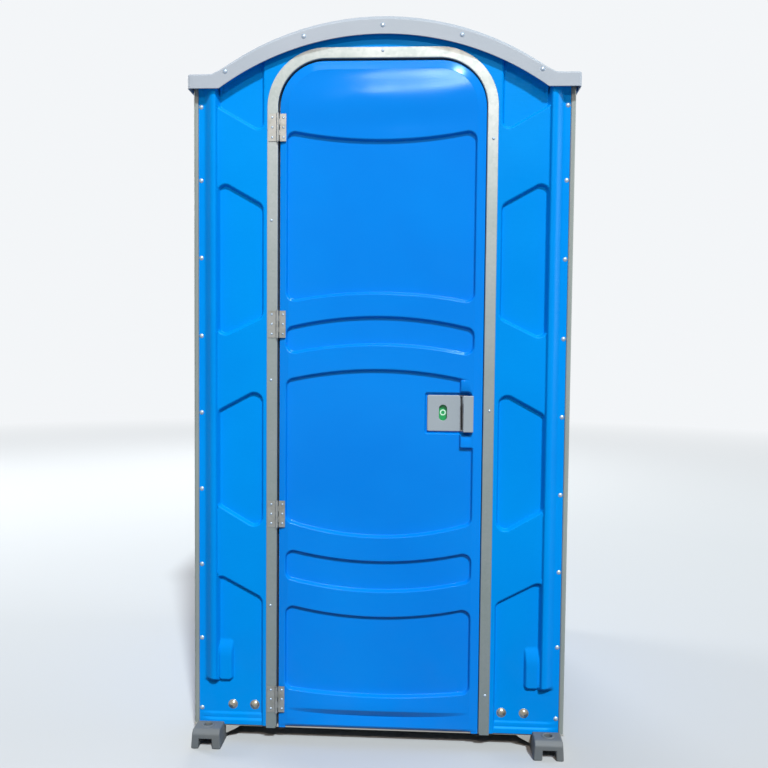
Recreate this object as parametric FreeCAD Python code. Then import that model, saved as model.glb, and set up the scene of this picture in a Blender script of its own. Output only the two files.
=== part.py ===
"""Portable toilet cabin: walls on skids, a domed roof, a hinged door with its latch, and the fittings inside.

Millimetres. +Z is up, the door faces -Y, and the origin is on the ground under the cabin's centre.
"""
import FreeCAD
import Part
import os
from math import atan2, cos, hypot, pi, sin, sqrt, tan

V = FreeCAD.Vector
PARTS = "parts"

# Overall sizes
BODY_WIDTH = 1168.0          # over the grey corner strips
BODY_DEPTH = 1148.0
OVERALL_HEIGHT = 2311.0
HALF_W = BODY_WIDTH / 2
HALF_D = BODY_DEPTH / 2
DRAWN_HEIGHT = 2311.0        # the height that the levels below are written for
RISE = OVERALL_HEIGHT / DRAWN_HEIGHT


def level(*heights):
    """Levels of the walls, door and fittings, raised or lowered with the overall height."""
    scaled = tuple(height * RISE for height in heights)
    return scaled[0] if len(scaled) == 1 else scaled


# Clearances
FIT = 0.3                    # between separate pieces that don't touch
HOLE_GAP = 0.1               # round a shank in its hole
RUNNING = 0.06               # round a turning shaft

# Moulded sheet walls and the strips at their corners
SHEET = 5.0
STRIP_W = 16.0
STRIP_PROUD = 4.0
STRIP_LEG = 3.7
STRIP_LEG_W = 26.0
FRONT_Y = -(HALF_D - STRIP_PROUD)       # plane of the front wall's flange
SIDE_X = HALF_W - STRIP_PROUD           # plane of the side wall's flange
WALL_BOTTOM = 51.0
STRIP_TOP = level(2062.0)
SIDE_TOP = STRIP_TOP + 9.5

# Relief of the front wall, heights above its flange
FIELD = 14.0
CREST = 28.0
FIELD_X = HALF_W - 82.0  # the field ends at the ridge
RIDGE_FOOT_X = HALF_W - 35.0
CREST_X0 = HALF_W - 74.0
CREST_X1 = HALF_W - 60.0
RIDGE_Z0 = level(189.0)
RECESS_X = 369.0             # inner side of the recesses
RECESS_R = 25.0
DRAFT = 5.0                  # how much wider a recess is at its mouth
POCKET_WALL = 9.0
SILL_TOP = 87.0
SILL_FOOT = 67.0
SILL_OUT = 8.0
SILL_X0 = 330.0
GRIP_X0 = FIELD_X - 45.0
GRIP_Z0 = level(190.0)
GRIP_Z1 = level(318.0)
GRIP_SLOPE = 31.0
GRIP_OUT = 24.0
GRIP_R = 6.0
GRIP_DRAFT = 3.0

# Recesses of the front wall by the heights of their inner and outer corners, from the lowest up
RECESS_OUT_X = FIELD_X + 12.0  # the lowest recess ends in the ridge's foot
LOW_TOP = level(459.0, 536.0)
SECOND_FOOT = level(679.0, 757.0)
SECOND_TOP = level(1120.0, 1048.0)
THIRD_FOOT = level(1347.0, 1282.0)
THIRD_TOP = level(1685.0, 1759.0)
TOP_FOOT = level(1913.0, 1988.0)
TOP_TOP = level(2230.0)
POCKET_Z0 = level(560.0)  # hollow behind the field between the recesses
POCKET_Z1 = level(1985.0)

# Relief of the rear and side walls: each recess and land by its lower and upper height
REAR_FIELD = 12.0
REAR_RECESS_X = FIELD_X - 62.0
REAR_RECESSES = (level(150.0, 620.0), level(700.0, 1240.0), level(1320.0, 1900.0))
SIDE_FIELD = 12.0
SIDE_FIELD_Y = HALF_D - 84.0
SIDE_RECESS_Y = SIDE_FIELD_Y - 50.0
SIDE_RECESSES = (level(150.0, 620.0), level(700.0, 1240.0), level(1320.0, 1700.0), level(1745.0, 1950.0))
LAND_R = 40.0                # corner radius of these recesses

# Doorway, its trim and the stop behind the door
TRIM_T = 2.0
TRIM_OUT_X = 354.0
TRIM_IN_X = 320.0
TRIM_OUT_TOP = level(2163.5)
TRIM_IN_TOP = TRIM_OUT_TOP - 34.5
TRIM_IN_R = 148.0
TRIM_DEPTH = 38.0
TRIM_BOTTOM = 46.0
DOORWAY_X = TRIM_IN_X + TRIM_T + FIT
DOORWAY_TOP = TRIM_IN_TOP + TRIM_T + FIT
DOORWAY_R = TRIM_IN_R + TRIM_T + FIT
JAMB_WALL = 8.0
JAMB_DEPTH = 22.0            # the moulded jamb's reach behind the flange plane
STOP_T = 3.0
STOP_LAP = 17.0              # how far the stop stands into the doorway
STOP_BACK = 24.0
TRIM_Y = FRONT_Y - FIELD - FIT - TRIM_T     # outer face of the trim
SCREW_R = 2.2
SCREW_HEAD_R = 4.5
TRIM_SCREWS_RIGHT = level(172.0, 1062.0, 1885.0)
TRIM_SCREWS_LEFT = level(440.0, 1149.0, 1640.0)

# Door
DOOR_X0 = -311.0
DOOR_X1 = 316.5
DOOR_Z0 = 52.0
DOOR_TOP = TRIM_IN_TOP - 7.0
DOOR_CORNER_R = 140.0
DOOR_T = 35.0
DOOR_PROUD = 15.0
DOOR_Y0 = FRONT_Y - DOOR_PROUD          # the door's outer face
DOOR_Y1 = DOOR_Y0 + DOOR_T
DOOR_LIP = 7.0
DOOR_REST_R = 8.0
DOOR_SKIN = 5.0
DOOR_RIM = 18.0
LINER_EDGE = 10.0
LINER_T = 3.0
PANEL_DEPTH = 12.0
PANEL_X0 = -288.0
PANEL_X1 = 284.0
PANEL_R = 20.0
# each panel: end and middle height of its lower edge, then of its upper edge
DOOR_PANELS = (
    level(1394.0, 1423.0, 1910.0, 1880.0),
    level(1233.0, 1265.0, 1308.0, 1344.0),
    level(712.0, 667.0, 1147.0, 1181.0),
    level(531.0, 495.0, 618.0, 582.0),
    level(178.0, 160.5, 441.0, 406.0),
)
FOOT_W = 22.0
FOOT_Z = 45.0
FOOT_T = 6.0
BULGE_Z = 97.0
BULGE_H = 70.0
BULGE_OUT = 5.0
BULGE_HALF = 270.0
BULGE_DRAFT = 4.0

# Hinges
HINGE_Z = level(140.0, 731.0, 1322.0, 1921.0)
HINGE_H = 83.0
HINGE_T = 2.0
PIN_X = -318.0
PIN_R = 2.4
KNUCKLE_R = 4.5
KNUCKLES = 5
KNUCKLE_GAP = 0.3
FRAME_LEAF_X = -347.0
DOOR_LEAF_X = -293.0
PIN_Y = TRIM_Y - FIT - KNUCKLE_R
LEAF_RIVETS = (-30.0, 0.0, 30.0)        # rivet heights from the hinge's middle
LEAF_RIVET_R = 3.6

# Latch
BOLT_Z = level(1054.0)
TAB_X0 = 244.0
TAB_Z0 = BOLT_Z - 113.0
TAB_Z1 = BOLT_Z + 99.0
LATCH_X0 = 147.0
LATCH_X1 = 252.0
LATCH_Z0 = BOLT_Z - 58.0
LATCH_Z1 = BOLT_Z + 54.0
LATCH_WELL_X1 = 276.0
LATCH_WELL = 21.0            # depth of the latch's well below the door's outer face
LATCH_PLATE_T = 3.0
LATCH_RIM = 4.0
PULL_X0 = 258.5
PULL_X1 = 288.0
PULL_T = 8.0
PULL_FOOT = 11.0
PULL_OUT = 15.0
PULL_BEVEL = 2.0
WINDOW_X = 195.6
WINDOW_Z = BOLT_Z - 0.5
WINDOW_W = 24.6
WINDOW_H = 49.4
BOLT_TRAVEL = 26.0
BOLT_H = 24.0
BOLT_T = 6.2
BOLT_X0 = 160.0
BOLT_X1 = 313.0
KNOB_X = 215.0
KNOB_W = 20.0
KNOB_H = 16.0
KNOB_OUT = 14.0
INDICATOR_T = 2.0
WELL_FLOOR_T = 2.5
CAVITY_HALF = 36.0
BOLT_Y0 = DOOR_Y0 + LATCH_WELL + WELL_FLOOR_T + FIT + INDICATOR_T
CASE_T = 3.0
STRIKE_T = 1.0
STRIKE_H = 80.0

# Base
SKID_X = HALF_W - 55.0
SKID_W = 92.0
SKID_H = 60.0
SKID_REACH = HALF_D + 71.0
SKID_LOW = 44.7
SKID_LOW_Y = HALF_D + 5.0
CHANNEL_W = 43.0
CHANNEL_H = 32.0
FLANGE_OUT = 4.0
FLANGE_H = 10.0
STAKE_X = SKID_X + 2.0
STAKE_Y = SKID_REACH - 41.0
STAKE_R = 12.5
BOSS_R = 21.0
BOSS_H = 2.0
PAN_Z0 = 45.0
LIP_H = 5.7
LIP_Y = HALF_D + 1.0
DECK_Z0 = 72.0
DECK_T = 6.0
RIM_TOP = 130.0
PAN_X = SIDE_X - SHEET - FIT
PAN_Y = -FRONT_Y - SHEET - FIT
RAIL_INNER = 0.34            # the two middle rails lie at this share of the outer ones
RAIL_Y = (74.0 - HALF_D, (74.0 - HALF_D) * RAIL_INNER, (HALF_D - 74.0) * RAIL_INNER, HALF_D - 74.0)
RAIL_W = 40.0
RAIL_WALL = 3.0
RAIL_X = HALF_W - 24.0
BOLT_R = 5.0
CARRIAGE_X = (390.0, 460.0)
CARRIAGE_Z = 112.5
CARRIAGE_R = 13.5
CARRIAGE_SHANK_R = 6.0
CARRIAGE_RISE = 7.0
WASHER_R = 13.0
WASHER_T = 2.0
NUT_R = 10.0
NUT_T = 8.0
SKID_BOLT_HEAD_R = 8.5
SKID_BOLT_HEAD_T = 6.0
SKID_NUT_T = 7.0
GUSSET_W = 42.0
GUSSET_DEPTH = 30.0
GUSSET_Z0 = 20.0

# Rivets
RIVET_X = HALF_W - 24.0
RIVET_Z = level(98.0, 325.0, 562.0, 803.0, 1044.0, 1284.0, 1526.0, 1764.0, 1988.0)
RIVET_R = 6.5
RIVET_SHANK_R = 2.4
SIDE_RIVET_Y = HALF_D - 26.0

# Roof
ROOF_T = 4.0
ROOF_Y = HALF_D + 32.0
ROOF_X = HALF_W + 10.0
ROOF_SHOULDER_X = HALF_W + 6.0
ROOF_FLAT_X = HALF_W - 69.0
ROOF_FLAT_Z = level(2077.0)
ROOF_FRONT_APEX = level(2248.0)
ROOF_PANEL_H = 8.0
ROOF_MID_APEX = OVERALL_HEIGHT - ROOF_PANEL_H
ROOF_BEVEL = 12.0
ROOF_BEVEL_DROP = 15.0
SKIRT_Z = level(2034.0)
SKIRT_ARCH_X = HALF_W - 87.0
SKIRT_ARCH_TOP = level(2191.5)
ROOF_PANEL_X0 = 40.0
ROOF_PANEL_X1 = HALF_W - 84.0
ROOF_PANEL_Y = HALF_D - 98.0
ROOF_SEAT = 10.0             # how far the wall's band starts above the skirt's edge
ROOF_PANEL_R = 30.0
ROOF_RIVETS = ((0.0, level(2217.0)), (237.5, level(2186.0)), (477.0, level(2084.0)))

# Vent
VENT_X = 184.0 - HALF_W
VENT_Y = HALF_D - 94.0
VENT_R = 45.0
VENT_WALL = 3.0
CAP_R = 66.0
CAP_RISE = 20.0
CAP_POST_R = 2.4
COLLAR_T = 5.0
COLLAR_H = 16.0
VENT_ABOVE = 55.0            # how far the pipe stands above the sloped roof
LOUVRE_Z = level(1780.0, 1812.0, 1844.0, 1876.0, 1908.0)
LOUVRE_W = 300.0
LOUVRE_H = 12.0
LOUVRE_HOOD = 9.0
LOUVRE_WALL = 6.0
SCREEN_T = 2.0
SCREEN_EDGE = 12.0
SCREEN_STEP = 14.0
SCREEN_SLOT_W = 9.0

# Tank and seat
TANK_X = HALF_W - 18.0
TANK_Y0 = 40.0
TANK_Y1 = HALF_D - 30.0
TANK_H = 402.0
TANK_T = 5.0
TANK_SLOPE = 30.0
TANK_R = 12.0
TANK_FRONT_R = 20.0
DECK_TOP = DECK_Z0 + DECK_T
TANK_TOP = DECK_TOP + TANK_H
SEAT_HALF_X = 180.0
SEAT_HALF_Y = 195.0
SEAT_HOLE_X = 110.0
SEAT_HOLE_Y = 135.0
SEAT_T = 18.0
SEAT_PIN_Y = HALF_D - 96.0
SEAT_Y = SEAT_PIN_Y - 223.0
SEAT_PIN_Z = TANK_TOP + 20.0
SEAT_PIN_R = 5.0
LID_T = 10.0
LID_OPEN = 98.0
HINGE_BAR_HALF = 130.0
HINGE_POST_X = 85.0
HINGE_POST_W = 14.0
EAR_R = 10.0
EAR_W = 24.0
SEAT_EAR_X = 107.0
LID_EAR_X = 63.0

# Urinal
URINAL_Y = -120.0
URINAL_Z0 = 560.0
URINAL_Z1 = 800.0
URINAL_BACK = 880.0
URINAL_OUT = 170.0
URINAL_HALF = 115.0
URINAL_T = 5.0
URINAL_NARROW = 0.42         # foot of the bowl against its rim
DRAIN_R = 16.0
DRAIN_WALL = 2.5
DRAIN_BEND = 70.0
DRAIN_Z = 400.0

# Paper holder
ROLL_R = 55.0
ROLL_W = 100.0
CORE_R = 20.0
ROLL_X = HALF_W - 84.0
ROLL_Z = 760.0
ROLL_Y = -90.0
ROLL_GAP = 2.0
HOLDER_T = 4.0
HOLDER_HALF = 60.0
ARM_HALF = 28.0

# Door spring
SPRING_X0 = -430.0
SPRING_X1 = -170.0
SPRING_Y = FRONT_Y + 36.0
SPRING_Z = level(1985.0)
SPRING_R = 6.0
WIRE_R = 1.2
SPRING_TURNS = 44
SPRING_PITCH = 4.0
ANCHOR_T = 2.5
ANCHOR_RIVET_X = 14.0
ANCHOR_RIVET_Z = 8.0
BLIND = 1.0                  # sheet left outside a blind rivet hole


def box(x0, x1, y0, y1, z0, z1):
    """Box between two corners."""
    return Part.makeBox(x1 - x0, y1 - y0, z1 - z0, V(x0, y0, z0))


def rod(start, direction, radius, length):
    """Cylinder from a point along a direction."""
    return Part.makeCylinder(radius, length, V(*start), V(*direction))


def front(u, v, out):
    """Point of a front view: across, up, and out towards the viewer."""
    return V(u, -out, v)


def plan(u, v, up):
    """Point of a plan view: across, back, and up."""
    return V(u, v, up)


def across(u, v, out):
    """Point of a section cut along the depth: back, up, and out to +X."""
    return V(out, u, v)


def across_left(u, v, out):
    """Point of a section cut along the depth: back, up, and out to -X."""
    return V(-out, u, v)


def grown(outline, distance):
    """Outline with every edge moved outward, for a counter-clockwise list of (u, v, radius, rise)."""
    count = len(outline)
    lines = []
    for i in range(count):
        u0, v0 = outline[i][:2]
        u1, v1 = outline[(i + 1) % count][:2]
        length = hypot(u1 - u0, v1 - v0)
        du, dv = (u1 - u0) / length, (v1 - v0) / length
        lines.append((u0 + dv * distance, v0 - du * distance, du, dv))
    result = []
    for i in range(count):
        u0, v0, du0, dv0 = lines[i - 1]
        u1, v1, du1, dv1 = lines[i]
        turn = du0 * dv1 - dv0 * du1
        step = ((u1 - u0) * dv1 - (v1 - v0) * du1) / turn
        radius = outline[i][2]
        if radius > 0:
            radius = max(radius + distance * (1 if turn > 0 else -1), 0.5)
        result.append((u0 + du0 * step, v0 + dv0 * step, radius, outline[i][3]))
    return result


def wire(outline, place, level):
    """Closed wire of an outline: corners rounded by their radius, edges bowed out by their rise."""
    count = len(outline)
    starts, ends = [], []
    for i in range(count):
        u, v, radius, _ = outline[i]
        pu, pv, _, rise_in = outline[i - 1]
        nu, nv, _, rise_out = (*outline[(i + 1) % count][:3], outline[i][3])
        back = atan2(pv - v, pu - u)
        ahead = atan2(nv - v, nu - u)
        back += 2 * atan2(2 * rise_in, hypot(pu - u, pv - v))
        ahead -= 2 * atan2(2 * rise_out, hypot(nu - u, nv - v))
        opening = abs((ahead - back + pi) % (2 * pi) - pi)
        cut = radius / tan(opening / 2) if radius > 0 else 0.0
        first = (u + cos(back) * cut, v + sin(back) * cut)
        last = (u + cos(ahead) * cut, v + sin(ahead) * cut)
        middle = (u, v)
        if radius > 0:
            half = atan2(sin(back) + sin(ahead), cos(back) + cos(ahead))
            away = radius / sin(opening / 2) - radius
            middle = (u + cos(half) * away, v + sin(half) * away)
        starts.append(first)
        ends.append((middle, last))
    edges = []
    for i in range(count):
        first = starts[i]
        middle, last = ends[i]
        if outline[i][2] > 0:
            arc = [place(*first, level), place(*middle, level), place(*last, level)]
            edges.append(Part.Arc(*arc).toShape())
        following = starts[(i + 1) % count]
        rise = outline[i][3]
        if rise == 0:
            edges.append(Part.LineSegment(place(*last, level), place(*following, level)).toShape())
            continue
        u0, v0 = outline[i][:2]
        u1, v1 = outline[(i + 1) % count][:2]
        length = hypot(u1 - u0, v1 - v0)
        crown = ((u0 + u1) / 2 + (v1 - v0) / length * rise, (v0 + v1) / 2 - (u1 - u0) / length * rise)
        edges.append(Part.Arc(place(*last, level), place(*crown, level), place(*following, level)).toShape())
    return Part.Wire(edges)


def prism(outline, place, low, high):
    """Straight block of an outline between two levels."""
    face = Part.Face(wire(outline, place, low))
    return face.extrude(place(0, 0, high) - place(0, 0, low))


def tapered(outline, place, low, high, growth):
    """Block of an outline that is wider by growth at its high level."""
    shapes = [wire(outline, place, low), wire(grown(outline, growth), place, high)]
    return Part.makeLoft(shapes, True, True)


def corners(*points):
    """Sharp outline through the points."""
    return [(u, v, 0.0, 0.0) for u, v in points]


def rectangle(u0, u1, v0, v1, radius=0.0):
    """Rectangle with equal corner radii."""
    return [(u0, v0, radius, 0.0), (u1, v0, radius, 0.0), (u1, v1, radius, 0.0), (u0, v1, radius, 0.0)]


def arched(u0, u1, v0, v1, radius):
    """Doorway outline: square foot and round upper corners."""
    return [(u0, v0, 0.0, 0.0), (u1, v0, 0.0, 0.0), (u1, v1, radius, 0.0), (u0, v1, radius, 0.0)]


def mirrored(shape):
    """The shape's mirror image across the cabin's middle."""
    return shape.mirror(V(0, 0, 0), V(1, 0, 0))


def both_sides(shape):
    """The shape and its mirror image."""
    return [shape, mirrored(shape)]


def turned(shape, degrees):
    """The shape turned about the cabin's upright axis."""
    copy = shape.copy()
    copy.rotate(V(0, 0, 0), V(0, 0, 1), degrees)
    return copy


def arc_radius(half, rise):
    """Radius of an arc by half its chord and its rise."""
    return (half * half + rise * rise) / (2 * rise)


def arc_height(x, half, foot, apex):
    """Height at x of an arc that stands on a foot level and reaches its apex."""
    radius = arc_radius(half, apex - foot)
    return apex - radius + sqrt(radius * radius - x * x)


def dome_rivet(at, direction, radius, shank, grip, tailed=True):
    """Round-headed rivet: its head's dome outside, its shank through the grip and its upset tail."""
    rise = radius * 0.5
    ball_r = arc_radius(radius, rise)
    at, direction = V(*at), V(*direction)
    ball = Part.makeSphere(ball_r, at + direction * (rise - ball_r))
    keep = Part.makeCylinder(radius + 1, rise + 1, at, direction)
    head = ball.common(keep)
    body = Part.makeCylinder(shank, grip, at - direction * grip, direction)
    if not tailed:
        return head.fuse(body)
    tail = Part.makeCylinder(shank * 1.7, shank, at - direction * (grip + shank), direction)
    return head.fuse([body, tail])


def hole(at, direction, radius, length):
    """Drill through a point, length each way."""
    start = V(*at) - V(*direction) * length
    return Part.makeCylinder(radius, 2 * length, start, V(*direction))


def front_drills(places, y, radius, length):
    """Drills from front to back through (x, z) places, for a shank of this radius."""
    return [hole((x, y, z), (0, 1, 0), radius + HOLE_GAP, length) for x, z in places]


def mirrored_places(xs, zs):
    """Places on both sides of the cabin's middle."""
    return [(side * x, z) for x in xs for z in zs for side in (-1, 1)]


def group(shapes):
    """Separate solids that share a node."""
    return Part.makeCompound(shapes)


# Roof

def roof_section(y, apex, lower, foot):
    """Closed section of the roof at one depth, lowered by a wall's thickness."""
    shoulder = ROOF_SHOULDER_X - lower
    skirt = ROOF_X - lower
    flat = ROOF_FLAT_X - lower * 0.4
    top = ROOF_FLAT_Z - lower
    points = [V(-skirt, y, foot), V(-shoulder, y, top), V(-flat, y, top)]
    ends = [V(flat, y, top), V(shoulder, y, top), V(skirt, y, foot)]
    edges = [Part.LineSegment(points[0], points[1]), Part.LineSegment(points[1], points[2])]
    edges.append(Part.Arc(points[2], V(0, y, apex - lower), ends[0]))
    edges.append(Part.LineSegment(ends[0], ends[1]))
    edges.append(Part.LineSegment(ends[1], ends[2]))
    edges.append(Part.LineSegment(ends[2], points[0]))
    return Part.Wire([edge.toShape() for edge in edges])


def roof_block(lower, foot, raised=0.0):
    """Solid under the roof's surface: a bevel at each end and a domed middle."""
    y = ROOF_Y - lower
    bevel = y - ROOF_BEVEL
    face = ROOF_FRONT_APEX - ROOF_BEVEL_DROP
    ends = ROOF_FRONT_APEX + raised
    middle = [roof_section(-bevel, ends, lower, foot), roof_section(0, ROOF_MID_APEX + raised, lower, foot)]
    middle.append(roof_section(bevel, ends, lower, foot))
    block = Part.makeLoft(middle, True, False)
    if raised:
        return block
    caps = []
    for side in (-1, 1):
        pair = [roof_section(side * y, face, lower, foot), roof_section(side * bevel, ends, lower, foot)]
        caps.append(Part.makeLoft(pair, True, True))
    return block.fuse(caps).removeSplitter()


def skirt_opening(extra, y0, y1):
    """Space below the skirt's arched edge, raised by extra, between two depths."""
    foot = SKIRT_Z + extra
    low = foot - 60
    outline = [(-SKIRT_ARCH_X, low, 0, 0), (SKIRT_ARCH_X, low, 0, 0),
               (SKIRT_ARCH_X, foot, 0, SKIRT_ARCH_TOP - SKIRT_Z), (-SKIRT_ARCH_X, foot, 0, 0)]
    return prism(outline, front, -y0, -y1)


def roof_rivet_places():
    """Front and rear rivets of the skirt, as points with their outward directions."""
    places = []
    for x, z in ROOF_RIVETS:
        for side in ((1,) if x == 0 else (-1, 1)):
            places.append(((side * x, -ROOF_Y, z), (0, -1, 0)))
            places.append(((side * x, ROOF_Y, z), (0, 1, 0)))
    return places


def roof_shell():
    """Roof with its skirt, its two raised halves, the vent's hole and the rivet holes."""
    shell = roof_block(0.0, SKIRT_Z)
    raised = roof_block(0.0, SKIRT_Z, ROOF_PANEL_H)
    lowered = roof_block(ROOF_T, SKIRT_Z - 40)
    lowered_raised = roof_block(ROOF_T, SKIRT_Z - 40, ROOF_PANEL_H)
    for side in (-1, 1):
        x0, x1 = sorted((side * ROOF_PANEL_X0, side * ROOF_PANEL_X1))
        outline = rectangle(x0, x1, -ROOF_PANEL_Y, ROOF_PANEL_Y, ROOF_PANEL_R)
        top = prism(outline, plan, SKIRT_Z + 10, OVERALL_HEIGHT + 10)
        shell = shell.fuse(raised.common(top))
        inner = rectangle(x0 + ROOF_T, x1 - ROOF_T, -ROOF_PANEL_Y + ROOF_T, ROOF_PANEL_Y - ROOF_T,
                          ROOF_PANEL_R - ROOF_T)
        lowered = lowered.fuse(lowered_raised.common(prism(inner, plan, SKIRT_Z - 30, OVERALL_HEIGHT + 10)))
    shell = shell.cut(lowered)
    shell = shell.cut([skirt_opening(0.0, -ROOF_Y - 5, -ROOF_Y + ROOF_T + 1),
                       skirt_opening(0.0, ROOF_Y - ROOF_T - 1, ROOF_Y + 5)])
    drills = [hole(at, way, RIVET_SHANK_R + HOLE_GAP, ROOF_T + 2) for at, way in roof_rivet_places()]
    drills.append(rod((VENT_X, VENT_Y, SKIRT_Z), (0, 0, 1), VENT_R + FIT, OVERALL_HEIGHT))
    return shell.cut(drills)


def roof_rivets():
    """Dome rivets that hold the skirt to the front and rear walls."""
    return group([dome_rivet(at, way, RIVET_R, RIVET_SHANK_R, ROOF_T + FIT + SHEET)
                  for at, way in roof_rivet_places()])


# Walls

def under_roof(y0, y1):
    """Space that the end walls may fill below the roof."""
    gap = 1.0
    foot = ROOF_FLAT_Z - ROOF_T - gap
    apex = ROOF_FRONT_APEX - ROOF_BEVEL_DROP - ROOF_T - gap
    flat = ROOF_FLAT_X - ROOF_T
    outline = [(-HALF_W, WALL_BOTTOM, 0, 0), (HALF_W, WALL_BOTTOM, 0, 0), (HALF_W, foot, 0, 0),
               (flat, foot, 0, apex - foot), (-flat, foot, 0, 0), (-HALF_W, foot, 0, 0)]
    return prism(outline, front, -y0, -y1)


def recess_outlines():
    """The four recesses of the right half of the front wall, from the lowest up."""
    foot = WALL_BOTTOM - 10
    low = [(RECESS_X, foot, 0, 0), (RECESS_OUT_X, foot, 0, 0), (RECESS_OUT_X, LOW_TOP[1], 0, 0),
           (RECESS_X, LOW_TOP[0], RECESS_R, 0)]
    second = [(RECESS_X, SECOND_FOOT[0], RECESS_R, 0), (FIELD_X, SECOND_FOOT[1], 0, 0),
              (FIELD_X, SECOND_TOP[1], 0, 0), (RECESS_X, SECOND_TOP[0], RECESS_R, 0)]
    third = [(RECESS_X, THIRD_FOOT[0], RECESS_R, 0), (FIELD_X, THIRD_FOOT[1], 0, 0),
             (FIELD_X, THIRD_TOP[1], 0, 0), (RECESS_X, THIRD_TOP[0], RECESS_R, 0)]
    top = [(RECESS_X, TOP_FOOT[0], RECESS_R, 0), (FIELD_X, TOP_FOOT[1], 0, 0), (FIELD_X, TOP_TOP, 0, 0),
           (RECESS_X, TOP_TOP, 0, 0)]
    return [low, second, third, top]


def ridge(top):
    """Upright ridge between the recesses and the flange, hollow from behind."""
    crest = FRONT_Y - CREST
    inner_foot = FIELD_X - 2
    outline = corners((inner_foot, FRONT_Y + 1), (inner_foot, FRONT_Y), (CREST_X0, crest), (CREST_X1, crest),
                      (RIDGE_FOOT_X, FRONT_Y), (RIDGE_FOOT_X, FRONT_Y + 1))
    outer = prism(outline[::-1], plan, RIDGE_Z0, top)
    back = FRONT_Y + SHEET + 1
    hollow = corners((CREST_X0 - 1, back), (CREST_X0 + 3, crest + SHEET), (CREST_X1 - 3, crest + SHEET),
                     (RIDGE_FOOT_X - 12, back))
    return outer, prism(hollow[::-1], plan, RIDGE_Z0 + SHEET, top - 60)


def hand_grip():
    """Moulded grip beside the foot of the ridge, its top sloped."""
    outline = rectangle(GRIP_X0, FIELD_X + 4, GRIP_Z0, GRIP_Z1 - GRIP_SLOPE / 2, GRIP_R)
    block = tapered(grown(outline, -GRIP_DRAFT), front, -FRONT_Y + GRIP_OUT, -FRONT_Y - 1, GRIP_DRAFT)
    face = FRONT_Y - GRIP_OUT
    foot = GRIP_Z1 - GRIP_SLOPE - 8
    above = GRIP_Z1 + 60
    slope = corners((face, foot), (FRONT_Y + 1, GRIP_Z1), (FRONT_Y + 1, above), (face - 5, above),
                    (face - 5, foot))
    return block.cut(prism(slope, across, GRIP_X0 - 10, FIELD_X + 20))


def sill(x0, x1):
    """Raised band along the foot of the wall with a sloped top."""
    outline = corners((FRONT_Y + 1, WALL_BOTTOM), (FRONT_Y + 1, SILL_TOP), (FRONT_Y, SILL_TOP),
                      (FRONT_Y - SILL_OUT, SILL_FOOT), (FRONT_Y - SILL_OUT, WALL_BOTTOM))
    return prism(outline[::-1], across, x0, x1)


def roof_band():
    """Flange at the top of an end wall that reaches forward to the roof's skirt."""
    face = -ROOF_Y + ROOF_T + FIT
    band = under_roof(face, FRONT_Y + 1)
    band = band.cut(skirt_opening(ROOF_SEAT, face - 5, FRONT_Y + 5))
    band = band.cut(box(-HALF_W - 5, HALF_W + 5, face - 5, FRONT_Y + 5, 0, SKIRT_Z + ROOF_SEAT))
    edge = SIDE_X - STRIP_W + 4
    band = band.cut(both_sides(box(edge, HALF_W + 5, face - 5, FRONT_Y + 5, 0, OVERALL_HEIGHT)))
    hollow = under_roof(face + SHEET, FRONT_Y + SHEET + 5)
    hollow.translate(V(0, 0, -SHEET))
    hollow = hollow.cut(both_sides(box(SIDE_X - STRIP_W - 2, HALF_W + 5, -ROOF_Y, 0, 0, OVERALL_HEIGHT)))
    hollow = hollow.cut([box(-HALF_W - 5, HALF_W + 5, -ROOF_Y, 0, 0, SKIRT_Z + ROOF_SEAT + SHEET),
                         skirt_opening(ROOF_SEAT + SHEET, face - 5, FRONT_Y + SHEET + 10)])
    return band, hollow


def end_wall_drills():
    """Holes that the front and rear walls share: edge rivets, roof rivets and carriage bolts."""
    roof = [(x, z) for (x, y, z), _ in roof_rivet_places() if y < 0]
    drills = front_drills(mirrored_places((RIVET_X,), RIVET_Z), FRONT_Y, RIVET_SHANK_R, SHEET + 5)
    drills += front_drills(roof, -ROOF_Y, RIVET_SHANK_R, 14)
    drills += front_drills(mirrored_places(CARRIAGE_X, (CARRIAGE_Z,)), FRONT_Y, CARRIAGE_SHANK_R, 20)
    return drills


def end_wall_sheet():
    """Flat moulded sheet of an end wall, in the front wall's place."""
    half = HALF_W - STRIP_W
    return under_roof(FRONT_Y, FRONT_Y + SHEET).common(box(-half, half, -ROOF_Y, 0, 0, OVERALL_HEIGHT))


def raised_field(height, foot):
    """Raised field of an end wall between its two ridges, from a foot level up."""
    edge = FIELD_X + 2
    within = box(-edge, edge, -ROOF_Y, 0, foot, OVERALL_HEIGHT)
    return under_roof(FRONT_Y - height, FRONT_Y + 1).common(within)


def behind_lands(half, low, high, field, y, outlines):
    """Hollow behind a raised field, between its recesses."""
    hollow = box(-half, half, y - field + SHEET, y + SHEET + 1, low, high)
    inside, outside = -y - SHEET - 2, -y + field + 1
    return hollow.cut([prism(grown(outline, POCKET_WALL), front, inside, outside) for outline in outlines])


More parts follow.
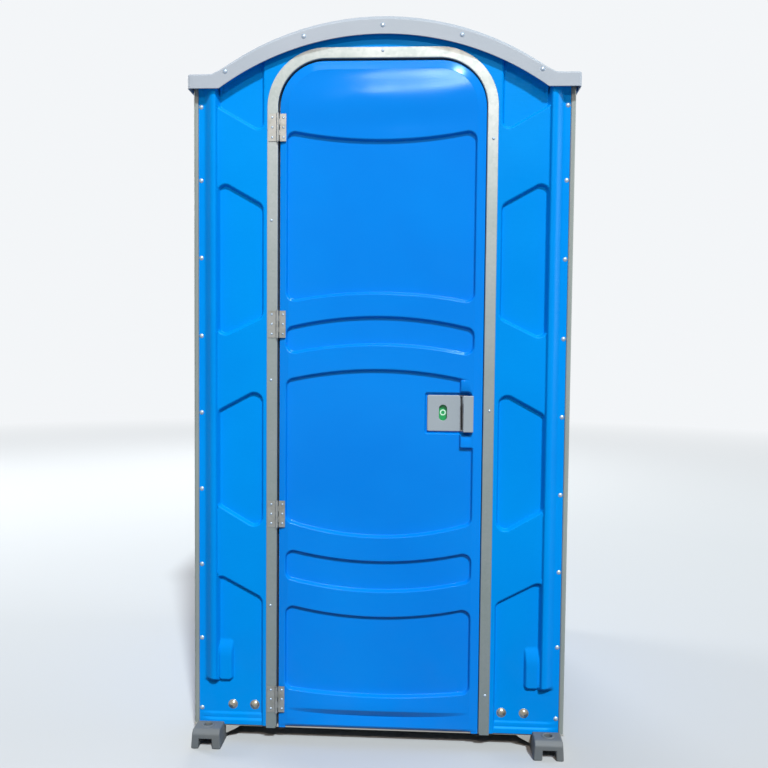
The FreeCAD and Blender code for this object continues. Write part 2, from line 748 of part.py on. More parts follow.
def front_panel():
    """Front wall: sheet, field, ridges, grips, sill and the jamb round the doorway."""
    sheet = end_wall_sheet()
    field = raised_field(FIELD, 0)
    adds, cuts, pockets = [], [], []
    outer, hollow = ridge(ROOF_FLAT_Z - ROOF_T - 1)
    adds += both_sides(outer)
    pockets += both_sides(hollow)
    behind = FRONT_Y + SHEET + 1
    side_field = box(SILL_X0 + 12, FIELD_X - 6, FRONT_Y - FIELD + SHEET, behind, POCKET_Z0, POCKET_Z1)
    for outline in recess_outlines():
        recess = tapered(outline, front, -FRONT_Y, -FRONT_Y + FIELD + 0.5, DRAFT)
        cuts += both_sides(recess)
        keep = prism(grown(outline, POCKET_WALL), front, -FRONT_Y - SHEET - 2, -FRONT_Y + FIELD + 1)
        side_field = side_field.cut(keep)
    side_field = side_field.cut(box(0, TRIM_OUT_X - 6, -ROOF_Y, 0, 0, OVERALL_HEIGHT))
    pockets += both_sides(side_field)
    field = field.cut(cuts)
    band, band_hollow = roof_band()
    wall = sheet.fuse([field, band] + adds)
    wall = wall.fuse(both_sides(hand_grip()) + both_sides(sill(SILL_X0, HALF_W - STRIP_W)))
    # the moulded jamb stands behind the sheet round the doorway
    jamb = prism(arched(-DOORWAY_X - JAMB_WALL, DOORWAY_X + JAMB_WALL, WALL_BOTTOM, DOORWAY_TOP + JAMB_WALL,
                        DOORWAY_R + JAMB_WALL), front, -FRONT_Y, -FRONT_Y - JAMB_DEPTH)
    wall = wall.fuse(jamb)
    wall = wall.cut(pockets + [band_hollow])
    wall = wall.cut(prism(arched(-DOORWAY_X, DOORWAY_X, WALL_BOTTOM - 5, DOORWAY_TOP, DOORWAY_R), front,
                          -FRONT_Y + FIELD + 40, -FRONT_Y - JAMB_DEPTH - 5))
    drills = end_wall_drills()
    drills += front_drills(trim_screw_places(), FRONT_Y - FIELD, SCREW_R, FIELD)
    drills += front_drills(frame_rivet_places(), FRONT_Y, RIVET_SHANK_R, JAMB_DEPTH)
    drills += front_drills(anchor_places(), FRONT_Y + SHEET, RIVET_SHANK_R, SHEET - BLIND)
    drills.append(strike_slot())
    return wall.cut(drills)


def strike_slot():
    """Slot in the latch side of the doorway that takes the bolt."""
    y0 = BOLT_Y0 - 1.0
    return box(TRIM_IN_X - 5, DOORWAY_X + JAMB_WALL + 5, y0, y0 + BOLT_T + 2.0, BOLT_Z - BOLT_H / 2 - 2,
               BOLT_Z + BOLT_H / 2 + 2)


def rear_panel():
    """Rear wall: sheet with two ridges, a raised field and three wide recesses."""
    sheet = end_wall_sheet()
    band, band_hollow = roof_band()
    field = raised_field(REAR_FIELD, RIM_TOP + 5)
    outlines = [rectangle(-REAR_RECESS_X, REAR_RECESS_X, low, high, LAND_R) for low, high in REAR_RECESSES]
    field = field.cut([tapered(outline, front, -FRONT_Y, -FRONT_Y + FIELD, DRAFT) for outline in outlines])
    lands = behind_lands(FIELD_X - 8, RIM_TOP + 12, SKIRT_Z - 20, REAR_FIELD, FRONT_Y, outlines)
    outer, hollow = ridge(ROOF_FLAT_Z - ROOF_T - 1)
    wall = sheet.fuse([field, band] + both_sides(outer) + both_sides(sill(0, HALF_W - STRIP_W)))
    wall = wall.cut([lands] + both_sides(hollow) + [band_hollow])
    return turned(wall.cut(end_wall_drills()), 180)


def side_wall(way):
    """Side wall in the front wall's pose and then turned: ridges, field, recesses and louvres."""
    y = -SIDE_X
    half = HALF_D - STRIP_W
    shift = y - FRONT_Y
    sheet = box(-half, half, y, y + SHEET, WALL_BOTTOM, SIDE_TOP)
    field = box(-SIDE_FIELD_Y, SIDE_FIELD_Y, y - SIDE_FIELD, y + 1, SILL_TOP, SKIRT_Z - 12)
    outlines = [rectangle(-SIDE_RECESS_Y, SIDE_RECESS_Y, low, high, LAND_R) for low, high in SIDE_RECESSES]
    field = field.cut([tapered(outline, front, -y, -y + SIDE_FIELD + 0.5, DRAFT) for outline in outlines])
    pockets = [behind_lands(SIDE_FIELD_Y - 8, RIM_TOP + 12, SKIRT_Z - 22, SIDE_FIELD, y, outlines)]
    foot = sill(-half, half)
    foot.translate(V(0, shift, 0))
    foot = foot.common(box(-half, half, y - STRIP_PROUD + 0.5, y + 1, 0, 200))
    hoods = []
    half_louvre = LOUVRE_W / 2
    half_mouth = half_louvre - LOUVRE_WALL
    out = y - LOUVRE_HOOD
    for z in LOUVRE_Z:
        hood = corners((y + 1, z + LOUVRE_H), (y + 1, z), (out, z - 4), (out, z), (y, z + LOUVRE_H))
        hoods.append(prism(hood, across, -half_louvre, half_louvre))
        pockets.append(box(-half_mouth, half_mouth, out + 3, y + SHEET + 1, z - 9, z + 2))
    wall = sheet.fuse([field, foot] + hoods).cut(pockets)
    wall = wall.cut(front_drills(mirrored_places((SIDE_RIVET_Y,), RIVET_Z), y, RIVET_SHANK_R, SHEET + 5))
    return turned(wall, 90 * way)


def corner_strip(sign_x, sign_y):
    """Corner strip: rounded nose outside and a leg behind each wall, with its rivet holes."""
    nose_x0 = HALF_W - STRIP_W + FIT
    nose_y0 = HALF_D - STRIP_W + FIT
    section = [(nose_x0, nose_y0, 2.0, 0), (HALF_W, nose_y0, 4.0, 0), (HALF_W, HALF_D, 8.0, 0),
               (nose_x0, HALF_D, 4.0, 0)]
    nose = prism(section, plan, WALL_BOTTOM, STRIP_TOP)
    leg_y = -FRONT_Y - SHEET - FIT
    leg_x = SIDE_X - SHEET - FIT
    leg_a = box(leg_x - STRIP_LEG_W, leg_x, leg_y - STRIP_LEG, leg_y, WALL_BOTTOM, STRIP_TOP)
    leg_b = box(leg_x - STRIP_LEG, leg_x, leg_y - STRIP_LEG_W, leg_y, WALL_BOTTOM, STRIP_TOP)
    strip = nose.fuse([leg_a, leg_b])
    drills = []
    for z in RIVET_Z:
        drills.append(hole((RIVET_X, HALF_D, z), (0, 1, 0), RIVET_SHANK_R + HOLE_GAP, 40))
        drills.append(hole((HALF_W, SIDE_RIVET_Y, z), (1, 0, 0), RIVET_SHANK_R + HOLE_GAP, 40))
    strip = strip.cut(drills)
    if sign_x < 0:
        strip = mirrored(strip)
    if sign_y < 0:
        strip = strip.mirror(V(0, 0, 0), V(0, 1, 0))
    return strip


def wall_rivets(direction):
    """Two columns of dome rivets on one wall, named by its outward direction."""
    grip = SHEET + FIT + STRIP_LEG
    shapes = []
    for z in RIVET_Z:
        for side in (-1, 1):
            shapes.append(dome_rivet((side * RIVET_X, FRONT_Y, z), (0, -1, 0), RIVET_R, RIVET_SHANK_R, grip))
    if direction == "rear":
        shapes = [turned(shape, 180) for shape in shapes]
    return group(shapes)


def side_rivets():
    """Rivet columns of both side walls."""
    grip = SHEET + FIT + STRIP_LEG
    shapes = []
    for y, z in mirrored_places((SIDE_RIVET_Y,), RIVET_Z):
        for side in (-1, 1):
            shapes.append(dome_rivet((side * SIDE_X, y, z), (side, 0, 0), RIVET_R, RIVET_SHANK_R, grip))
    return group(shapes)


def vent_screen(side):
    """Perforated sheet behind the louvres."""
    x0 = SIDE_X - SHEET - SCREEN_T
    half = LOUVRE_W / 2 + SCREEN_EDGE
    screen = box(x0, SIDE_X - SHEET, -half, half, LOUVRE_Z[0] - 25, LOUVRE_Z[-1] + 22)
    slots = []
    count = int((LOUVRE_W - 10) // SCREEN_STEP)
    for z in LOUVRE_Z:
        for i in range(count):
            y = SCREEN_STEP * (i - (count - 1) / 2)
            slots.append(box(x0 - 1, SIDE_X, y - SCREEN_SLOT_W / 2, y + SCREEN_SLOT_W / 2, z - 8, z + 4))
    screen = screen.cut(slots)
    return screen if side > 0 else mirrored(screen)


# Doorway

def trim_screw_places():
    """Screws of the doorway trim: sides, latch side and the middle of the arch."""
    middle = (TRIM_OUT_X + TRIM_IN_X) / 2
    places = [(middle, z) for z in TRIM_SCREWS_RIGHT]
    places += [(-middle - 1, z) for z in TRIM_SCREWS_LEFT]
    places.append((0.0, (TRIM_OUT_TOP + TRIM_IN_TOP) / 2 + 2.5))
    return places


def frame_rivet_places():
    """Rivets of the frame leaves."""
    x = (FRAME_LEAF_X + PIN_X - KNUCKLE_R) / 2 - 1
    return [(x, z + dz) for z in HINGE_Z for dz in LEAF_RIVETS]


def door_rivet_places():
    """Rivets of the door leaves."""
    x = (DOOR_LEAF_X + PIN_X + KNUCKLE_R) / 2 + 2
    return [(x, z + dz) for z in HINGE_Z for dz in LEAF_RIVETS]


def jamb_trim():
    """Galvanised arched strip on the wall round the doorway, with a return into the doorway."""
    outer = arched(-TRIM_OUT_X, TRIM_OUT_X, TRIM_BOTTOM, TRIM_OUT_TOP, TRIM_IN_R + TRIM_OUT_X - TRIM_IN_X)
    inner = arched(-TRIM_IN_X, TRIM_IN_X, TRIM_BOTTOM - 5, TRIM_IN_TOP, TRIM_IN_R)
    leg = arched(-TRIM_IN_X - TRIM_T, TRIM_IN_X + TRIM_T, WALL_BOTTOM + 1, TRIM_IN_TOP + TRIM_T,
                 TRIM_IN_R + TRIM_T)
    strip = prism(outer, front, -TRIM_Y, -TRIM_Y - TRIM_T)
    strip = strip.fuse(prism(leg, front, -TRIM_Y, -TRIM_Y - TRIM_DEPTH))
    strip = strip.cut(prism(inner, front, -TRIM_Y + 5, -TRIM_Y - TRIM_DEPTH - 5))
    drills = front_drills(trim_screw_places(), TRIM_Y, SCREW_R, 10)
    drills += front_drills(frame_rivet_places(), TRIM_Y, RIVET_SHANK_R, 10)
    drills.append(strike_slot())
    return strip.cut(drills)


def jamb_screws():
    """Pan-head screws of the trim."""
    length = TRIM_T + FIT + FIELD
    return group([dome_rivet((x, TRIM_Y, z), (0, -1, 0), SCREW_HEAD_R, SCREW_R, length, False)
                  for x, z in trim_screw_places()])


def jamb_stop():
    """Flat stop frame behind the door, on the back of the moulded jamb."""
    y0 = FRONT_Y + JAMB_DEPTH
    out = DOORWAY_X + STOP_BACK
    inside = DOORWAY_X - STOP_LAP
    top = DOORWAY_TOP + STOP_BACK
    low = DECK_TOP + 3.0
    outer = prism(arched(-out, out, low, top, DOORWAY_R + STOP_BACK), front, -y0, -y0 - STOP_T)
    hole_shape = prism(arched(-inside, inside, low - 5, DOORWAY_TOP - STOP_LAP, DOORWAY_R - STOP_LAP), front,
                       -y0 + 5, -y0 - STOP_T - 5)
    return outer.cut(hole_shape)


def strike_plate():
    """Wear plate on the latch side of the doorway, with the bolt's slot."""
    y0 = TRIM_Y + 12
    low, high = BOLT_Z - STRIKE_H / 2, BOLT_Z + STRIKE_H / 2
    plate = box(TRIM_IN_X - STRIKE_T, TRIM_IN_X, y0, TRIM_Y + TRIM_DEPTH, low, high)
    return plate.cut(strike_slot())


# Door

def door_panel_outline(ends_low, mid_low, ends_high, mid_high):
    """Recess of the door with a bowed upper and lower edge."""
    return [(PANEL_X0, ends_low, PANEL_R, ends_low - mid_low), (PANEL_X1, ends_low, PANEL_R, 0),
            (PANEL_X1, ends_high, PANEL_R, mid_high - ends_high), (PANEL_X0, ends_high, PANEL_R, 0)]


def door_outline(inset):
    """Outline of the door, inset from its edge."""
    x0, x1 = DOOR_X0 + inset, DOOR_X1 - inset
    low, high = DOOR_Z0 + inset, DOOR_TOP - inset
    top_r = DOOR_CORNER_R - inset
    return [(x0, low, DOOR_REST_R, 0), (x1, low, DOOR_REST_R, 0), (x1, high, top_r, 0), (x0, high, top_r, 0)]


def latch_boss():
    """Part of the door that stays solid behind the latch."""
    return box(LATCH_X0 - 16, DOOR_X1, DOOR_Y0, DOOR_Y1, LATCH_Z0 - 14, LATCH_Z1 + 14)


def door_body():
    """Moulded door: rolled lip, bowed recesses, latch tab and well, feet, open back."""
    base = prism(door_outline(0), front, -DOOR_Y0 - DOOR_LIP, -DOOR_Y1)
    lip = tapered(door_outline(DOOR_LIP * 0.8), front, -DOOR_Y0, -DOOR_Y0 - DOOR_LIP - 0.01, DOOR_LIP * 0.8)
    door = base.fuse(lip)
    tab_outline = rectangle(TAB_X0, DOOR_X1, TAB_Z0, TAB_Z1, 6.0)
    tab = prism(tab_outline, front, -DOOR_Y0 - PANEL_DEPTH - 1, -DOOR_Y0 + 1)
    cuts = []
    for panel in DOOR_PANELS:
        recess = tapered(door_panel_outline(*panel), front, -DOOR_Y0 - PANEL_DEPTH, -DOOR_Y0 + 0.5, DRAFT)
        cuts.append(recess.cut(tab))
    door = door.cut(cuts)
    back = prism(door_outline(DOOR_RIM), front, -DOOR_Y0 - PANEL_DEPTH - DOOR_SKIN, -DOOR_Y1 - 1)
    rebate = prism(door_outline(LINER_EDGE), front, -DOOR_Y1 + LINER_T + FIT, -DOOR_Y1 - 1)
    door = door.cut([back.cut(latch_boss()), rebate])
    feet = [box(x0, x0 + FOOT_W, DOOR_Y0 + 2, DOOR_Y0 + 2 + FOOT_T, FOOT_Z, DOOR_Z0 + 12)
            for x0 in (DOOR_X0, DOOR_X1 - FOOT_W)]
    door = door.fuse(feet + [door_bulge()])
    well_low, well_high = LATCH_Z0 - LATCH_RIM, LATCH_Z1 + LATCH_RIM
    well_outline = rectangle(LATCH_X0 - LATCH_RIM, LATCH_WELL_X1, well_low, well_high, 3.0)
    well = prism(well_outline, front, -DOOR_Y0 - LATCH_WELL, -DOOR_Y0 + 5)
    window = box(WINDOW_X - WINDOW_W / 2 - 4, WINDOW_X + WINDOW_W / 2 + 4, DOOR_Y0 + LATCH_WELL - 1,
                 DOOR_Y1, WINDOW_Z - WINDOW_H / 2 - 4, WINDOW_Z + WINDOW_H / 2 + 4)
    drills = front_drills(door_rivet_places(), DOOR_Y0, RIVET_SHANK_R, PANEL_DEPTH + DOOR_SKIN + 5)
    return door.cut([well, window, latch_cavity(), bolt_way()] + drills)


def door_bulge():
    """Shallow lens along the foot of the door."""
    top_half = BULGE_HALF - 30
    top_z = BULGE_Z + 14
    outline = [(-BULGE_HALF, BULGE_Z, 0, 3.0), (BULGE_HALF, BULGE_Z, 0, 0),
               (top_half, top_z, 0, BULGE_H - 50), (-top_half, top_z, 0, 0)]
    return tapered(grown(outline, -BULGE_DRAFT), front, -DOOR_Y0 + BULGE_OUT, -DOOR_Y0 - 1, BULGE_DRAFT)


def latch_cavity():
    """Room in the door for the latch bolt and the indicator."""
    y0 = DOOR_Y0 + LATCH_WELL + WELL_FLOOR_T
    return box(LATCH_X0 + 3, DOOR_X1 - DOOR_RIM, y0, DOOR_Y1 + 1, BOLT_Z - CAVITY_HALF,
               BOLT_Z + CAVITY_HALF)


def bolt_way():
    """Way of the bolt through the door's edge."""
    low, high = BOLT_Z - BOLT_H / 2 - FIT, BOLT_Z + BOLT_H / 2 + FIT
    return box(DOOR_X1 - DOOR_RIM - 5, DOOR_X1 + 5, BOLT_Y0 - FIT, BOLT_Y0 + BOLT_T + FIT, low, high)


def door_liner():
    """Flat sheet that closes the back of the door, open round the latch cover."""
    y0 = DOOR_Y1 - LINER_T
    sheet = prism(door_outline(LINER_EDGE + FIT), front, -y0, -DOOR_Y1)
    low, high = BOLT_Z - CAVITY_HALF, BOLT_Z + CAVITY_HALF
    opening = box(LATCH_X0 + 3, DOOR_X1 - DOOR_RIM, y0 - 1, DOOR_Y1 + 1, low, high)
    return sheet.cut([opening] + front_drills(door_anchor_places(), DOOR_Y1, RIVET_SHANK_R, 6))


def hinge_leaf(z, frame_side):
    """One leaf of a butt hinge: its plate and its share of the knuckles."""
    y_plate = TRIM_Y - FIT - HINGE_T if frame_side else DOOR_Y0 - FIT - HINGE_T
    z0 = z - HINGE_H / 2
    pitch = HINGE_H / KNUCKLES
    clear = KNUCKLE_R + 1.0
    if frame_side:
        plate = box(FRAME_LEAF_X, PIN_X - clear, y_plate, y_plate + HINGE_T, z0, z0 + HINGE_H)
    else:
        plate = box(PIN_X + clear, DOOR_LEAF_X, y_plate, y_plate + HINGE_T, z0, z0 + HINGE_H)
    pieces = []
    for i in range(KNUCKLES):
        if (i % 2 == 0) != frame_side:
            continue
        low = z0 + i * pitch + KNUCKLE_GAP / 2
        high = low + pitch - KNUCKLE_GAP
        pieces.append(rod((PIN_X, PIN_Y, low), (0, 0, 1), KNUCKLE_R, high - low))
        x0, x1 = sorted((PIN_X, PIN_X - clear - 1 if frame_side else PIN_X + clear + 1))
        pieces.append(box(x0, x1, y_plate if frame_side else PIN_Y, y_plate + HINGE_T, low, high))
    leaf = plate.fuse(pieces)
    leaf = leaf.cut(rod((PIN_X, PIN_Y, z0 - 5), (0, 0, 1), PIN_R + RUNNING, HINGE_H + 10))
    places = frame_rivet_places() if frame_side else door_rivet_places()
    return leaf.cut(front_drills(places, y_plate, RIVET_SHANK_R, 10))


def hinge_pins():
    """Pins of the hinges, with a small head at each end."""
    shapes = []
    for z in HINGE_Z:
        z0 = z - HINGE_H / 2
        pin = rod((PIN_X, PIN_Y, z0 - 1), (0, 0, 1), PIN_R, HINGE_H + 2)
        heads = [rod((PIN_X, PIN_Y, z0 - 2), (0, 0, 1), PIN_R + 1, 1.5),
                 rod((PIN_X, PIN_Y, z0 + HINGE_H + 0.5), (0, 0, 1), PIN_R + 1, 1.5)]
        shapes.append(pin.fuse(heads))
    return group(shapes)


def frame_hinge_rivets():
    """Rivets of the frame leaves."""
    y = TRIM_Y - FIT - HINGE_T
    grip = HINGE_T + FIT + TRIM_T + FIT + FIELD + SHEET
    return group([dome_rivet((x, y, z), (0, -1, 0), LEAF_RIVET_R, RIVET_SHANK_R, grip)
                  for x, z in frame_rivet_places()])


def door_hinge_rivets():
    """Rivets of the door leaves."""
    y = DOOR_Y0 - FIT - HINGE_T
    grip = HINGE_T + FIT + PANEL_DEPTH + DOOR_SKIN
    return group([dome_rivet((x, y, z), (0, -1, 0), LEAF_RIVET_R, RIVET_SHANK_R, grip, False)
                  for x, z in door_rivet_places()])


# Latch

def window_outline():
    """Upright slot with round ends."""
    half = WINDOW_W / 2
    low, high = WINDOW_Z - WINDOW_H / 2, WINDOW_Z + WINDOW_H / 2
    return rectangle(WINDOW_X - half, WINDOW_X + half, low, high, half - 0.01)


def latch_plate():
    """Outer plate in the latch well, raised rim and slot window."""
    y1 = DOOR_Y0 + LATCH_WELL
    outline = rectangle(LATCH_X0, LATCH_X1, LATCH_Z0, LATCH_Z1, 4.0)
    plate = prism(outline, front, -y1 + LATCH_RIM + LATCH_PLATE_T, -y1)
    return plate.cut(prism(window_outline(), front, -y1 + 20, -y1 - 5))


def latch_pull():
    """Pull beside the plate: a bar that stands off the door on a foot along its outer side."""
    outline = rectangle(PULL_X0, PULL_X1, LATCH_Z0, LATCH_Z1, 4.0)
    y0 = DOOR_Y0 - PULL_OUT
    bar = tapered(grown(outline, -PULL_BEVEL), front, -y0, -y0 - PULL_T, PULL_BEVEL)
    foot = rectangle(PULL_X1 - PULL_FOOT, PULL_X1 - 0.5, LATCH_Z0 + 1, LATCH_Z1 - 1, PULL_BEVEL)
    return bar.fuse(prism(foot, front, -y0 - PULL_T + 1, -DOOR_Y0))


def indicator_slide():
    """Flat two-colour plate behind the window, as long as the window and its travel."""
    y1 = BOLT_Y0
    x0 = WINDOW_X - BOLT_TRAVEL - WINDOW_W / 2 - 1
    x1 = WINDOW_X + WINDOW_W / 2 + 1
    half = WINDOW_H / 2 + 3
    return prism(rectangle(x0, x1, WINDOW_Z - half, WINDOW_Z + half, 3.0), front, -y1 + INDICATOR_T, -y1)


def latch_bolt():
    """Sliding bolt with its inner knob."""
    y0 = BOLT_Y0
    bar = box(BOLT_X0, BOLT_X1, y0, y0 + BOLT_T, BOLT_Z - BOLT_H / 2, BOLT_Z + BOLT_H / 2)
    knob_end = DOOR_Y1 + CASE_T + KNOB_OUT
    knob = box(KNOB_X - KNOB_W / 2, KNOB_X + KNOB_W / 2, y0 + BOLT_T - 0.01, knob_end, BOLT_Z - KNOB_H / 2,
               BOLT_Z + KNOB_H / 2)
    knob = knob.makeFillet(4.0, [edge for edge in knob.Edges if edge.CenterOfMass.y > knob_end - 1])
    tip = corners((BOLT_X1 - 12, y0 - 1), (BOLT_X1 + 1, y0 - 1), (BOLT_X1 + 1, y0 + 3))
    return bar.fuse(knob).cut(prism(tip, plan, BOLT_Z - BOLT_H, BOLT_Z + BOLT_H))


def latch_cover():
    """Cover over the latch on the inside of the door, slotted for the knob."""
    x0, x1 = LATCH_X0 - 8, DOOR_X1 - DOOR_RIM + 4
    cover = prism(rectangle(x0, x1, LATCH_Z0 - 4, LATCH_Z1 + 4, 8.0), front, -DOOR_Y1, -DOOR_Y1 - CASE_T)
    slot_x0, slot_x1 = KNOB_X - KNOB_W / 2 - 2, KNOB_X + KNOB_W / 2 + BOLT_TRAVEL + 2
    half = KNOB_H / 2 + 1
    return cover.cut(box(slot_x0, slot_x1, DOOR_Y1 - 1, DOOR_Y1 + CASE_T + 1, BOLT_Z - half, BOLT_Z + half))


# Base

def skid(side):
    """Moulded runner: channel below, flared foot, raised end with a stake hole, seat for the floor."""
    half = SKID_W / 2
    flare = half + FLANGE_OUT
    outline = corners((-flare, 0), (flare, 0), (flare, FLANGE_H), (half, FLANGE_H + 6), (half - 3, SKID_H),
                      (-half + 3, SKID_H), (-half, FLANGE_H + 6), (-flare, FLANGE_H))
    body = prism([(SKID_X + u, v, 0, 0) for u, v, _, _ in outline], front, SKID_REACH, -SKID_REACH)
    bevels = []
    for end in (-1, 1):
        bevel = corners((end * (SKID_REACH - 12), SKID_H + 1), (end * (SKID_REACH + 1), SKID_H + 1),
                        (end * (SKID_REACH + 1), SKID_H - 14))
        bevels.append(prism(bevel, across, SKID_X - 80, SKID_X + 80))
        body = body.fuse(rod((STAKE_X, end * STAKE_Y, SKID_H - 5), (0, 0, 1), BOSS_R, BOSS_H + 5))
    channel_x0, channel_x1 = STAKE_X - CHANNEL_W / 2, STAKE_X + CHANNEL_W / 2
    cuts = [box(channel_x0, channel_x1, -SKID_REACH - 5, SKID_REACH + 5, -1, CHANNEL_H),
            box(SKID_X - 80, SKID_X + 80, -SKID_LOW_Y, SKID_LOW_Y, SKID_LOW, SKID_H + 20)]
    cuts += [rod((STAKE_X, end * STAKE_Y, 0), (0, 0, 1), STAKE_R, SKID_H + 20) for end in (-1, 1)]
    cuts += [rod((STAKE_X, y, 0), (0, 0, 1), BOLT_R + HOLE_GAP, SKID_H) for y in RAIL_Y]
    shape = body.cut(bevels + cuts)
    return shape if side > 0 else mirrored(shape)


def skid_gussets():
    """Braces between the floor pan's edge and the inner side of each skid."""
    outer = SKID_X - SKID_W / 2 - FIT
    inner = outer - FLANGE_OUT
    top = PAN_Z0 - FIT
    tip = inner - GUSSET_W
    brace = corners((outer, top), (tip, top), (tip + 10, top - 8), (inner, GUSSET_Z0), (outer, GUSSET_Z0))
    shapes = []
    for end in (-1, 1):
        y0, y1 = sorted((end * (LIP_Y - GUSSET_DEPTH), end * LIP_Y))
        shapes += both_sides(prism(brace, front, -y0, -y1))
    return group(shapes)


def cross_rails():
    """Square tubes under the deck that tie the skids together."""
    z0, z1 = PAN_Z0 + FIT, DECK_Z0
    half = RAIL_W / 2
    bore_half = half - RAIL_WALL
    shapes = []
    for y in RAIL_Y:
        tube = box(-RAIL_X, RAIL_X, y - half, y + half, z0, z1)
        bore = box(-RAIL_X - 1, RAIL_X + 1, y - bore_half, y + bore_half, z0 + RAIL_WALL, z1 - RAIL_WALL)
        drills = [rod((side * STAKE_X, y, z0 - 1), (0, 0, 1), BOLT_R + HOLE_GAP, RAIL_WALL + 2)
                  for side in (-1, 1)]
        shapes.append(tube.cut([bore] + drills))
    return group(shapes)


def skid_bolts():
    """Bolts with their nuts that hold the rails on the skids."""
    shapes = []
    nut_z = PAN_Z0 + FIT + RAIL_WALL
    for y in RAIL_Y:
        for side in (-1, 1):
            x = side * STAKE_X
            head = rod((x, y, CHANNEL_H - SKID_BOLT_HEAD_T), (0, 0, 1), SKID_BOLT_HEAD_R, SKID_BOLT_HEAD_T)
            shank = rod((x, y, CHANNEL_H - 1), (0, 0, 1), BOLT_R, nut_z + SKID_NUT_T + 2 - CHANNEL_H)
            nut = rod((x, y, nut_z), (0, 0, 1), SKID_BOLT_HEAD_R, SKID_NUT_T)
            shapes.append(head.fuse([shank, nut]))
    return group(shapes)


def floor_pan():
    """Floor: deck, upturned rim behind the walls, and a lip under the walls' edges."""
    outer = box(-PAN_X, PAN_X, -PAN_Y, PAN_Y, PAN_Z0, RIM_TOP)
    in_x, in_y = PAN_X - SHEET, PAN_Y - SHEET
    inner = box(-in_x, in_x, -in_y, in_y, DECK_TOP, RIM_TOP + 1)
    under = box(-in_x, in_x, -in_y, in_y, PAN_Z0 - 1, DECK_Z0)
    pan = outer.cut([inner, under])
    corner = STRIP_LEG_W + FIT
    pan = pan.cut([box(sx * PAN_X - corner, sx * PAN_X + corner, sy * PAN_Y - corner, sy * PAN_Y + corner,
                       WALL_BOTTOM - 1, RIM_TOP + 1) for sx in (-1, 1) for sy in (-1, 1)])
    lip = box(-HALF_W, HALF_W, -LIP_Y, LIP_Y, PAN_Z0, PAN_Z0 + LIP_H)
    lip_x, lip_y = PAN_X - SHEET / 2, PAN_Y - SHEET / 2
    pan = pan.fuse(lip.cut(box(-lip_x, lip_x, -lip_y, lip_y, 0, 100)))
    gap_x = TRIM_OUT_X + 4
    doorway = box(-gap_x, gap_x, -PAN_Y - 1, -in_y + 1, DECK_TOP, RIM_TOP + 1)
    jamb_x = DOORWAY_X + JAMB_WALL + 2
    jamb_room = box(-jamb_x, jamb_x, -PAN_Y - 1, FRONT_Y + JAMB_DEPTH + FIT, WALL_BOTTOM - FIT, RIM_TOP + 1)
    places = mirrored_places(CARRIAGE_X, (CARRIAGE_Z,))
    drills = [drill for end in (-1, 1) for drill in front_drills(places, end * PAN_Y, CARRIAGE_SHANK_R, 20)]
    return pan.cut([doorway, jamb_room] + drills)


def carriage_bolts():
    """Round-headed bolts low on the end walls, with washer and nut inside."""
    shapes = []
    nut_y = -FRONT_Y - SHEET - FIT - SHEET
    ball_r = arc_radius(CARRIAGE_R, CARRIAGE_RISE)
    length = -FRONT_Y - nut_y + WASHER_T + NUT_T + 4
    for end in (-1, 1):
        out = V(0, end, 0)
        for x, z in mirrored_places(CARRIAGE_X, (CARRIAGE_Z,)):
            face = V(x, end * -FRONT_Y, z)
            ball = Part.makeSphere(ball_r, face + out * (CARRIAGE_RISE - ball_r))
            head = ball.common(Part.makeCylinder(CARRIAGE_R + 1, CARRIAGE_RISE + 1, face, out))
            shank = Part.makeCylinder(CARRIAGE_SHANK_R, length, face - out * length, out)
            inside = V(x, end * nut_y, z)
            washer = Part.makeCylinder(WASHER_R, WASHER_T, inside - out * WASHER_T, out)
            nut = Part.makeCylinder(NUT_R, NUT_T, inside - out * (WASHER_T + NUT_T), out)
            shapes.append(head.fuse([shank, washer, nut]))
    return group(shapes)


# Tank, seat and vent

def tank_outline(inset):
    """Side section of the tank: sloped front, flat top."""
    front_low, front_high = TANK_Y0 + inset, TANK_Y0 + TANK_SLOPE + inset
    back = TANK_Y1 - inset
    low, high = DECK_TOP + inset, TANK_TOP - inset
    return [(front_low, low, TANK_R, 0), (back, low, TANK_R, 0), (back, high, TANK_R, 0),
            (front_high, high, TANK_FRONT_R, 0)]


def oval(half_u, half_v, centre_v, place, level):
    """Ellipse as a wire."""
    centre = place(0, centre_v, level)
    ellipse = Part.Ellipse(place(0, centre_v + half_v, level), place(half_u, centre_v, level), centre)
    return Part.Wire([ellipse.toShape()])


def oval_block(half_u, half_v, centre_v, low, high):
    """Upright oval column."""
    return Part.Face(oval(half_u, half_v, centre_v, plan, low)).extrude(V(0, 0, high - low))


def waste_tank():
    """Tank with a deck, the opening under the seat and the openings for vent and drain."""
    outer = prism(tank_outline(0), across, -TANK_X, TANK_X)
    inner = prism(tank_outline(TANK_T), across, -TANK_X + TANK_T, TANK_X - TANK_T)
    cuts = [inner, oval_block(SEAT_HOLE_X, SEAT_HOLE_Y, SEAT_Y, TANK_TOP - 20, TANK_TOP + 5),
            rod((VENT_X, VENT_Y, TANK_TOP - 20), (0, 0, 1), VENT_R + HOLE_GAP, 40),
            rod((-drain_x(), 0, DRAIN_Z), (0, 1, 0), DRAIN_R + HOLE_GAP, 120)]
    return outer.cut(cuts)


def drain_x():
    """Distance of the drain from the cabin's middle."""
    return SIDE_X - SHEET - DRAIN_R - 6.0


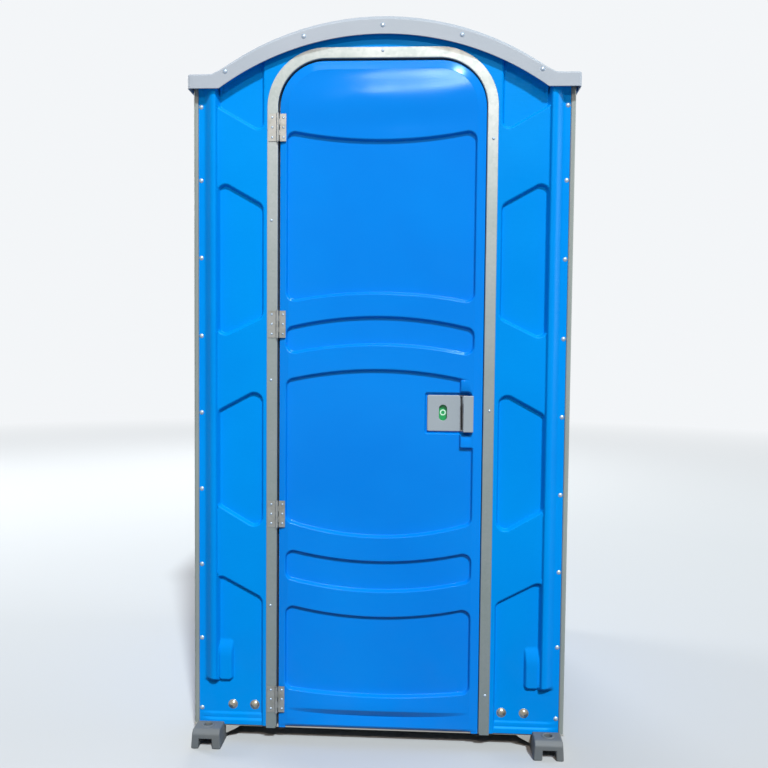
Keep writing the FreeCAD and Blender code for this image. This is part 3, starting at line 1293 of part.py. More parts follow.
def seat_hinge():
    """Posts on the tank with the pin that carries seat and lid."""
    bar = rod((-HINGE_BAR_HALF, SEAT_PIN_Y, SEAT_PIN_Z), (1, 0, 0), SEAT_PIN_R, 2 * HINGE_BAR_HALF)
    posts = []
    for side in (-1, 1):
        x0 = side * HINGE_POST_X - HINGE_POST_W / 2
        posts.append(box(x0, x0 + HINGE_POST_W, SEAT_PIN_Y - 12, SEAT_PIN_Y + 12, TANK_TOP, SEAT_PIN_Z + 2))
        posts.append(rod((x0, SEAT_PIN_Y, SEAT_PIN_Z), (1, 0, 0), EAR_R, HINGE_POST_W))
        posts.append(rod((side * HINGE_BAR_HALF - 3, SEAT_PIN_Y, SEAT_PIN_Z), (1, 0, 0), SEAT_PIN_R + 2, 6))
    return bar.fuse(posts)


def hinge_ears(x, reach_y, z0, z1):
    """Pair of ears that join a seat or lid to its pin."""
    ears = []
    for side in (-1, 1):
        x0 = side * x - EAR_W / 2
        ears.append(rod((x0, SEAT_PIN_Y, SEAT_PIN_Z), (1, 0, 0), EAR_R, EAR_W))
        ears.append(box(x0, x0 + EAR_W, reach_y, SEAT_PIN_Y, z0, z1))
    return ears


def pin_bore():
    """Bore of the ears for the seat's pin."""
    length = 2 * HINGE_BAR_HALF + 40
    return rod((-length / 2, SEAT_PIN_Y, SEAT_PIN_Z), (1, 0, 0), SEAT_PIN_R + RUNNING, length)


def toilet_seat():
    """Oval seat ring with a sloped inner edge and two ears on the pin."""
    z0 = TANK_TOP + FIT
    ring = oval_block(SEAT_HALF_X, SEAT_HALF_Y, SEAT_Y, z0, z0 + SEAT_T)
    low = oval(SEAT_HOLE_X - 8, SEAT_HOLE_Y - 8, SEAT_Y, plan, z0 - 1)
    high = oval(SEAT_HOLE_X + 12, SEAT_HOLE_Y + 12, SEAT_Y, plan, z0 + SEAT_T + 1)
    ring = ring.makeFillet(5.0, [e for e in ring.Edges if abs(e.CenterOfMass.z - z0 - SEAT_T) < 0.5])
    ring = ring.cut(Part.makeLoft([low, high], True, True))
    seat = ring.fuse(hinge_ears(SEAT_EAR_X, SEAT_Y + 140, z0 + 3, z0 + SEAT_T - 2))
    return seat.cut(pin_bore())


def seat_lid():
    """Lid, drawn closed over the seat and then swung up to lean behind its pin."""
    z0 = TANK_TOP + FIT + SEAT_T + 1.0
    plate = oval_block(SEAT_HALF_X, SEAT_HALF_Y, SEAT_Y, z0, z0 + LID_T)
    plate = plate.makeFillet(4.0, [e for e in plate.Edges if abs(e.CenterOfMass.z - z0 - LID_T) < 0.5])
    lid = plate.fuse(hinge_ears(LID_EAR_X, SEAT_Y + 150, z0, z0 + LID_T)).cut(pin_bore())
    lid.rotate(V(0, SEAT_PIN_Y, SEAT_PIN_Z), V(-1, 0, 0), LID_OPEN)
    return lid


def vent_top():
    """Height of the vent pipe's end above the sloped roof."""
    return arc_height(VENT_X, ROOF_FLAT_X, ROOF_FLAT_Z, ROOF_MID_APEX) + VENT_ABOVE


def vent_pipe():
    """Pipe from the tank's deck through the roof."""
    z0 = TANK_TOP - TANK_T
    outer = rod((VENT_X, VENT_Y, z0), (0, 0, 1), VENT_R, vent_top() - z0)
    return outer.cut(rod((VENT_X, VENT_Y, z0 - 1), (0, 0, 1), VENT_R - VENT_WALL, vent_top() - z0 + 2))


def vent_cap():
    """Rain cap on three posts over the end of the pipe, with a collar round the pipe."""
    top = vent_top()
    collar = rod((VENT_X, VENT_Y, top - COLLAR_H), (0, 0, 1), VENT_R + COLLAR_T, COLLAR_H)
    bore_foot = (VENT_X, VENT_Y, top - COLLAR_H - 4)
    collar = collar.cut(rod(bore_foot, (0, 0, 1), VENT_R + HOLE_GAP, COLLAR_H + 14))
    pieces = []
    for i in range(3):
        angle = 2 * pi * i / 3
        reach = VENT_R + COLLAR_T / 2
        foot = (VENT_X + reach * cos(angle), VENT_Y + reach * sin(angle), top - 4)
        pieces.append(rod(foot, (0, 0, 1), CAP_POST_R, CAP_RISE + 4))
    ball_r = arc_radius(CAP_R, CAP_RISE)
    ball = Part.makeSphere(ball_r, V(VENT_X, VENT_Y, top + 2 * CAP_RISE - ball_r))
    pieces.append(ball.common(rod((VENT_X, VENT_Y, top + CAP_RISE - 2), (0, 0, 1), CAP_R, 2 * CAP_RISE)))
    return collar.fuse(pieces)


# Urinal and paper

def urinal_section(reach, half):
    """Level outline of the bowl against the wall."""
    wall = SIDE_X - SHEET - FIT
    corner = min(half, reach) * 0.45
    return [(-wall, URINAL_Y - half, 0, 0), (-wall + reach, URINAL_Y - half, corner, 0),
            (-wall + reach, URINAL_Y + half, corner, 0), (-wall, URINAL_Y + half, 0, 0)]


def urinal():
    """Wall bowl with a splash back and a drain spout below."""
    wall = SIDE_X - SHEET - FIT
    low = urinal_section(URINAL_OUT * URINAL_NARROW, URINAL_HALF * URINAL_NARROW)
    high = urinal_section(URINAL_OUT, URINAL_HALF)
    outer = Part.makeLoft([wire(low, plan, URINAL_Z0), wire(high, plan, URINAL_Z1)], True, True)
    inner_low, inner_high = grown(low, -URINAL_T), grown(high, -URINAL_T)
    inner_wires = [wire(inner_low, plan, URINAL_Z0 + URINAL_T), wire(inner_high, plan, URINAL_Z1 + 0.5)]
    inner = Part.makeLoft(inner_wires, True, True)
    back = prism(rectangle(URINAL_Y - URINAL_HALF, URINAL_Y + URINAL_HALF, URINAL_Z1 - 20, URINAL_BACK, 18.0),
                 across_left, wall - URINAL_T, wall)
    spout = rod((-drain_x(), URINAL_Y, URINAL_Z0 - 24), (0, 0, 1), DRAIN_R - DRAIN_WALL - HOLE_GAP, 30)
    bore = rod((-drain_x(), URINAL_Y, URINAL_Z0 - 30), (0, 0, 1), DRAIN_R - 2 * DRAIN_WALL - 1, 50)
    return outer.fuse([back, spout]).cut([inner, bore])


def urinal_drain():
    """Pipe from the bowl's spout down and back into the tank."""
    x = -drain_x()
    top = URINAL_Z0 - 2
    run_end = TANK_Y0 + 45
    start = V(x, URINAL_Y, top)
    bend0 = V(x, URINAL_Y, DRAIN_Z + DRAIN_BEND)
    bend1 = V(x, URINAL_Y + DRAIN_BEND, DRAIN_Z)
    middle = V(x, URINAL_Y + DRAIN_BEND * (1 - cos(pi / 4)), DRAIN_Z + DRAIN_BEND * (1 - sin(pi / 4)))
    path = Part.Wire([Part.LineSegment(start, bend0).toShape(), Part.Arc(bend0, middle, bend1).toShape(),
                      Part.LineSegment(bend1, V(x, run_end, DRAIN_Z)).toShape()])
    shapes = []
    for radius in (DRAIN_R, DRAIN_R - DRAIN_WALL):
        ring = Part.Wire([Part.Circle(start, V(0, 0, -1), radius).toShape()])
        shapes.append(path.makePipeShell([ring], True, True))
    return shapes[0].cut(shapes[1])


def roll_centres():
    """Places of the rolls along the spindle."""
    step = ROLL_W + ROLL_GAP
    return [ROLL_Y - step / 2, ROLL_Y + step / 2]


def paper_holder():
    """Wall bracket with two arms and the spindle between them."""
    wall = SIDE_X - SHEET
    reach = ROLL_W + ROLL_GAP * 1.5
    y0, y1 = ROLL_Y - reach, ROLL_Y + reach
    low, high = ROLL_Z - HOLDER_HALF, ROLL_Z + HOLDER_HALF
    plate = box(wall - HOLDER_T, wall, y0 - HOLDER_T, y1 + HOLDER_T, low, high)
    arms = []
    for y in (y0 - HOLDER_T, y1):
        outline = rectangle(ROLL_X - ARM_HALF, wall - 1, ROLL_Z - ARM_HALF, ROLL_Z + ARM_HALF, ARM_HALF - 2)
        arms.append(prism(outline, front, -y, -y - HOLDER_T))
    spindle = rod((ROLL_X, y0 - HOLDER_T, ROLL_Z), (0, 1, 0), CORE_R - RUNNING, y1 - y0 + 2 * HOLDER_T)
    return plate.fuse(arms + [spindle])


def paper_roll(centre):
    """Roll of paper on its core."""
    roll = rod((ROLL_X, centre - ROLL_W / 2, ROLL_Z), (0, 1, 0), ROLL_R, ROLL_W)
    return roll.cut(rod((ROLL_X, centre - ROLL_W, ROLL_Z), (0, 1, 0), CORE_R, 2 * ROLL_W))


# Door spring

def anchor_places():
    """Rivets of the spring's anchor on the wall."""
    return [(SPRING_X0 - ANCHOR_RIVET_X, SPRING_Z + way * ANCHOR_RIVET_Z) for way in (-1, 1)]


def door_anchor_places():
    """Rivets of the spring's anchor on the door."""
    return [(SPRING_X1 + ANCHOR_RIVET_X, SPRING_Z + way * ANCHOR_RIVET_Z) for way in (-1, 1)]


def spring_anchor(face_y, x, way, places):
    """Bent bracket: a flat on its wall and a tongue that holds the spring's end."""
    flat_x0, flat_x1 = sorted((x, x + way * 2 * ANCHOR_RIVET_X))
    tongue_x0, tongue_x1 = sorted((x, x + way * ANCHOR_T))
    flat = box(flat_x0, flat_x1, face_y, face_y + ANCHOR_T, SPRING_Z - 16, SPRING_Z + 16)
    tongue = box(tongue_x0, tongue_x1, face_y, SPRING_Y + 8, SPRING_Z - 10, SPRING_Z + 10)
    drills = [hole((rx, face_y, rz), (0, 1, 0), RIVET_SHANK_R + HOLE_GAP, 10) for rx, rz in places]
    return flat.fuse(tongue).cut(drills)


def anchor_rivets(face_y, places, grip, tailed):
    """Rivets of one anchor, their heads inside the cabin."""
    y = face_y + ANCHOR_T
    return group([dome_rivet((x, y, z), (0, 1, 0), LEAF_RIVET_R, RIVET_SHANK_R, ANCHOR_T + grip, tailed)
                  for x, z in places])


def tangent_arc(start, corner, end):
    """Arc between two points that touches both lines through their corner point."""
    chord_middle = (start + end) / 2
    half_chord = (end - start).Length / 2
    half_angle = atan2((corner - chord_middle).Length, half_chord)
    away = (corner - chord_middle).normalize()
    return Part.Arc(start, chord_middle + away * half_chord * tan(half_angle / 2), end).toShape()


def biarc(start, start_way, end, end_way):
    """Two arcs that join two points with the given unit tangents."""
    span = end - start
    total = start_way + end_way
    closing = 2 * (1 - start_way.dot(end_way))
    reach = (-span.dot(total) + sqrt(span.dot(total) ** 2 + closing * span.dot(span))) / closing
    first, last = start + start_way * reach, end - end_way * reach
    joint = (first + last) / 2
    return [tangent_arc(start, first, joint), tangent_arc(joint, last, end)]


def coil_ends():
    """Where the spring's coil starts and ends along its line."""
    coil = SPRING_TURNS * SPRING_PITCH
    middle = (SPRING_X0 + SPRING_X1) / 2
    return middle - coil / 2, middle + coil / 2


def least_gap(points):
    """Least gap of the coil's wire to itself, measured on its points a turn or more apart."""
    turn = 4
    gaps = [(points[i] - points[j]).Length for i in range(len(points)) for j in range(i + turn, len(points))]
    return round(min(gaps) - 2 * WIRE_R, 2)


def door_spring():
    """Extension spring: an unbroken wire of close curls with a straight lead at each end."""
    x0, x1 = coil_ends()
    quarters = SPRING_TURNS * 4
    points, ways = [], []
    for i in range(quarters + 1):
        angle = pi * i / 2
        x = x0 + (x1 - x0) * i / quarters
        points.append(V(x, SPRING_Y + SPRING_R * cos(angle), SPRING_Z + SPRING_R * sin(angle)))
        ways.append(V(SPRING_PITCH / (2 * pi), -SPRING_R * sin(angle), SPRING_R * cos(angle)).normalize())
    edges = []
    for i in range(quarters):
        edges += biarc(points[i], ways[i], points[i + 1], ways[i + 1])
    path = Part.Wire(edges)
    start = Part.Wire([Part.Circle(points[0], ways[0], WIRE_R).toShape()])
    coil = path.makePipeShell([start], True, False)
    lead = WIRE_R * 0.8
    start_x, end_x = SPRING_X0 + FIT, SPRING_X1 - FIT
    line_y = SPRING_Y + SPRING_R
    ends = [rod((start_x, line_y, SPRING_Z), (1, 0, 0), WIRE_R, x0 + lead - start_x),
            rod((x1 - lead, line_y, SPRING_Z), (1, 0, 0), WIRE_R, end_x - x1 + lead)]
    ratio = coil.Volume / (pi * WIRE_R ** 2 * path.Length)
    print("spring: least gap between curls", least_gap(points))
    print("spring: volume to section times length", round(ratio, 4))
    return coil.fuse(ends)


def nodes():
    """Every node by name, built in order."""
    yield "skid_left", skid(-1)
    yield "skid_right", skid(1)
    yield "skid_gussets", skid_gussets()
    yield "cross_rails", cross_rails()
    yield "skid_bolts", skid_bolts()
    yield "floor_pan", floor_pan()
    yield "front_panel", front_panel()
    yield "rear_panel", rear_panel()
    yield "side_panel_left", side_wall(-1)
    yield "side_panel_right", side_wall(1)
    for x_name, sx in (("left", -1), ("right", 1)):
        for y_name, sy in (("front", -1), ("rear", 1)):
            yield f"corner_strip_{y_name}_{x_name}", corner_strip(sx, sy)
    yield "front_rivets", wall_rivets("front")
    yield "rear_rivets", wall_rivets("rear")
    yield "side_rivets", side_rivets()
    yield "carriage_bolts", carriage_bolts()
    yield "vent_screen_left", vent_screen(-1)
    yield "vent_screen_right", vent_screen(1)
    yield "jamb_trim", jamb_trim()
    yield "jamb_screws", jamb_screws()
    yield "jamb_stop", jamb_stop()
    yield "strike_plate", strike_plate()
    yield "roof_shell", roof_shell()
    yield "roof_rivets", roof_rivets()
    yield "door_body", door_body()
    yield "door_liner", door_liner()
    for number, z in enumerate(HINGE_Z, 1):
        yield f"hinge_frame_leaf_{number}", hinge_leaf(z, True)
        yield f"hinge_door_leaf_{number}", hinge_leaf(z, False)
    yield "hinge_pins", hinge_pins()
    yield "hinge_frame_rivets", frame_hinge_rivets()
    yield "hinge_door_rivets", door_hinge_rivets()
    yield "latch_plate", latch_plate()
    yield "latch_pull", latch_pull()
    yield "latch_cover", latch_cover()
    yield "latch_bolt", latch_bolt()
    yield "indicator_slide", indicator_slide()
    yield "waste_tank", waste_tank()
    yield "seat_hinge", seat_hinge()
    yield "toilet_seat", toilet_seat()
    yield "seat_lid", seat_lid()
    yield "vent_pipe", vent_pipe()
    yield "vent_cap", vent_cap()
    yield "urinal", urinal()
    yield "urinal_drain", urinal_drain()
    yield "paper_holder", paper_holder()
    for number, centre in enumerate(roll_centres(), 1):
        yield f"paper_roll_{number}", paper_roll(centre)
    yield "spring_anchor_wall", spring_anchor(FRONT_Y + SHEET, SPRING_X0, -1, anchor_places())
    yield "spring_anchor_door", spring_anchor(DOOR_Y1, SPRING_X1, 1, door_anchor_places())
    yield "anchor_rivets_wall", anchor_rivets(FRONT_Y + SHEET, anchor_places(), SHEET - 2 * BLIND, False)
    yield "anchor_rivets_door", anchor_rivets(DOOR_Y1, door_anchor_places(), LINER_T, True)
    yield "door_spring", door_spring()


def main():
    """Build and write every node."""
    os.makedirs(PARTS, exist_ok=True)
    for name, shape in nodes():
        solids = shape.Solids
        sound = shape.isValid() and all(solid.Volume > 0 for solid in solids)
        shape.exportStep(f"{PARTS}/{name}.step")
        print(f"{name:26s} solids {len(solids):3d} volume {shape.Volume / 1000:10.1f} cm3 sound {sound}")


main()
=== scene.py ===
"""Portable toilet cabin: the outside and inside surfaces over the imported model.

Lengths in the classes are millimetres, those of the stage metres. Meshes are written in metres, in the
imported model's own frame.
"""
import logging
import math
from dataclasses import dataclass, field
from enum import Enum
from typing import Callable, Sequence

import bmesh
import bpy
import numpy as np
from mathutils import Matrix, Vector
from mathutils.geometry import delaunay_2d_cdt


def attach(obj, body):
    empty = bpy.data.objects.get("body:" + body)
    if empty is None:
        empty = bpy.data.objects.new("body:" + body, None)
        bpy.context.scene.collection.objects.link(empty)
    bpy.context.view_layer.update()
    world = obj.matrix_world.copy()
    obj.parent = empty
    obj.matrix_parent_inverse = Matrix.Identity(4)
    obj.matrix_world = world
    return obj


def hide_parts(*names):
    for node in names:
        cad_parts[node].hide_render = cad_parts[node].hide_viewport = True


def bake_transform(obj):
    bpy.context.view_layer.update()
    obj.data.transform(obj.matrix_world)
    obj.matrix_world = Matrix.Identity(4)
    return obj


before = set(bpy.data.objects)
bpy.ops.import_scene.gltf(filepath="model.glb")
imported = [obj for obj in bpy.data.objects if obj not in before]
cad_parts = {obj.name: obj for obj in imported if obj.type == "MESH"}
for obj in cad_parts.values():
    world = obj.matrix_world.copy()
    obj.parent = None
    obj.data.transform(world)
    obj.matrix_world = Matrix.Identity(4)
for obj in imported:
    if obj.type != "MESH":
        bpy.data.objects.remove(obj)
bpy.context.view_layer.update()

MM = 0.001
SOFT_CORNER = 0.9
Array = np.ndarray
Height = Callable[[Array], Array]
Pair = tuple[float, float]
Triple = tuple[float, float, float]
Four = tuple[float, float, float, float]
Material = bpy.types.Material
Piece = bpy.types.Object
Socket = bpy.types.NodeSocket
log = logging.getLogger("cabin")


# Outlines

@dataclass(frozen=True)
class Corner:
    """Corner of an outline: its place, its rounding and the rise of the edge that follows it."""

    u: float
    v: float
    radius: float = 0.0
    rise: float = 0.0


def arc(first: Array, crown: Array, last: Array, step: float) -> list[Array]:
    """Points of a circular arc.

    Args:
        first: start of the arc.
        crown: a point that the arc passes.
        last: end of the arc.
        step: longest turn between two points, in degrees.

    Returns:
        The points from start to end, both included.
    """
    ax, ay = first
    bx, by = crown
    cx, cy = last
    span = 2 * (ax * (by - cy) + bx * (cy - ay) + cx * (ay - by))
    if abs(span) < 1e-6:
        return [np.array(first), np.array(last)]
    a2, b2, c2 = ax * ax + ay * ay, bx * bx + by * by, cx * cx + cy * cy
    ox = (a2 * (by - cy) + b2 * (cy - ay) + c2 * (ay - by)) / span
    oy = (a2 * (cx - bx) + b2 * (ax - cx) + c2 * (bx - ax)) / span
    radius = math.hypot(ax - ox, ay - oy)
    start = math.atan2(ay - oy, ax - ox)
    through = (math.atan2(by - oy, bx - ox) - start) % (2 * math.pi)
    turn = (math.atan2(cy - oy, cx - ox) - start) % (2 * math.pi)
    if through > turn:
        turn -= 2 * math.pi
    count = max(2, math.ceil(abs(math.degrees(turn)) / step))
    angles = [start + turn * i / count for i in range(count + 1)]
    return [np.array((ox + radius * math.cos(a), oy + radius * math.sin(a))) for a in angles]


def between(first: Array, last: Array, step: float) -> list[Array]:
    """Points of a straight run, both ends included, at most step apart."""
    count = max(1, math.ceil(float(np.linalg.norm(np.subtract(last, first))) / step))
    return [np.array(first) + (np.array(last) - np.array(first)) * i / count for i in range(count + 1)]


def outline(corners: Sequence[Corner], turn: float = 7.5, run: float = 45.0) -> Array:
    """Closed outline with rounded corners and bowed edges.

    Args:
        corners: the corners, counter-clockwise.
        turn: longest turn between two points of an arc, in degrees.
        run: longest straight stretch between two points.

    Returns:
        The outline's points, counter-clockwise, without a repeated first point.
    """
    count = len(corners)
    rounds: list[list[Array]] = []
    for i, here in enumerate(corners):
        before, after = corners[i - 1], corners[(i + 1) % count]
        back = math.atan2(before.v - here.v, before.u - here.u)
        ahead = math.atan2(after.v - here.v, after.u - here.u)
        back += 2 * math.atan2(2 * before.rise, math.hypot(before.u - here.u, before.v - here.v))
        ahead -= 2 * math.atan2(2 * here.rise, math.hypot(after.u - here.u, after.v - here.v))
        opening = abs((ahead - back + math.pi) % (2 * math.pi) - math.pi)
        place = np.array((here.u, here.v))
        if here.radius <= 0:
            rounds.append([place])
            continue
        cut = here.radius / math.tan(opening / 2)
        half = math.atan2(math.sin(back) + math.sin(ahead), math.cos(back) + math.cos(ahead))
        away = here.radius / math.sin(opening / 2) - here.radius
        ends = [place + cut * np.array((math.cos(a), math.sin(a))) for a in (back, ahead)]
        crown = place + away * np.array((math.cos(half), math.sin(half)))
        rounds.append(arc(ends[0], crown, ends[1], turn))
    points: list[Array] = []
    for i, here in enumerate(corners):
        after = corners[(i + 1) % count]
        points += rounds[i]
        first, last = rounds[i][-1], rounds[(i + 1) % count][0]
        if here.rise == 0:
            points += between(first, last, run)[1:-1]
            continue
        along = np.array((after.u - here.u, after.v - here.v))
        side = np.array((along[1], -along[0])) / np.linalg.norm(along)
        crown = np.array((here.u + after.u, here.v + after.v)) / 2 + side * here.rise
        points += arc(first, crown, last, min(turn, 1.5))[1:-1]
    return np.array(points)


def rounded(u0: float, u1: float, v0: float, v1: float, radius: float, **steps: float) -> Array:
    """Outline of a rectangle with equally rounded corners."""
    places = ((u0, v0), (u1, v0), (u1, v1), (u0, v1))
    return outline([Corner(u, v, radius) for u, v in places], **steps)


def stacked(half: float, levels: Sequence[Pair], radius: float) -> list[Array]:
    """Outlines of rounded fields over one another, all of one width."""
    return [rounded(-half, half, low, high, radius) for low, high in levels]


def circle(u: float, v: float, radius: float, count: int = 32) -> Array:
    """Outline of a circle."""
    angles = np.linspace(0, 2 * math.pi, count, endpoint=False)
    return np.stack([u + radius * np.cos(angles), v + radius * np.sin(angles)], axis=1)


def outward(loop: Array, closed: bool = True) -> Array:
    """Ways out of a line at its points.

    Args:
        loop: the line, counter-clockwise where it is closed.
        closed: whether its last point joins its first.

    Returns:
        One unit normal for each point.
    """
    ahead = unit(np.roll(loop, -1, axis=0) - loop)
    back = np.roll(ahead, 1, axis=0)
    if not closed:
        ahead[-1] = ahead[-2]
        back[0] = ahead[0]
    along = unit(ahead + back)
    return np.stack([along[:, 1], -along[:, 0]], axis=1)


def grown(loop: Array, distance: float) -> Array:
    """Outline moved outward by a distance."""
    return loop + outward(loop) * distance


def mirrored(loop: Array) -> Array:
    """Outline's mirror image across the middle, counter-clockwise again."""
    return (loop * (-1, 1))[::-1]


def unit(rows: Array) -> Array:
    """Rows scaled to a length of one."""
    return rows / (np.linalg.norm(rows, axis=1, keepdims=True) + 1e-12)


def inside(loop: Array, points: Array) -> Array:
    """Whether points lie in a loop.

    Args:
        loop: closed outline.
        points: places to test.

    Returns:
        One truth value for each place.
    """
    hit = np.zeros(len(points), bool)
    x, y = points[:, 0], points[:, 1]
    for (ax, ay), (bx, by) in zip(loop, np.roll(loop, -1, axis=0)):
        if ay == by:
            continue
        crosses = (ay > y) != (by > y)
        hit ^= crosses & (x < (bx - ax) * (y - ay) / (by - ay) + ax)
    return hit


def distance(loop: Array, points: Array, reach: float = 60.0) -> Array:
    """Distance of points from an outline, negative inside.

    Args:
        loop: closed outline.
        points: places to measure.
        reach: places further outside than this all get this distance.

    Returns:
        One distance for each place.
    """
    low, high = loop.min(axis=0) - reach, loop.max(axis=0) + reach
    near = np.all((points > low) & (points < high), axis=1)
    result = np.full(len(points), reach)
    picked = points[near]
    best = np.full(len(picked), 1e12)
    for a, b in zip(loop, np.roll(loop, -1, axis=0)):
        way = b - a
        offset = picked - a
        share = np.clip(offset @ way / max(float(way @ way), 1e-12), 0, 1)
        gap = offset - share[:, None] * way
        best = np.minimum(best, np.einsum("ij,ij->i", gap, gap))
    best = np.sqrt(best)
    best[inside(loop, picked)] *= -1
    result[near] = np.minimum(best, reach)
    return result


def softer(first: Array, second: Array, blend: float, lowest: bool = False) -> Array:
    """Higher of two heights, with the crease between them rounded over.

    Args:
        first: heights.
        second: other heights of the same places.
        blend: height over which the crease is rounded.
        lowest: whether it is the lower of the two that counts.

    Returns:
        One height for each place.
    """
    sign = -1.0 if lowest else 1.0
    lap = np.maximum(blend - np.abs(first - second), 0)
    return sign * (np.maximum(sign * first, sign * second) + lap * lap / (4 * blend))


@dataclass(frozen=True)
class Wall:
    """Section of a moulded wall: rounded foot, drafted face and rounded lip."""

    height: float
    draft: float
    foot: float
    lip: float

    def lean(self) -> float:
        """Angle of the face from the flat."""
        return math.atan2(self.height, self.draft)

    def ends(self) -> Pair:
        """How far the roundings of foot and lip reach past the sharp section."""
        turn = math.tan(self.lean() / 2)
        return self.foot * turn, self.lip * turn

    def rise(self, s: Array) -> Array:
        """Height of the section.

        Args:
            s: distances from the sharp foot towards the lip.

        Returns:
            Heights above the foot's level.
        """
        lean = self.lean()
        foot_t, lip_t = self.ends()
        face = np.asarray(s) * self.height / self.draft
        low = self.foot - np.sqrt(np.maximum(self.foot**2 - (s + foot_t) ** 2, 0))
        high = self.height - self.lip
        high = high + np.sqrt(np.maximum(self.lip**2 - (self.draft + lip_t - s) ** 2, 0))
        h = np.where(s < foot_t * math.cos(lean), low, face)
        h = np.where(s > self.draft - lip_t * math.cos(lean), high, h)
        h = np.where(s < -foot_t, 0.0, h)
        return np.where(s > self.draft + lip_t, self.height, h)

    def stations(self) -> list[float]:
        """Distances at which a mesh follows the section.

        Returns:
            Distances from the sharp foot towards the lip, in rising order.
        """
        foot_t, lip_t = self.ends()
        turns = [math.sin(self.lean() * share) for share in (0.0, 0.2, 0.4, 0.6, 0.8, 1.0)]
        foot = [-foot_t + self.foot * turn for turn in turns]
        lip = [self.draft + lip_t - self.lip * turn for turn in turns]
        return foot + lip[::-1]


def contours(wall: Wall, loops: Sequence[Array], way: int = 1) -> list[Array]:
    """Lines along a moulded wall that climbs outward from each loop, or inward where the way is -1."""
    return [grown(loop, way * s) for loop in loops for s in wall.stations()]


# Meshes

@dataclass(frozen=True)
class Plane:
    """Drawing plane in space: its origin, its two directions and the way out of it."""

    origin: Triple
    u: Triple
    v: Triple
    out: Triple

    def points(self, flat: Array, height: Array | float) -> Array:
        """Places in space of points of the plane at heights over it."""
        return np.array(self.origin) + self.ways(flat, height)

    def ways(self, flat: Array, height: Array | float) -> Array:
        """Directions in space of directions of the plane."""
        lift = np.broadcast_to(np.asarray(height, float), (len(flat),))
        return flat[:, :1] * self.u + flat[:, 1:] * self.v + lift[:, None] * self.out


def front_plane(y: float) -> Plane:
    """Plane seen from the front."""
    return Plane((0, y, 0), (1, 0, 0), (0, 0, 1), (0, -1, 0))


def rear_plane(y: float) -> Plane:
    """Plane seen from behind."""
    return Plane((0, y, 0), (-1, 0, 0), (0, 0, 1), (0, 1, 0))


def side_plane(x: float) -> Plane:
    """Plane of a side wall, seen from outside."""
    way = 1 if x > 0 else -1
    return Plane((x, 0, 0), (0, way, 0), (0, 0, 1), (way, 0, 0))


def level_plane(z: float) -> Plane:
    """Plane seen from above."""
    return Plane((0, 0, z), (1, 0, 0), (0, 1, 0), (0, 0, 1))


def mesh_of(name: str, points: Array, faces: Sequence[Sequence[int]]) -> bpy.types.Mesh:
    """Bare mesh.

    Args:
        name: its name.
        points: places in millimetres.
        faces: rows of indices into the places.

    Returns:
        The mesh, in metres.
    """
    mesh = bpy.data.meshes.new(name)
    mesh.from_pydata((points * MM).tolist(), [], faces)
    return mesh


def linked(name: str, data: bpy.types.ID) -> Piece:
    """Adds an object to the scene.

    Args:
        name: its name.
        data: its mesh, lamp or camera.

    Returns:
        The object.
    """
    piece = bpy.data.objects.new(name, data)
    bpy.context.scene.collection.objects.link(piece)
    return piece


@dataclass
class Shell:
    """Mesh in the making: points and normals in millimetres, and faces."""

    points: list[Array] = field(default_factory=list)
    normals: list[Array] = field(default_factory=list)
    faces: list[Array] = field(default_factory=list)
    count: int = 0

    def add(self, points: Array, normals: Array, faces: Array) -> None:
        """Adds a patch, its faces turned to agree with its normals.

        Args:
            points: places in space.
            normals: one normal for each place.
            faces: rows of three or four indices into the places.
        """
        if len(faces) == 0:
            return
        faces = np.asarray(faces, int)
        a, b, c = points[faces[:, 0]], points[faces[:, 1]], points[faces[:, -1]]
        if faces.shape[1] == 4:
            a, b, c = np.zeros_like(a), points[faces[:, 2]] - a, points[faces[:, 3]] - points[faces[:, 1]]
        facing = np.einsum("ij,ij->i", np.cross(b - a, c - a), normals[faces].mean(axis=1))
        faces[facing < 0] = faces[facing < 0][:, ::-1]
        self.points.append(points)
        self.normals.append(normals)
        self.faces.append(faces + self.count)
        self.count += len(points)

    def skin(self, rings: Sequence[Array], normals: Sequence[Array], closed: bool = True) -> None:
        """Adds the skin over a row of rings.

        Args:
            rings: rings of places, equally many in each.
            normals: the rings' normals.
            closed: whether each ring closes on itself.
        """
        wide, high = len(rings[0]), len(rings)
        run = wide if closed else wide - 1
        i = np.arange(run)
        rows = [np.stack([j * wide + i, j * wide + (i + 1) % wide,
                          (j + 1) * wide + (i + 1) % wide, (j + 1) * wide + i], axis=1)
                for j in range(high - 1)]
        self.add(np.concatenate(rings), np.concatenate(normals), np.concatenate(rows))

    def mesh(self, name: str) -> bpy.types.Mesh:
        """Bare mesh of all patches."""
        faces = [row for rows in self.faces for row in rows.tolist()]
        return mesh_of(name, np.concatenate(self.points), faces)

    def make(self, name: str, finish: Material) -> Piece:
        """Writes the mesh into the scene.

        Args:
            name: the piece's name.
            finish: its material.

        Returns:
            The new object.
        """
        mesh = self.mesh(name)
        mesh.polygons.foreach_set("use_smooth", [True] * len(mesh.polygons))
        mesh.update()
        mesh.normals_split_custom_set_from_vertices(unit(np.concatenate(self.normals)).tolist())
        mesh.materials.append(finish)
        return linked(name, mesh)


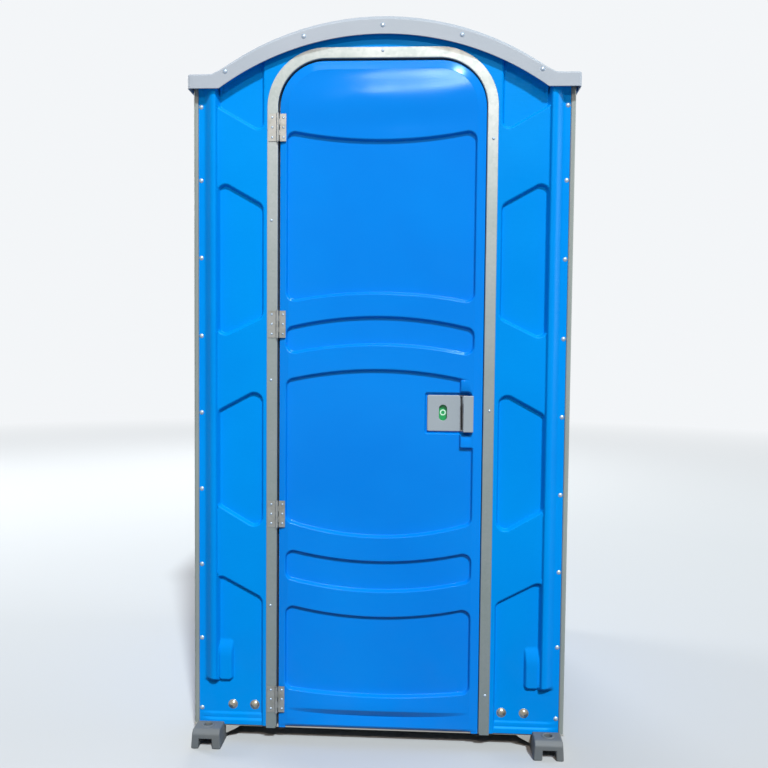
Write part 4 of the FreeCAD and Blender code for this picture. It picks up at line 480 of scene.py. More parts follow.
def triangles(border: Array, holes: Sequence[Array], lines: Sequence[Array],
              dots: Array) -> tuple[Array, Array]:
    """Divides a flat region into triangles that follow given lines.

    Args:
        border: the region's outline.
        holes: outlines of its openings.
        lines: closed lines that the triangles follow.
        dots: further points.

    Returns:
        The points and the rows of three indices.
    """
    places: list[Array] = []
    edges: list[tuple[int, int]] = []
    start = 0
    for loop in (border, *holes, *lines):
        places.append(loop)
        edges += [(start + i, start + (i + 1) % len(loop)) for i in range(len(loop))]
        start += len(loop)
    places.append(dots.reshape(-1, 2))
    coords = [Vector(p) for p in np.concatenate(places)]
    found = delaunay_2d_cdt(coords, edges, [], 0, 1e-3, False)
    points = np.array([tuple(p) for p in found[0]])
    rows = np.array([face for face in found[2] if len(face) == 3])
    middle = points[rows].mean(axis=1)
    keep = inside(border, middle)
    for loop in holes:
        keep &= ~inside(loop, middle)
    return points, rows[keep]


def flat_face(shell: Shell, plane: Plane, border: Array, holes: Sequence[Array], height: float,
              way: float) -> None:
    """Adds a flat face with openings.

    Args:
        shell: the mesh.
        plane: the drawing plane.
        border: the face's outline.
        holes: outlines of its openings.
        height: its height over the plane.
        way: 1 where it faces out of the plane, -1 where it faces back.
    """
    points, rows = triangles(border, holes, (), np.zeros((0, 2)))
    normals = plane.ways(np.zeros_like(points), way)
    shell.add(plane.points(points, height), normals, rows)


def edge_rings(shell: Shell, plane: Plane, loop: Array, stations: Sequence[Four]) -> None:
    """Adds the skin round an outline through stations of its section.

    Args:
        shell: the mesh.
        plane: the drawing plane.
        loop: the outline.
        stations: for each ring its growth, its height, and its normal's outward and upward share.
    """
    ways = outward(loop)
    rings = [plane.points(loop + ways * grow, height) for grow, height, _, _ in stations]
    normals = [plane.ways(ways * side, up) for _, _, side, up in stations]
    shell.skin(rings, normals)


def lip_stations(radius: float, height: float, way: float = 1.0, steps: int = 5) -> list[Four]:
    """Stations of a quarter-round edge, from the flat inward of the edge to its side.

    Args:
        radius: the rounding.
        height: height of the flat.
        way: 1 for an edge that turns down from its flat, -1 for one that turns up.
        steps: number of stretches.

    Returns:
        The stations.
    """
    angles = [math.pi / 2 * i / steps for i in range(steps + 1)]
    return [(radius * math.sin(a) - radius, height - way * radius * (1 - math.cos(a)), math.sin(a),
             way * math.cos(a)) for a in angles]


def slab(shell: Shell, plane: Plane, border: Array, low: float, high: float, lip: float,
         holes: Sequence[Array] = (), hole_lip: float = 0.0) -> None:
    """Adds a plate with rounded edges and openings.

    Args:
        shell: the mesh.
        plane: the drawing plane.
        border: its outline, counter-clockwise.
        low: height of its back.
        high: height of its front.
        lip: rounding of its front edge; the back edge has a third of it.
        holes: outlines of its openings, counter-clockwise.
        hole_lip: rounding of the openings' front edges.
    """
    back = lip / 3
    flat_face(shell, plane, grown(border, -lip), [grown(hole, hole_lip) for hole in holes], high, 1)
    flat_face(shell, plane, grown(border, -back), holes, low, -1)
    under = lip_stations(back, low, way=-1, steps=3)[::-1]
    edge_rings(shell, plane, border, lip_stations(lip, high) + under)
    for hole in holes:
        ring = hole[::-1]
        edge_rings(shell, plane, ring, lip_stations(hole_lip, high, steps=3) + [(0, low, 1, 0)])


def lathe(shell: Shell, centre: Sequence[float], axis: Sequence[float], profile: Sequence[Pair],
          count: int = 40, crease: float = 40.0) -> None:
    """Adds a round body.

    Args:
        shell: the mesh.
        centre: where its axis starts.
        axis: unit direction of the axis.
        profile: radius and height of its section, from the foot up and the outside to the right.
        count: number of stretches round it.
        crease: turns of the section over this many degrees stay sharp.
    """
    line = np.array(axis, float)
    aside = np.cross(line, (0, 0, 1) if abs(line[2]) < 0.9 else (1, 0, 0))
    aside /= np.linalg.norm(aside)
    across = np.cross(line, aside)
    angles = np.linspace(0, 2 * math.pi, count, endpoint=False)
    spokes = np.cos(angles)[:, None] * aside + np.sin(angles)[:, None] * across
    steps = np.diff(np.array(profile, float), axis=0)
    ways = unit(np.stack([steps[:, 1], -steps[:, 0]], axis=1))
    limit = math.cos(math.radians(crease))
    for i, way in enumerate(ways):
        pair = []
        for side, other in ((0, i - 1), (1, i + 1)):
            normal = way
            if 0 <= other < len(ways) and way @ ways[other] > limit:
                normal = way + ways[other]
            radius, height = profile[i + side]
            ring = np.array(centre) + spokes * radius + line * height
            pair.append((ring, spokes * normal[0] + line * normal[1]))
        shell.skin([pair[0][0], pair[1][0]], [pair[0][1], pair[1][1]])


def dome(shell: Shell, at: Sequence[float], way: Sequence[float], radius: float, rise: float,
         count: int = 28) -> None:
    """Adds a round fastener's head.

    Args:
        shell: the mesh.
        at: middle of its foot.
        way: unit direction that it faces.
        radius: radius of its foot.
        rise: its height.
        count: number of stretches round it.
    """
    ball = (radius * radius + rise * rise) / (2 * rise)
    reach = math.asin(min(1.0, radius / ball))
    arcs = [reach * (1 - i / 8) for i in range(9)]
    profile = [(ball * math.sin(a), rise - ball + ball * math.cos(a)) for a in arcs]
    lathe(shell, at, way, [(radius, -0.4), *profile], count)


def sweep(shell: Shell, plane: Plane, path: Array, section: Sequence[Pair]) -> None:
    """Adds a bar with a flat-sided section along a path.

    Args:
        shell: the mesh.
        plane: the drawing plane.
        path: the path in the plane.
        section: closed outline of the bar: growth outward from the path and height over the plane.
    """
    ways = outward(path, False)
    count = len(section)
    for i in range(count):
        (g0, h0), (g1, h1) = section[i], section[(i + 1) % count]
        length = math.hypot(g1 - g0, h1 - h0)
        side, up = (h0 - h1) / length, (g1 - g0) / length
        rings = [plane.points(path + ways * g, h) for g, h in ((g0, h0), (g1, h1))]
        normals = [plane.ways(ways * side, up)] * 2
        shell.skin(rings, normals, False)
    for end, way in ((0, -1), (-1, 1)):
        ring = np.concatenate([plane.points((path + ways * g)[[end]], h) for g, h in section])
        along = path[-1] - path[-2] if end else path[1] - path[0]
        normal = plane.ways((along / np.linalg.norm(along) * way)[None, :], 0.0)
        fan = np.array([(0, i, i + 1) for i in range(1, count - 1)])
        shell.add(ring, np.repeat(normal, count, axis=0), fan)


def slotted_sweep(shell: Shell, plane: Plane, path: Array, section: Sequence[Pair], slot: Pair,
                  span: Pair = (1040.0, 1068.0)) -> None:
    """Adds a bar along the doorway's edge, with a slot through its right side that the latch's bolt enters.

    Args:
        shell: the mesh.
        plane: the drawing plane.
        path: the path from the left foot over the arch to the right foot.
        section: closed outline of the bar.
        slot: depths of the slot's back and front in the world.
        span: heights of the slot's lower and upper edge.
    """
    x, (low, high) = path[-1, 0], span
    side = np.abs(path[:, 0] - x) < 0.01
    above = np.concatenate([path[~side | (path[:, 1] > high + 1)], [(x, high)]])
    below = np.concatenate([[(x, low)], path[side & (path[:, 1] < low - 1)]])
    for part in (above, below):
        sweep(shell, plane, part[::-1], section)
    back, front = (plane.origin[1] - y for y in slot)
    g0, g1 = min(g for g, _ in section), max(g for g, _ in section)
    for h0, h1 in ((front, max(h for _, h in section)), (min(h for _, h in section), back)):
        sweep(shell, plane, np.array([(x, low), (x, high)]), [(g0, h1), (g1, h1), (g1, h0), (g0, h0)])


@dataclass
class Sheet:
    """Moulded sheet: a region of a plane whose surface stands out by a height function."""

    plane: Plane
    border: Array
    height: Height
    lines: list[Array] = field(default_factory=list)
    holes: list[Array] = field(default_factory=list)
    thickness: float = 5.0
    back: float | None = None
    mesh_step: float = 45.0

    def slopes(self, points: Array, step: float = 0.15) -> Array:
        """Normals of the surface, in the plane's own directions.

        Args:
            points: places in the plane.
            step: how far beside each place the heights are taken.

        Returns:
            Rows of across, up and out.
        """
        du = self.height(points + (step, 0)) - self.height(points - (step, 0))
        dv = self.height(points + (0, step)) - self.height(points - (0, step))
        normals = np.stack([-du / (2 * step), -dv / (2 * step), np.ones(len(points))], axis=1)
        return normals / np.linalg.norm(normals, axis=1, keepdims=True)

    def build(self, shell: Shell) -> None:
        """Adds the front, the back and the edges between them.

        Args:
            shell: the mesh.
        """
        low, high = self.border.min(axis=0), self.border.max(axis=0)
        us = np.arange(low[0] + self.mesh_step / 2, high[0], self.mesh_step)
        vs = np.arange(low[1] + self.mesh_step / 2, high[1], self.mesh_step)
        dots = np.stack(np.meshgrid(us, vs), axis=-1).reshape(-1, 2)
        points, rows = triangles(self.border, self.holes, self.lines, dots)
        used = np.unique(rows)
        index = np.full(len(points), -1)
        index[used] = np.arange(len(used))
        points, rows = points[used], index[rows]
        tops = self.height(points)
        normals = self.slopes(points)
        shell.add(self.plane.points(points, tops), self.plane.ways(normals[:, :2], normals[:, 2]), rows)
        if self.back is None:
            backs = tops - self.thickness
        else:
            backs = np.full(len(points), self.back)
            normals = np.tile((0.0, 0.0, 1.0), (len(points), 1))
        shell.add(self.plane.points(points, backs), -self.plane.ways(normals[:, :2], normals[:, 2]), rows)
        self.rim(shell, points, rows, tops, backs)

    def rim(self, shell: Shell, points: Array, rows: Array, tops: Array, backs: Array) -> None:
        """Adds the edges of the sheet.

        Args:
            shell: the mesh.
            points: the sheet's points in its plane.
            rows: its triangles.
            tops: heights of its front.
            backs: heights of its back.
        """
        pairs = np.concatenate([rows[:, (0, 1)], rows[:, (1, 2)], rows[:, (2, 0)]]).tolist()
        keys = {tuple(pair) for pair in pairs}
        edges = np.array([pair for pair in pairs if (pair[1], pair[0]) not in keys])
        first, last = edges.T
        a, b = points[first], points[last]
        corner = points[rows[0]]
        turning = np.cross(corner[1] - corner[0], corner[2] - corner[0])
        way = np.stack([b[:, 1] - a[:, 1], a[:, 0] - b[:, 0]], axis=1) * (1 if turning > 0 else -1)
        way /= np.linalg.norm(way, axis=1, keepdims=True)
        corners = ((a, tops[first]), (b, tops[last]), (b, backs[last]), (a, backs[first]))
        quads = [self.plane.points(*place) for place in corners]
        ends = np.zeros((len(points), 2))
        for column in (first, last):
            np.add.at(ends, column, way)
        ends = unit(ends)
        picked = []
        for column in (first, last):
            soft = np.einsum("ij,ij->i", ends[column], way) > SOFT_CORNER
            picked.append(self.plane.ways(np.where(soft[:, None], ends[column], way), 0.0))
        faces = np.arange(4 * len(edges)).reshape(4, -1).T
        shell.add(np.concatenate(quads), np.concatenate([picked[k] for k in (0, 1, 1, 0)]), faces)


# Finishes

Colour = tuple[float, float, float]
Display = tuple[int, int, int]


def linear(colour: Display) -> Colour:
    """Scene-linear colour of display values from 0 to 255."""
    return tuple(c / 12.92 if c <= 0.04045 else ((c + 0.055) / 1.055) ** 2.4
                 for c in (value / 255 for value in colour))


@dataclass
class NodeTree:
    """Node tree in the making."""

    data: bpy.types.NodeTree

    def plug(self, socket: Socket, value: object) -> None:
        """Links an output to a socket or sets the socket's value.

        Args:
            socket: the input.
            value: an output, a colour or a number.
        """
        if isinstance(value, Socket):
            self.data.links.new(value, socket)
        elif isinstance(value, tuple) and len(value) == 3 and socket.type == "RGBA":
            socket.default_value = (*value, 1.0)
        else:
            socket.default_value = value

    def node(self, kind: str, output: str | int, inputs: dict[str | int, object],
             **settings: object) -> Socket:
        """Adds a node.

        Args:
            kind: its type, without the word ShaderNode.
            output: the output that is wanted.
            inputs: what goes into its inputs.
            settings: its own settings.

        Returns:
            The output.
        """
        node = self.data.nodes.new(f"ShaderNode{kind}")
        for name, value in settings.items():
            setattr(node, name, value)
        for name, value in inputs.items():
            self.plug(node.inputs[name], value)
        return node.outputs[output]

    def sum(self, first: object, second: object, kind: str = "ADD") -> Socket:
        """Sum, product or other pairing of two values."""
        return self.node("Math", "Value", {0: first, 1: second}, operation=kind)

    def span(self, value: Socket, low: float, high: float, to_low: float, to_high: float) -> Socket:
        """Value carried from one range to another and held inside it."""
        return self.node("MapRange", "Result", {"Value": value, "From Min": low, "From Max": high,
                                                "To Min": to_low, "To Max": to_high}, clamp=True)

    def plain_rays(self) -> Socket:
        """Value that is 1 for rays of the camera and for those that gloss or clear parts send on.

        Returns:
            The value, 0 for rays of diffuse light.
        """
        path = self.data.nodes.new("ShaderNodeLightPath").outputs
        seen = self.sum(path["Is Camera Ray"], path["Is Transmission Ray"], "MAXIMUM")
        return self.sum(seen, path["Is Glossy Ray"], "MAXIMUM")

    def show(self, surface: Socket) -> None:
        """Links a shader to the tree's surface."""
        out = next(node for node in self.data.nodes if node.type.startswith("OUTPUT"))
        self.data.links.new(surface, out.inputs["Surface"])


class MaterialTree(NodeTree):
    """Node tree of a material in the making, with its shader and its object coordinates."""

    def __init__(self, name: str) -> None:
        """Starts the material.

        Args:
            name: its name.
        """
        self.material = bpy.data.materials.new(name)
        self.material.use_nodes = True
        super().__init__(self.material.node_tree)
        self.shader = next(node for node in self.data.nodes if node.type == "BSDF_PRINCIPLED")
        self.place = self.data.nodes.new("ShaderNodeTexCoord").outputs["Object"]

    def stretched(self, scale: Triple) -> Socket:
        """Object coordinates stretched along the axes."""
        return self.node("Mapping", "Vector", {"Vector": self.place, "Scale": scale})

    def noise(self, scale: float, detail: float = 2.0, along: Socket | None = None,
              twist: float = 0.0) -> Socket:
        """Cloudy values.

        Args:
            scale: clouds in a metre.
            detail: finer layers.
            along: coordinates, the object's own where none are given.
            twist: how far the clouds are drawn out of shape.

        Returns:
            The node's value.
        """
        inputs = {"Vector": along or self.place, "Scale": scale, "Detail": detail, "Distortion": twist}
        return self.node("TexNoise", "Fac", inputs)

    def cells(self, scale: float) -> Socket:
        """Random colour of each cell of a crystal pattern."""
        return self.node("TexVoronoi", "Color", {"Vector": self.place, "Scale": scale})

    def mix(self, share: object, first: object, second: object) -> Socket:
        """Mix of two colours."""
        return self.node("Mix", 2, {0: share, 6: first, 7: second}, data_type="RGBA")

    def height(self) -> Socket:
        """Height over the ground, in metres."""
        return self.node("SeparateXYZ", "Z", {"Vector": self.place})

    def bumps(self, *layers: tuple[Socket, float, float]) -> None:
        """Roughens the surface.

        Args:
            layers: patterns from the lowest up, each with its strength and its depth in metres.
        """
        under = {}
        for pattern, strength, depth in layers:
            normal = self.node("Bump", "Normal", {"Strength": strength, "Distance": depth, "Height": pattern,
                                                  **under})
            under = {"Normal": normal}
        self.data.links.new(normal, self.shader.inputs["Normal"])

    def set(self, **values: object) -> None:
        """Sets the shader's sockets.

        Args:
            values: their values, the sockets named in lower case with underscores.
        """
        names = {socket.name.lower().replace(" ", "_"): socket for socket in self.shader.inputs}
        for name, value in values.items():
            self.plug(names[name], value)


DUST = (150, 140, 122)


@dataclass(frozen=True)
class MouldedPlastic:
    """Moulded sheet: a fine grain, soft waves, uneven gloss, and dust near the ground."""

    name: str
    colour: Display
    shade: Display
    roughness: float = 0.4
    grain: float = 0.12
    streaks: float = 0.0
    waves: float = 0.25
    dust: float = 0.25
    glow: float = 0.0
    gloss: float = 0.5
    tint: Colour = (1.0, 1.0, 1.0)

    def material(self) -> Material:
        """The finish as a material.

        Returns:
            The new material.
        """
        tree = MaterialTree(self.name)
        shade = linear(self.shade)
        clouds = tree.noise(2.3, 3.0)
        base = tree.mix(tree.span(clouds, 0.35, 0.65, 0.0, 1.0), linear(self.colour), shade)
        flecks = tree.noise(260.0, 2.0)
        base = tree.mix(tree.span(flecks, 0.3, 0.7, 0.0, 0.10), base, shade)
        low = tree.span(tree.height(), 0.02, 0.45, 1.0, 0.0)
        dirt = tree.sum(low, tree.span(tree.noise(9.0, 5.0), 0.42, 0.75, 0.0, self.dust), "MULTIPLY")
        base = tree.mix(dirt, base, linear(DUST))
        rough = tree.sum(tree.span(tree.noise(5.0, 4.0), 0.3, 0.7, -0.05, 0.06), self.roughness)
        rough = tree.sum(rough, tree.sum(dirt, 0.5, "MULTIPLY"))
        grain = tree.noise(520.0, 2.0)
        waves = tree.noise(4.5, 1.0)
        layers = [(waves, self.waves, 0.006), (grain, self.grain, 0.0006)]
        if self.streaks:
            brushed = tree.noise(60.0, 3.0, tree.stretched((0.35, 0.35, 3.0)), 0.4)
            layers.insert(1, (brushed, self.streaks, 0.0012))
        tree.bumps(*layers)
        tree.set(base_color=base, roughness=rough, specular_ior_level=self.gloss, specular_tint=self.tint)
        if self.glow:
            tree.set(subsurface_weight=self.glow, subsurface_radius=(0.012, 0.012, 0.012))
        return tree.material


@dataclass(frozen=True)
class Zinc:
    """Galvanised sheet: pale crystals, duller worn patches, scratches along it, and a painted reflection that
    darkens and greens it towards the bottom.
    """

    name: str
    colour: Display
    dull_and_painted_reflection: Display
    roughness: float = 0.46
    spangle: float = 110.0
    metal: float = 0.9

    def material(self) -> Material:
        """The finish as a material.

        Returns:
            The new material.
        """
        tree = MaterialTree(self.name)
        dull_and_painted_reflection = linear(self.dull_and_painted_reflection)
        crystal = tree.cells(self.spangle)
        base = tree.mix(tree.span(crystal, 0.0, 1.0, 0.0, 0.35), linear(self.colour), dull_and_painted_reflection)
        worn = tree.span(tree.noise(7.0, 5.0), 0.4, 0.68, 0.0, 0.5)
        base = tree.mix(worn, base, dull_and_painted_reflection)
        # painted reflection and shade: the sheet turns darker and greener towards the bottom
        base = tree.mix(tree.span(tree.height(), 0.05, 2.0, 0.55, 0.0), base, dull_and_painted_reflection)
        rough = tree.sum(tree.span(crystal, 0.0, 1.0, -0.03, 0.04), self.roughness)
        rough = tree.sum(rough, tree.sum(worn, 0.12, "MULTIPLY"))
        scratches = tree.noise(180.0, 4.0, tree.stretched((1.0, 1.0, 0.06)))
        tree.bumps((crystal, 0.04, 0.0004), (scratches, 0.18, 0.0004))
        tree.set(base_color=base, roughness=rough, metallic=self.metal)
        return tree.material


@dataclass(frozen=True)
class Steel:
    """Plain or plated steel: fine scratches, a little tarnish in patches."""

    name: str
    colour: Display
    tarnish: Display
    roughness: float = 0.32
    metal: float = 1.0
    grain: float = 0.2

    def material(self) -> Material:
        """The finish as a material.

        Returns:
            The new material.
        """
        tree = MaterialTree(self.name)
        patches = tree.noise(38.0, 5.0)
        stains = tree.span(patches, 0.4, 0.72, 0.0, 0.8)
        base = tree.mix(stains, linear(self.colour), linear(self.tarnish))
        rough = tree.sum(tree.span(patches, 0.35, 0.7, -0.04, 0.14), self.roughness)
        scratches = tree.noise(420.0, 3.0, tree.stretched((1.0, 1.0, 0.12)))
        tree.bumps((scratches, self.grain, 0.0003), (tree.noise(90.0, 3.0), 0.1, 0.0004))
        tree.set(base_color=base, roughness=rough, metallic=self.metal)
        return tree.material


@dataclass(frozen=True)
class Paper:
    """Soft tissue: faint crosswise crinkles with painted shade over them, and a matt surface."""

    name: str
    colour: Display
    painted_crinkle_shade: Display

    def material(self) -> Material:
        """The finish as a material.

        Returns:
            The new material.
        """
        tree = MaterialTree(self.name)
        crinkle = tree.noise(340.0, 4.0)
        # painted shade: a darker tone laid over the crinkles, following the bump's own noise
        base = tree.mix(tree.span(crinkle, 0.3, 0.7, 0.0, 0.25), linear(self.colour), linear(self.painted_crinkle_shade))
        tree.bumps((crinkle, 0.5, 0.0008), (tree.noise(40.0, 2.0), 0.3, 0.001))
        tree.set(base_color=base, roughness=0.95)
        return tree.material


class Slot(Enum):
    """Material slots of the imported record."""

    WALL = "wall_plastic"
    DOOR = "door_plastic"
    LINER = "liner_plastic"
    STRIP = "strip_plastic"
    ROOF = "roof_plastic"
    SKID = "skid_plastic"
    BASE = "base_plastic"
    TANK = "tank_plastic"
    SEAT = "seat_plastic"
    PIPE = "pipe_plastic"
    LATCH = "latch_plastic"
    BOLT = "bolt_plastic"
    INDICATOR = "indicator"
    ZINC = "galvanised"
    HINGE = "hinge_metal"
    SPRING = "spring_steel"
    FASTENER = "fasteners"
    RIVET = "rivets"
    JAMB = "jamb_plastic"
    SCREEN = "screen"
    PAPER = "paper"


FINISHES = {
    Slot.WALL: MouldedPlastic("wall_blue", (0, 140, 229), (0, 133, 223), 0.38, 0.14, 0.22,
                              dust=0.02, gloss=0.12, tint=(0.2, 0.75, 1.0)),
    Slot.DOOR: MouldedPlastic("door_blue", (0, 129, 227), (0, 122, 221), 0.15, 0.04, waves=0.2,
                              dust=0.02, gloss=0.25, tint=(0.36, 0.6, 0.9)),
    Slot.LINER: MouldedPlastic("liner_grey", (196, 200, 204), (184, 188, 192), 0.5),
    Slot.STRIP: MouldedPlastic("strip_grey", (139, 147, 145), (128, 136, 135), 0.5, 0.2, dust=0.1),
    Slot.ROOF: MouldedPlastic("roof_pale", (168, 176, 188), (160, 170, 182), 0.5, 0.22, dust=0.0,
                              glow=0.12, gloss=0.3),
    Slot.SKID: MouldedPlastic("skid_grey", (104, 110, 115), (88, 93, 98), 0.62, 0.5, dust=0.2),
    Slot.BASE: MouldedPlastic("base_grey", (176, 176, 174), (160, 160, 158), 0.55, 0.3, dust=0.5),
    Slot.TANK: MouldedPlastic("tank_grey", (120, 124, 130), (108, 112, 118), 0.5, 0.3),
    Slot.SEAT: MouldedPlastic("seat_black", (38, 39, 42), (30, 31, 34), 0.36, 0.1),
    Slot.PIPE: MouldedPlastic("pipe_grey", (104, 107, 112), (92, 95, 100), 0.45, 0.15),
    Slot.LATCH: MouldedPlastic("latch_grey", (154, 164, 173), (143, 153, 162), 0.42, 0.35, dust=0.0),
    Slot.BOLT: MouldedPlastic("bolt_grey", (132, 136, 142), (120, 124, 130), 0.42, 0.2, dust=0.0),
    Slot.INDICATOR: MouldedPlastic("indicator_green", (16, 150, 82), (10, 136, 74), 0.35, 0.05,
                                   dust=0.0),
    Slot.ZINC: Zinc("trim_zinc", (154, 161, 164), (128, 139, 136)),
    Slot.HINGE: Steel("hinge_steel", (158, 160, 158), (128, 128, 122), 0.42, 0.85),
    Slot.SPRING: Steel("spring_steel", (168, 170, 174), (126, 128, 132), 0.3),
    Slot.FASTENER: Steel("bolt_zinc", (172, 166, 152), (112, 105, 90), 0.26, 0.95),
    Slot.RIVET: Steel("rivet_bright", (166, 182, 200), (136, 154, 176), 0.36, 0.55),
    Slot.JAMB: MouldedPlastic("stop_grey", (150, 154, 158), (138, 142, 146), 0.5, 0.2),
    Slot.SCREEN: MouldedPlastic("screen_dark", (52, 54, 58), (44, 46, 50), 0.6, 0.2),
    Slot.PAPER: Paper("tissue", (236, 234, 228), (214, 210, 200)),
}


@dataclass
class Stock:
    """Materials made so far, one for each finish."""

    made: dict[Slot, Material] = field(default_factory=dict)

    def get(self, slot: Slot) -> Material:
        """Material of a slot, made on first use.

        Args:
            slot: the slot.

        Returns:
            The material.
        """
        if slot not in self.made:
            self.made[slot] = FINISHES[slot].material()
        return self.made[slot]


STOCK = Stock()


def dress(slot: Slot, *nodes: str) -> None:
    """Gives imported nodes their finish.

    Args:
        slot: the finish.
        nodes: names of the nodes.
    """
    for name in nodes:
        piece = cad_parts[name]
        piece.data.materials.clear()
        piece.data.materials.append(STOCK.get(slot))
        log.info("dressed %s", name)


def fit(form: "Shell | Block", name: str, slot: Slot, body: str, *nodes: str,
        finish: Material | None = None) -> None:
    """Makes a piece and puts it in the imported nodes' place.

    Args:
        form: the piece in the making.
        name: its name.
        slot: its finish in the record.
        body: the body that carries it.
        nodes: the nodes that it stands for.
        finish: its material, where it isn't the slot's own.
    """
    piece = form.make(name, finish or STOCK.get(slot))
    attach(piece, body)
    if nodes:
        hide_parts(*nodes)
    log.info("made %s", piece.name)


# Walls

HALF_WIDTH = 584.0
HALF_DEPTH = 574.0
WALL_Y = 570.0
WALL_X = 580.0
WALL_BOTTOM = 51.0
EAVES = 2034.0
EAVES_HALF = 497.0
EAVES_APEX = 2191.5
BOLT_SLOT = (-552.1, -560.1)


def arch_height(x: Array, half: float, foot: float, apex: Array | float) -> Array:
    """Height of a low arch.

    Args:
        x: places across it.
        half: half its span.
        foot: height of its ends.
        apex: height of its middle.

    Returns:
        Heights, those beyond the ends as at the ends.
    """
    rise = np.asarray(apex, float) - foot
    radius = (half * half + rise * rise) / (2 * rise)
    held = np.minimum(np.abs(x), half)
    return apex - radius + np.sqrt(radius * radius - held * held)


def eaves(x: Array) -> Array:
    """Height of the roof's lower edge over an end wall."""
    return arch_height(x, EAVES_HALF, EAVES, EAVES_APEX)


@dataclass
class EndWall:
    """Relief that the front and rear walls share: ridges, raised field, sill and the band under the roof."""

    field_height: float = 14.0
    field_foot: float = 0.0
    field_edge: float = 506.0
    ridge_height: float = 24.0
    ridge_foot: Pair = (500.0, 549.0)
    ridge_crest: Pair = (510.0, 524.0)
    ridge_low: float = 189.0
    sill: tuple[Triple, ...] = ((89.0, 82.5, 4.5), (71.0, 64.5, 5.0))
    sill_end: float = 562.0
    band: float = 31.0
    band_lift: float = 9.5
    band_slope: float = 9.0
    half: float = 568.0
    top: float = 2071.5
    arch_half: float = 511.0
    arch_apex: float = 2227.5
    recess: Wall = Wall(14.0, 6.0, 4.0, 6.5)

    def recesses(self) -> list[Array]:
        """Floors of the recesses."""
        return []

    def extra(self, points: Array, height: Array) -> Array:
        """Adds the wall's own details to its height."""
        return height

    def ridge(self, points: Array) -> Array:
        """Height of the two ridges, falling away beside them.

        Args:
            points: places on the wall.

        Returns:
            One height for each place.
        """
        x = np.abs(points[:, 0])
        slope_in = self.ridge_height / (self.ridge_crest[0] - self.ridge_foot[0])
        slope_out = self.ridge_height / (self.ridge_foot[1] - self.ridge_crest[1])
        crest = softer((x - self.ridge_foot[0]) * slope_in, np.full_like(x, self.ridge_height), 7, True)
        crest = softer(crest, (self.ridge_foot[1] - x) * slope_out, 7, True)
        return softer(crest, (points[:, 1] - self.ridge_low) * 2.2, 6, True)

    def height(self, points: Array) -> Array:
        """Height of the surface over the wall's flange.

        Args:
            points: places on the wall.

        Returns:
            One height for each place.
        """
        x, z = np.abs(points[:, 0]), points[:, 1]
        raised = np.full(len(points), self.field_height)
        for floor in self.recesses():
            raised -= self.recess.height - self.recess.rise(distance(floor, points))
        step = softer((z - self.field_foot) * 2.0, np.full_like(z, self.field_height), 5, True)
        raised = np.minimum(raised, step)
        h = np.maximum(np.where(x < self.field_edge, raised, 0.0), 0.0)
        h = self.extra(points, h)
        h = softer(h, self.ridge(points), 6)
        ledge = np.zeros_like(z)
        for top, foot, out in self.sill:
            ledge += np.maximum(softer((top - z) * out / (top - foot), np.full_like(z, out), 2, True), 0)
        ledge = softer(ledge, (self.sill_end - x) * 0.9, 3, True)
        h = softer(h, ledge, 2.5)
        return softer(h, np.minimum((z - eaves(x) - self.band_lift) * self.band_slope, self.band), 3)

    def ridge_lines(self) -> list[Array]:
        """Lines along the ridge on one side.

        Returns:
            Closed outlines, each through one bend of its section.
        """
        a, b = self.ridge_foot
        c, d = self.ridge_crest
        steps = [(a - 2.2, b + 5.5, -2.0), (a - 1, b + 2.5, -0.8), (a, b, 0.2), (a + 1.2, b - 2.5, 1.2),
                 (a + 2.4, b - 5.5, 2.5), (c - 2.6, d + 6.5, 8.1), (c - 1.2, d + 3, 9.6), (c, d, 10.9),
                 (c + 1.2, d - 2.5, 12.2), (c + 2.4, d - 5.0, 13.6)]
        steps += [(a - 3.5, b + 7, lift) for lift in (16.0, 19.0, 24.0)]
        return [rounded(low, high, self.ridge_low + lift, 2320.0, 0.0) for low, high, lift in steps]

    def lines(self) -> list[Array]:
        """All lines that the mesh follows.

        Returns:
            Closed outlines.
        """
        found = contours(self.recess, self.recesses())
        for loop in self.ridge_lines():
            found += [loop, mirrored(loop)]
        for top, foot, _ in self.sill:
            for z in (top + 1.5, top + 0.3, top - 1, foot + 2, foot + 0.6, foot - 0.8, foot - 2.2):
                found.append(rounded(-self.half - 5, self.half + 5, 20, z, 0.0))
        x = np.linspace(-self.half - 8, self.half + 8, 81)
        for lift in (9.2, 9.9, 11.4, 12.9, 13.4):
            over = np.stack([x, eaves(x) + lift], axis=1)
            found.append(np.concatenate([over, [(self.half + 8, 2400), (-self.half - 8, 2400)]]))
        return found

    def border(self) -> Array:
        """The wall's outline under the roof.

        Returns:
            Its points, from the right end of the arch over it and round by the left side.
        """
        x = np.linspace(self.arch_half, -self.arch_half, 61)
        top = np.stack([x, arch_height(x, self.arch_half, self.top, self.arch_apex)], axis=1)
        half, high, low = self.half, self.top, WALL_BOTTOM
        ends = [(-half, high), (-half, low), (half, low), (half, high)]
        left, foot, right = (between(first, last, 45) for first, last in zip(ends, ends[1:]))
        return np.concatenate([top, left, foot[1:], right[1:]])


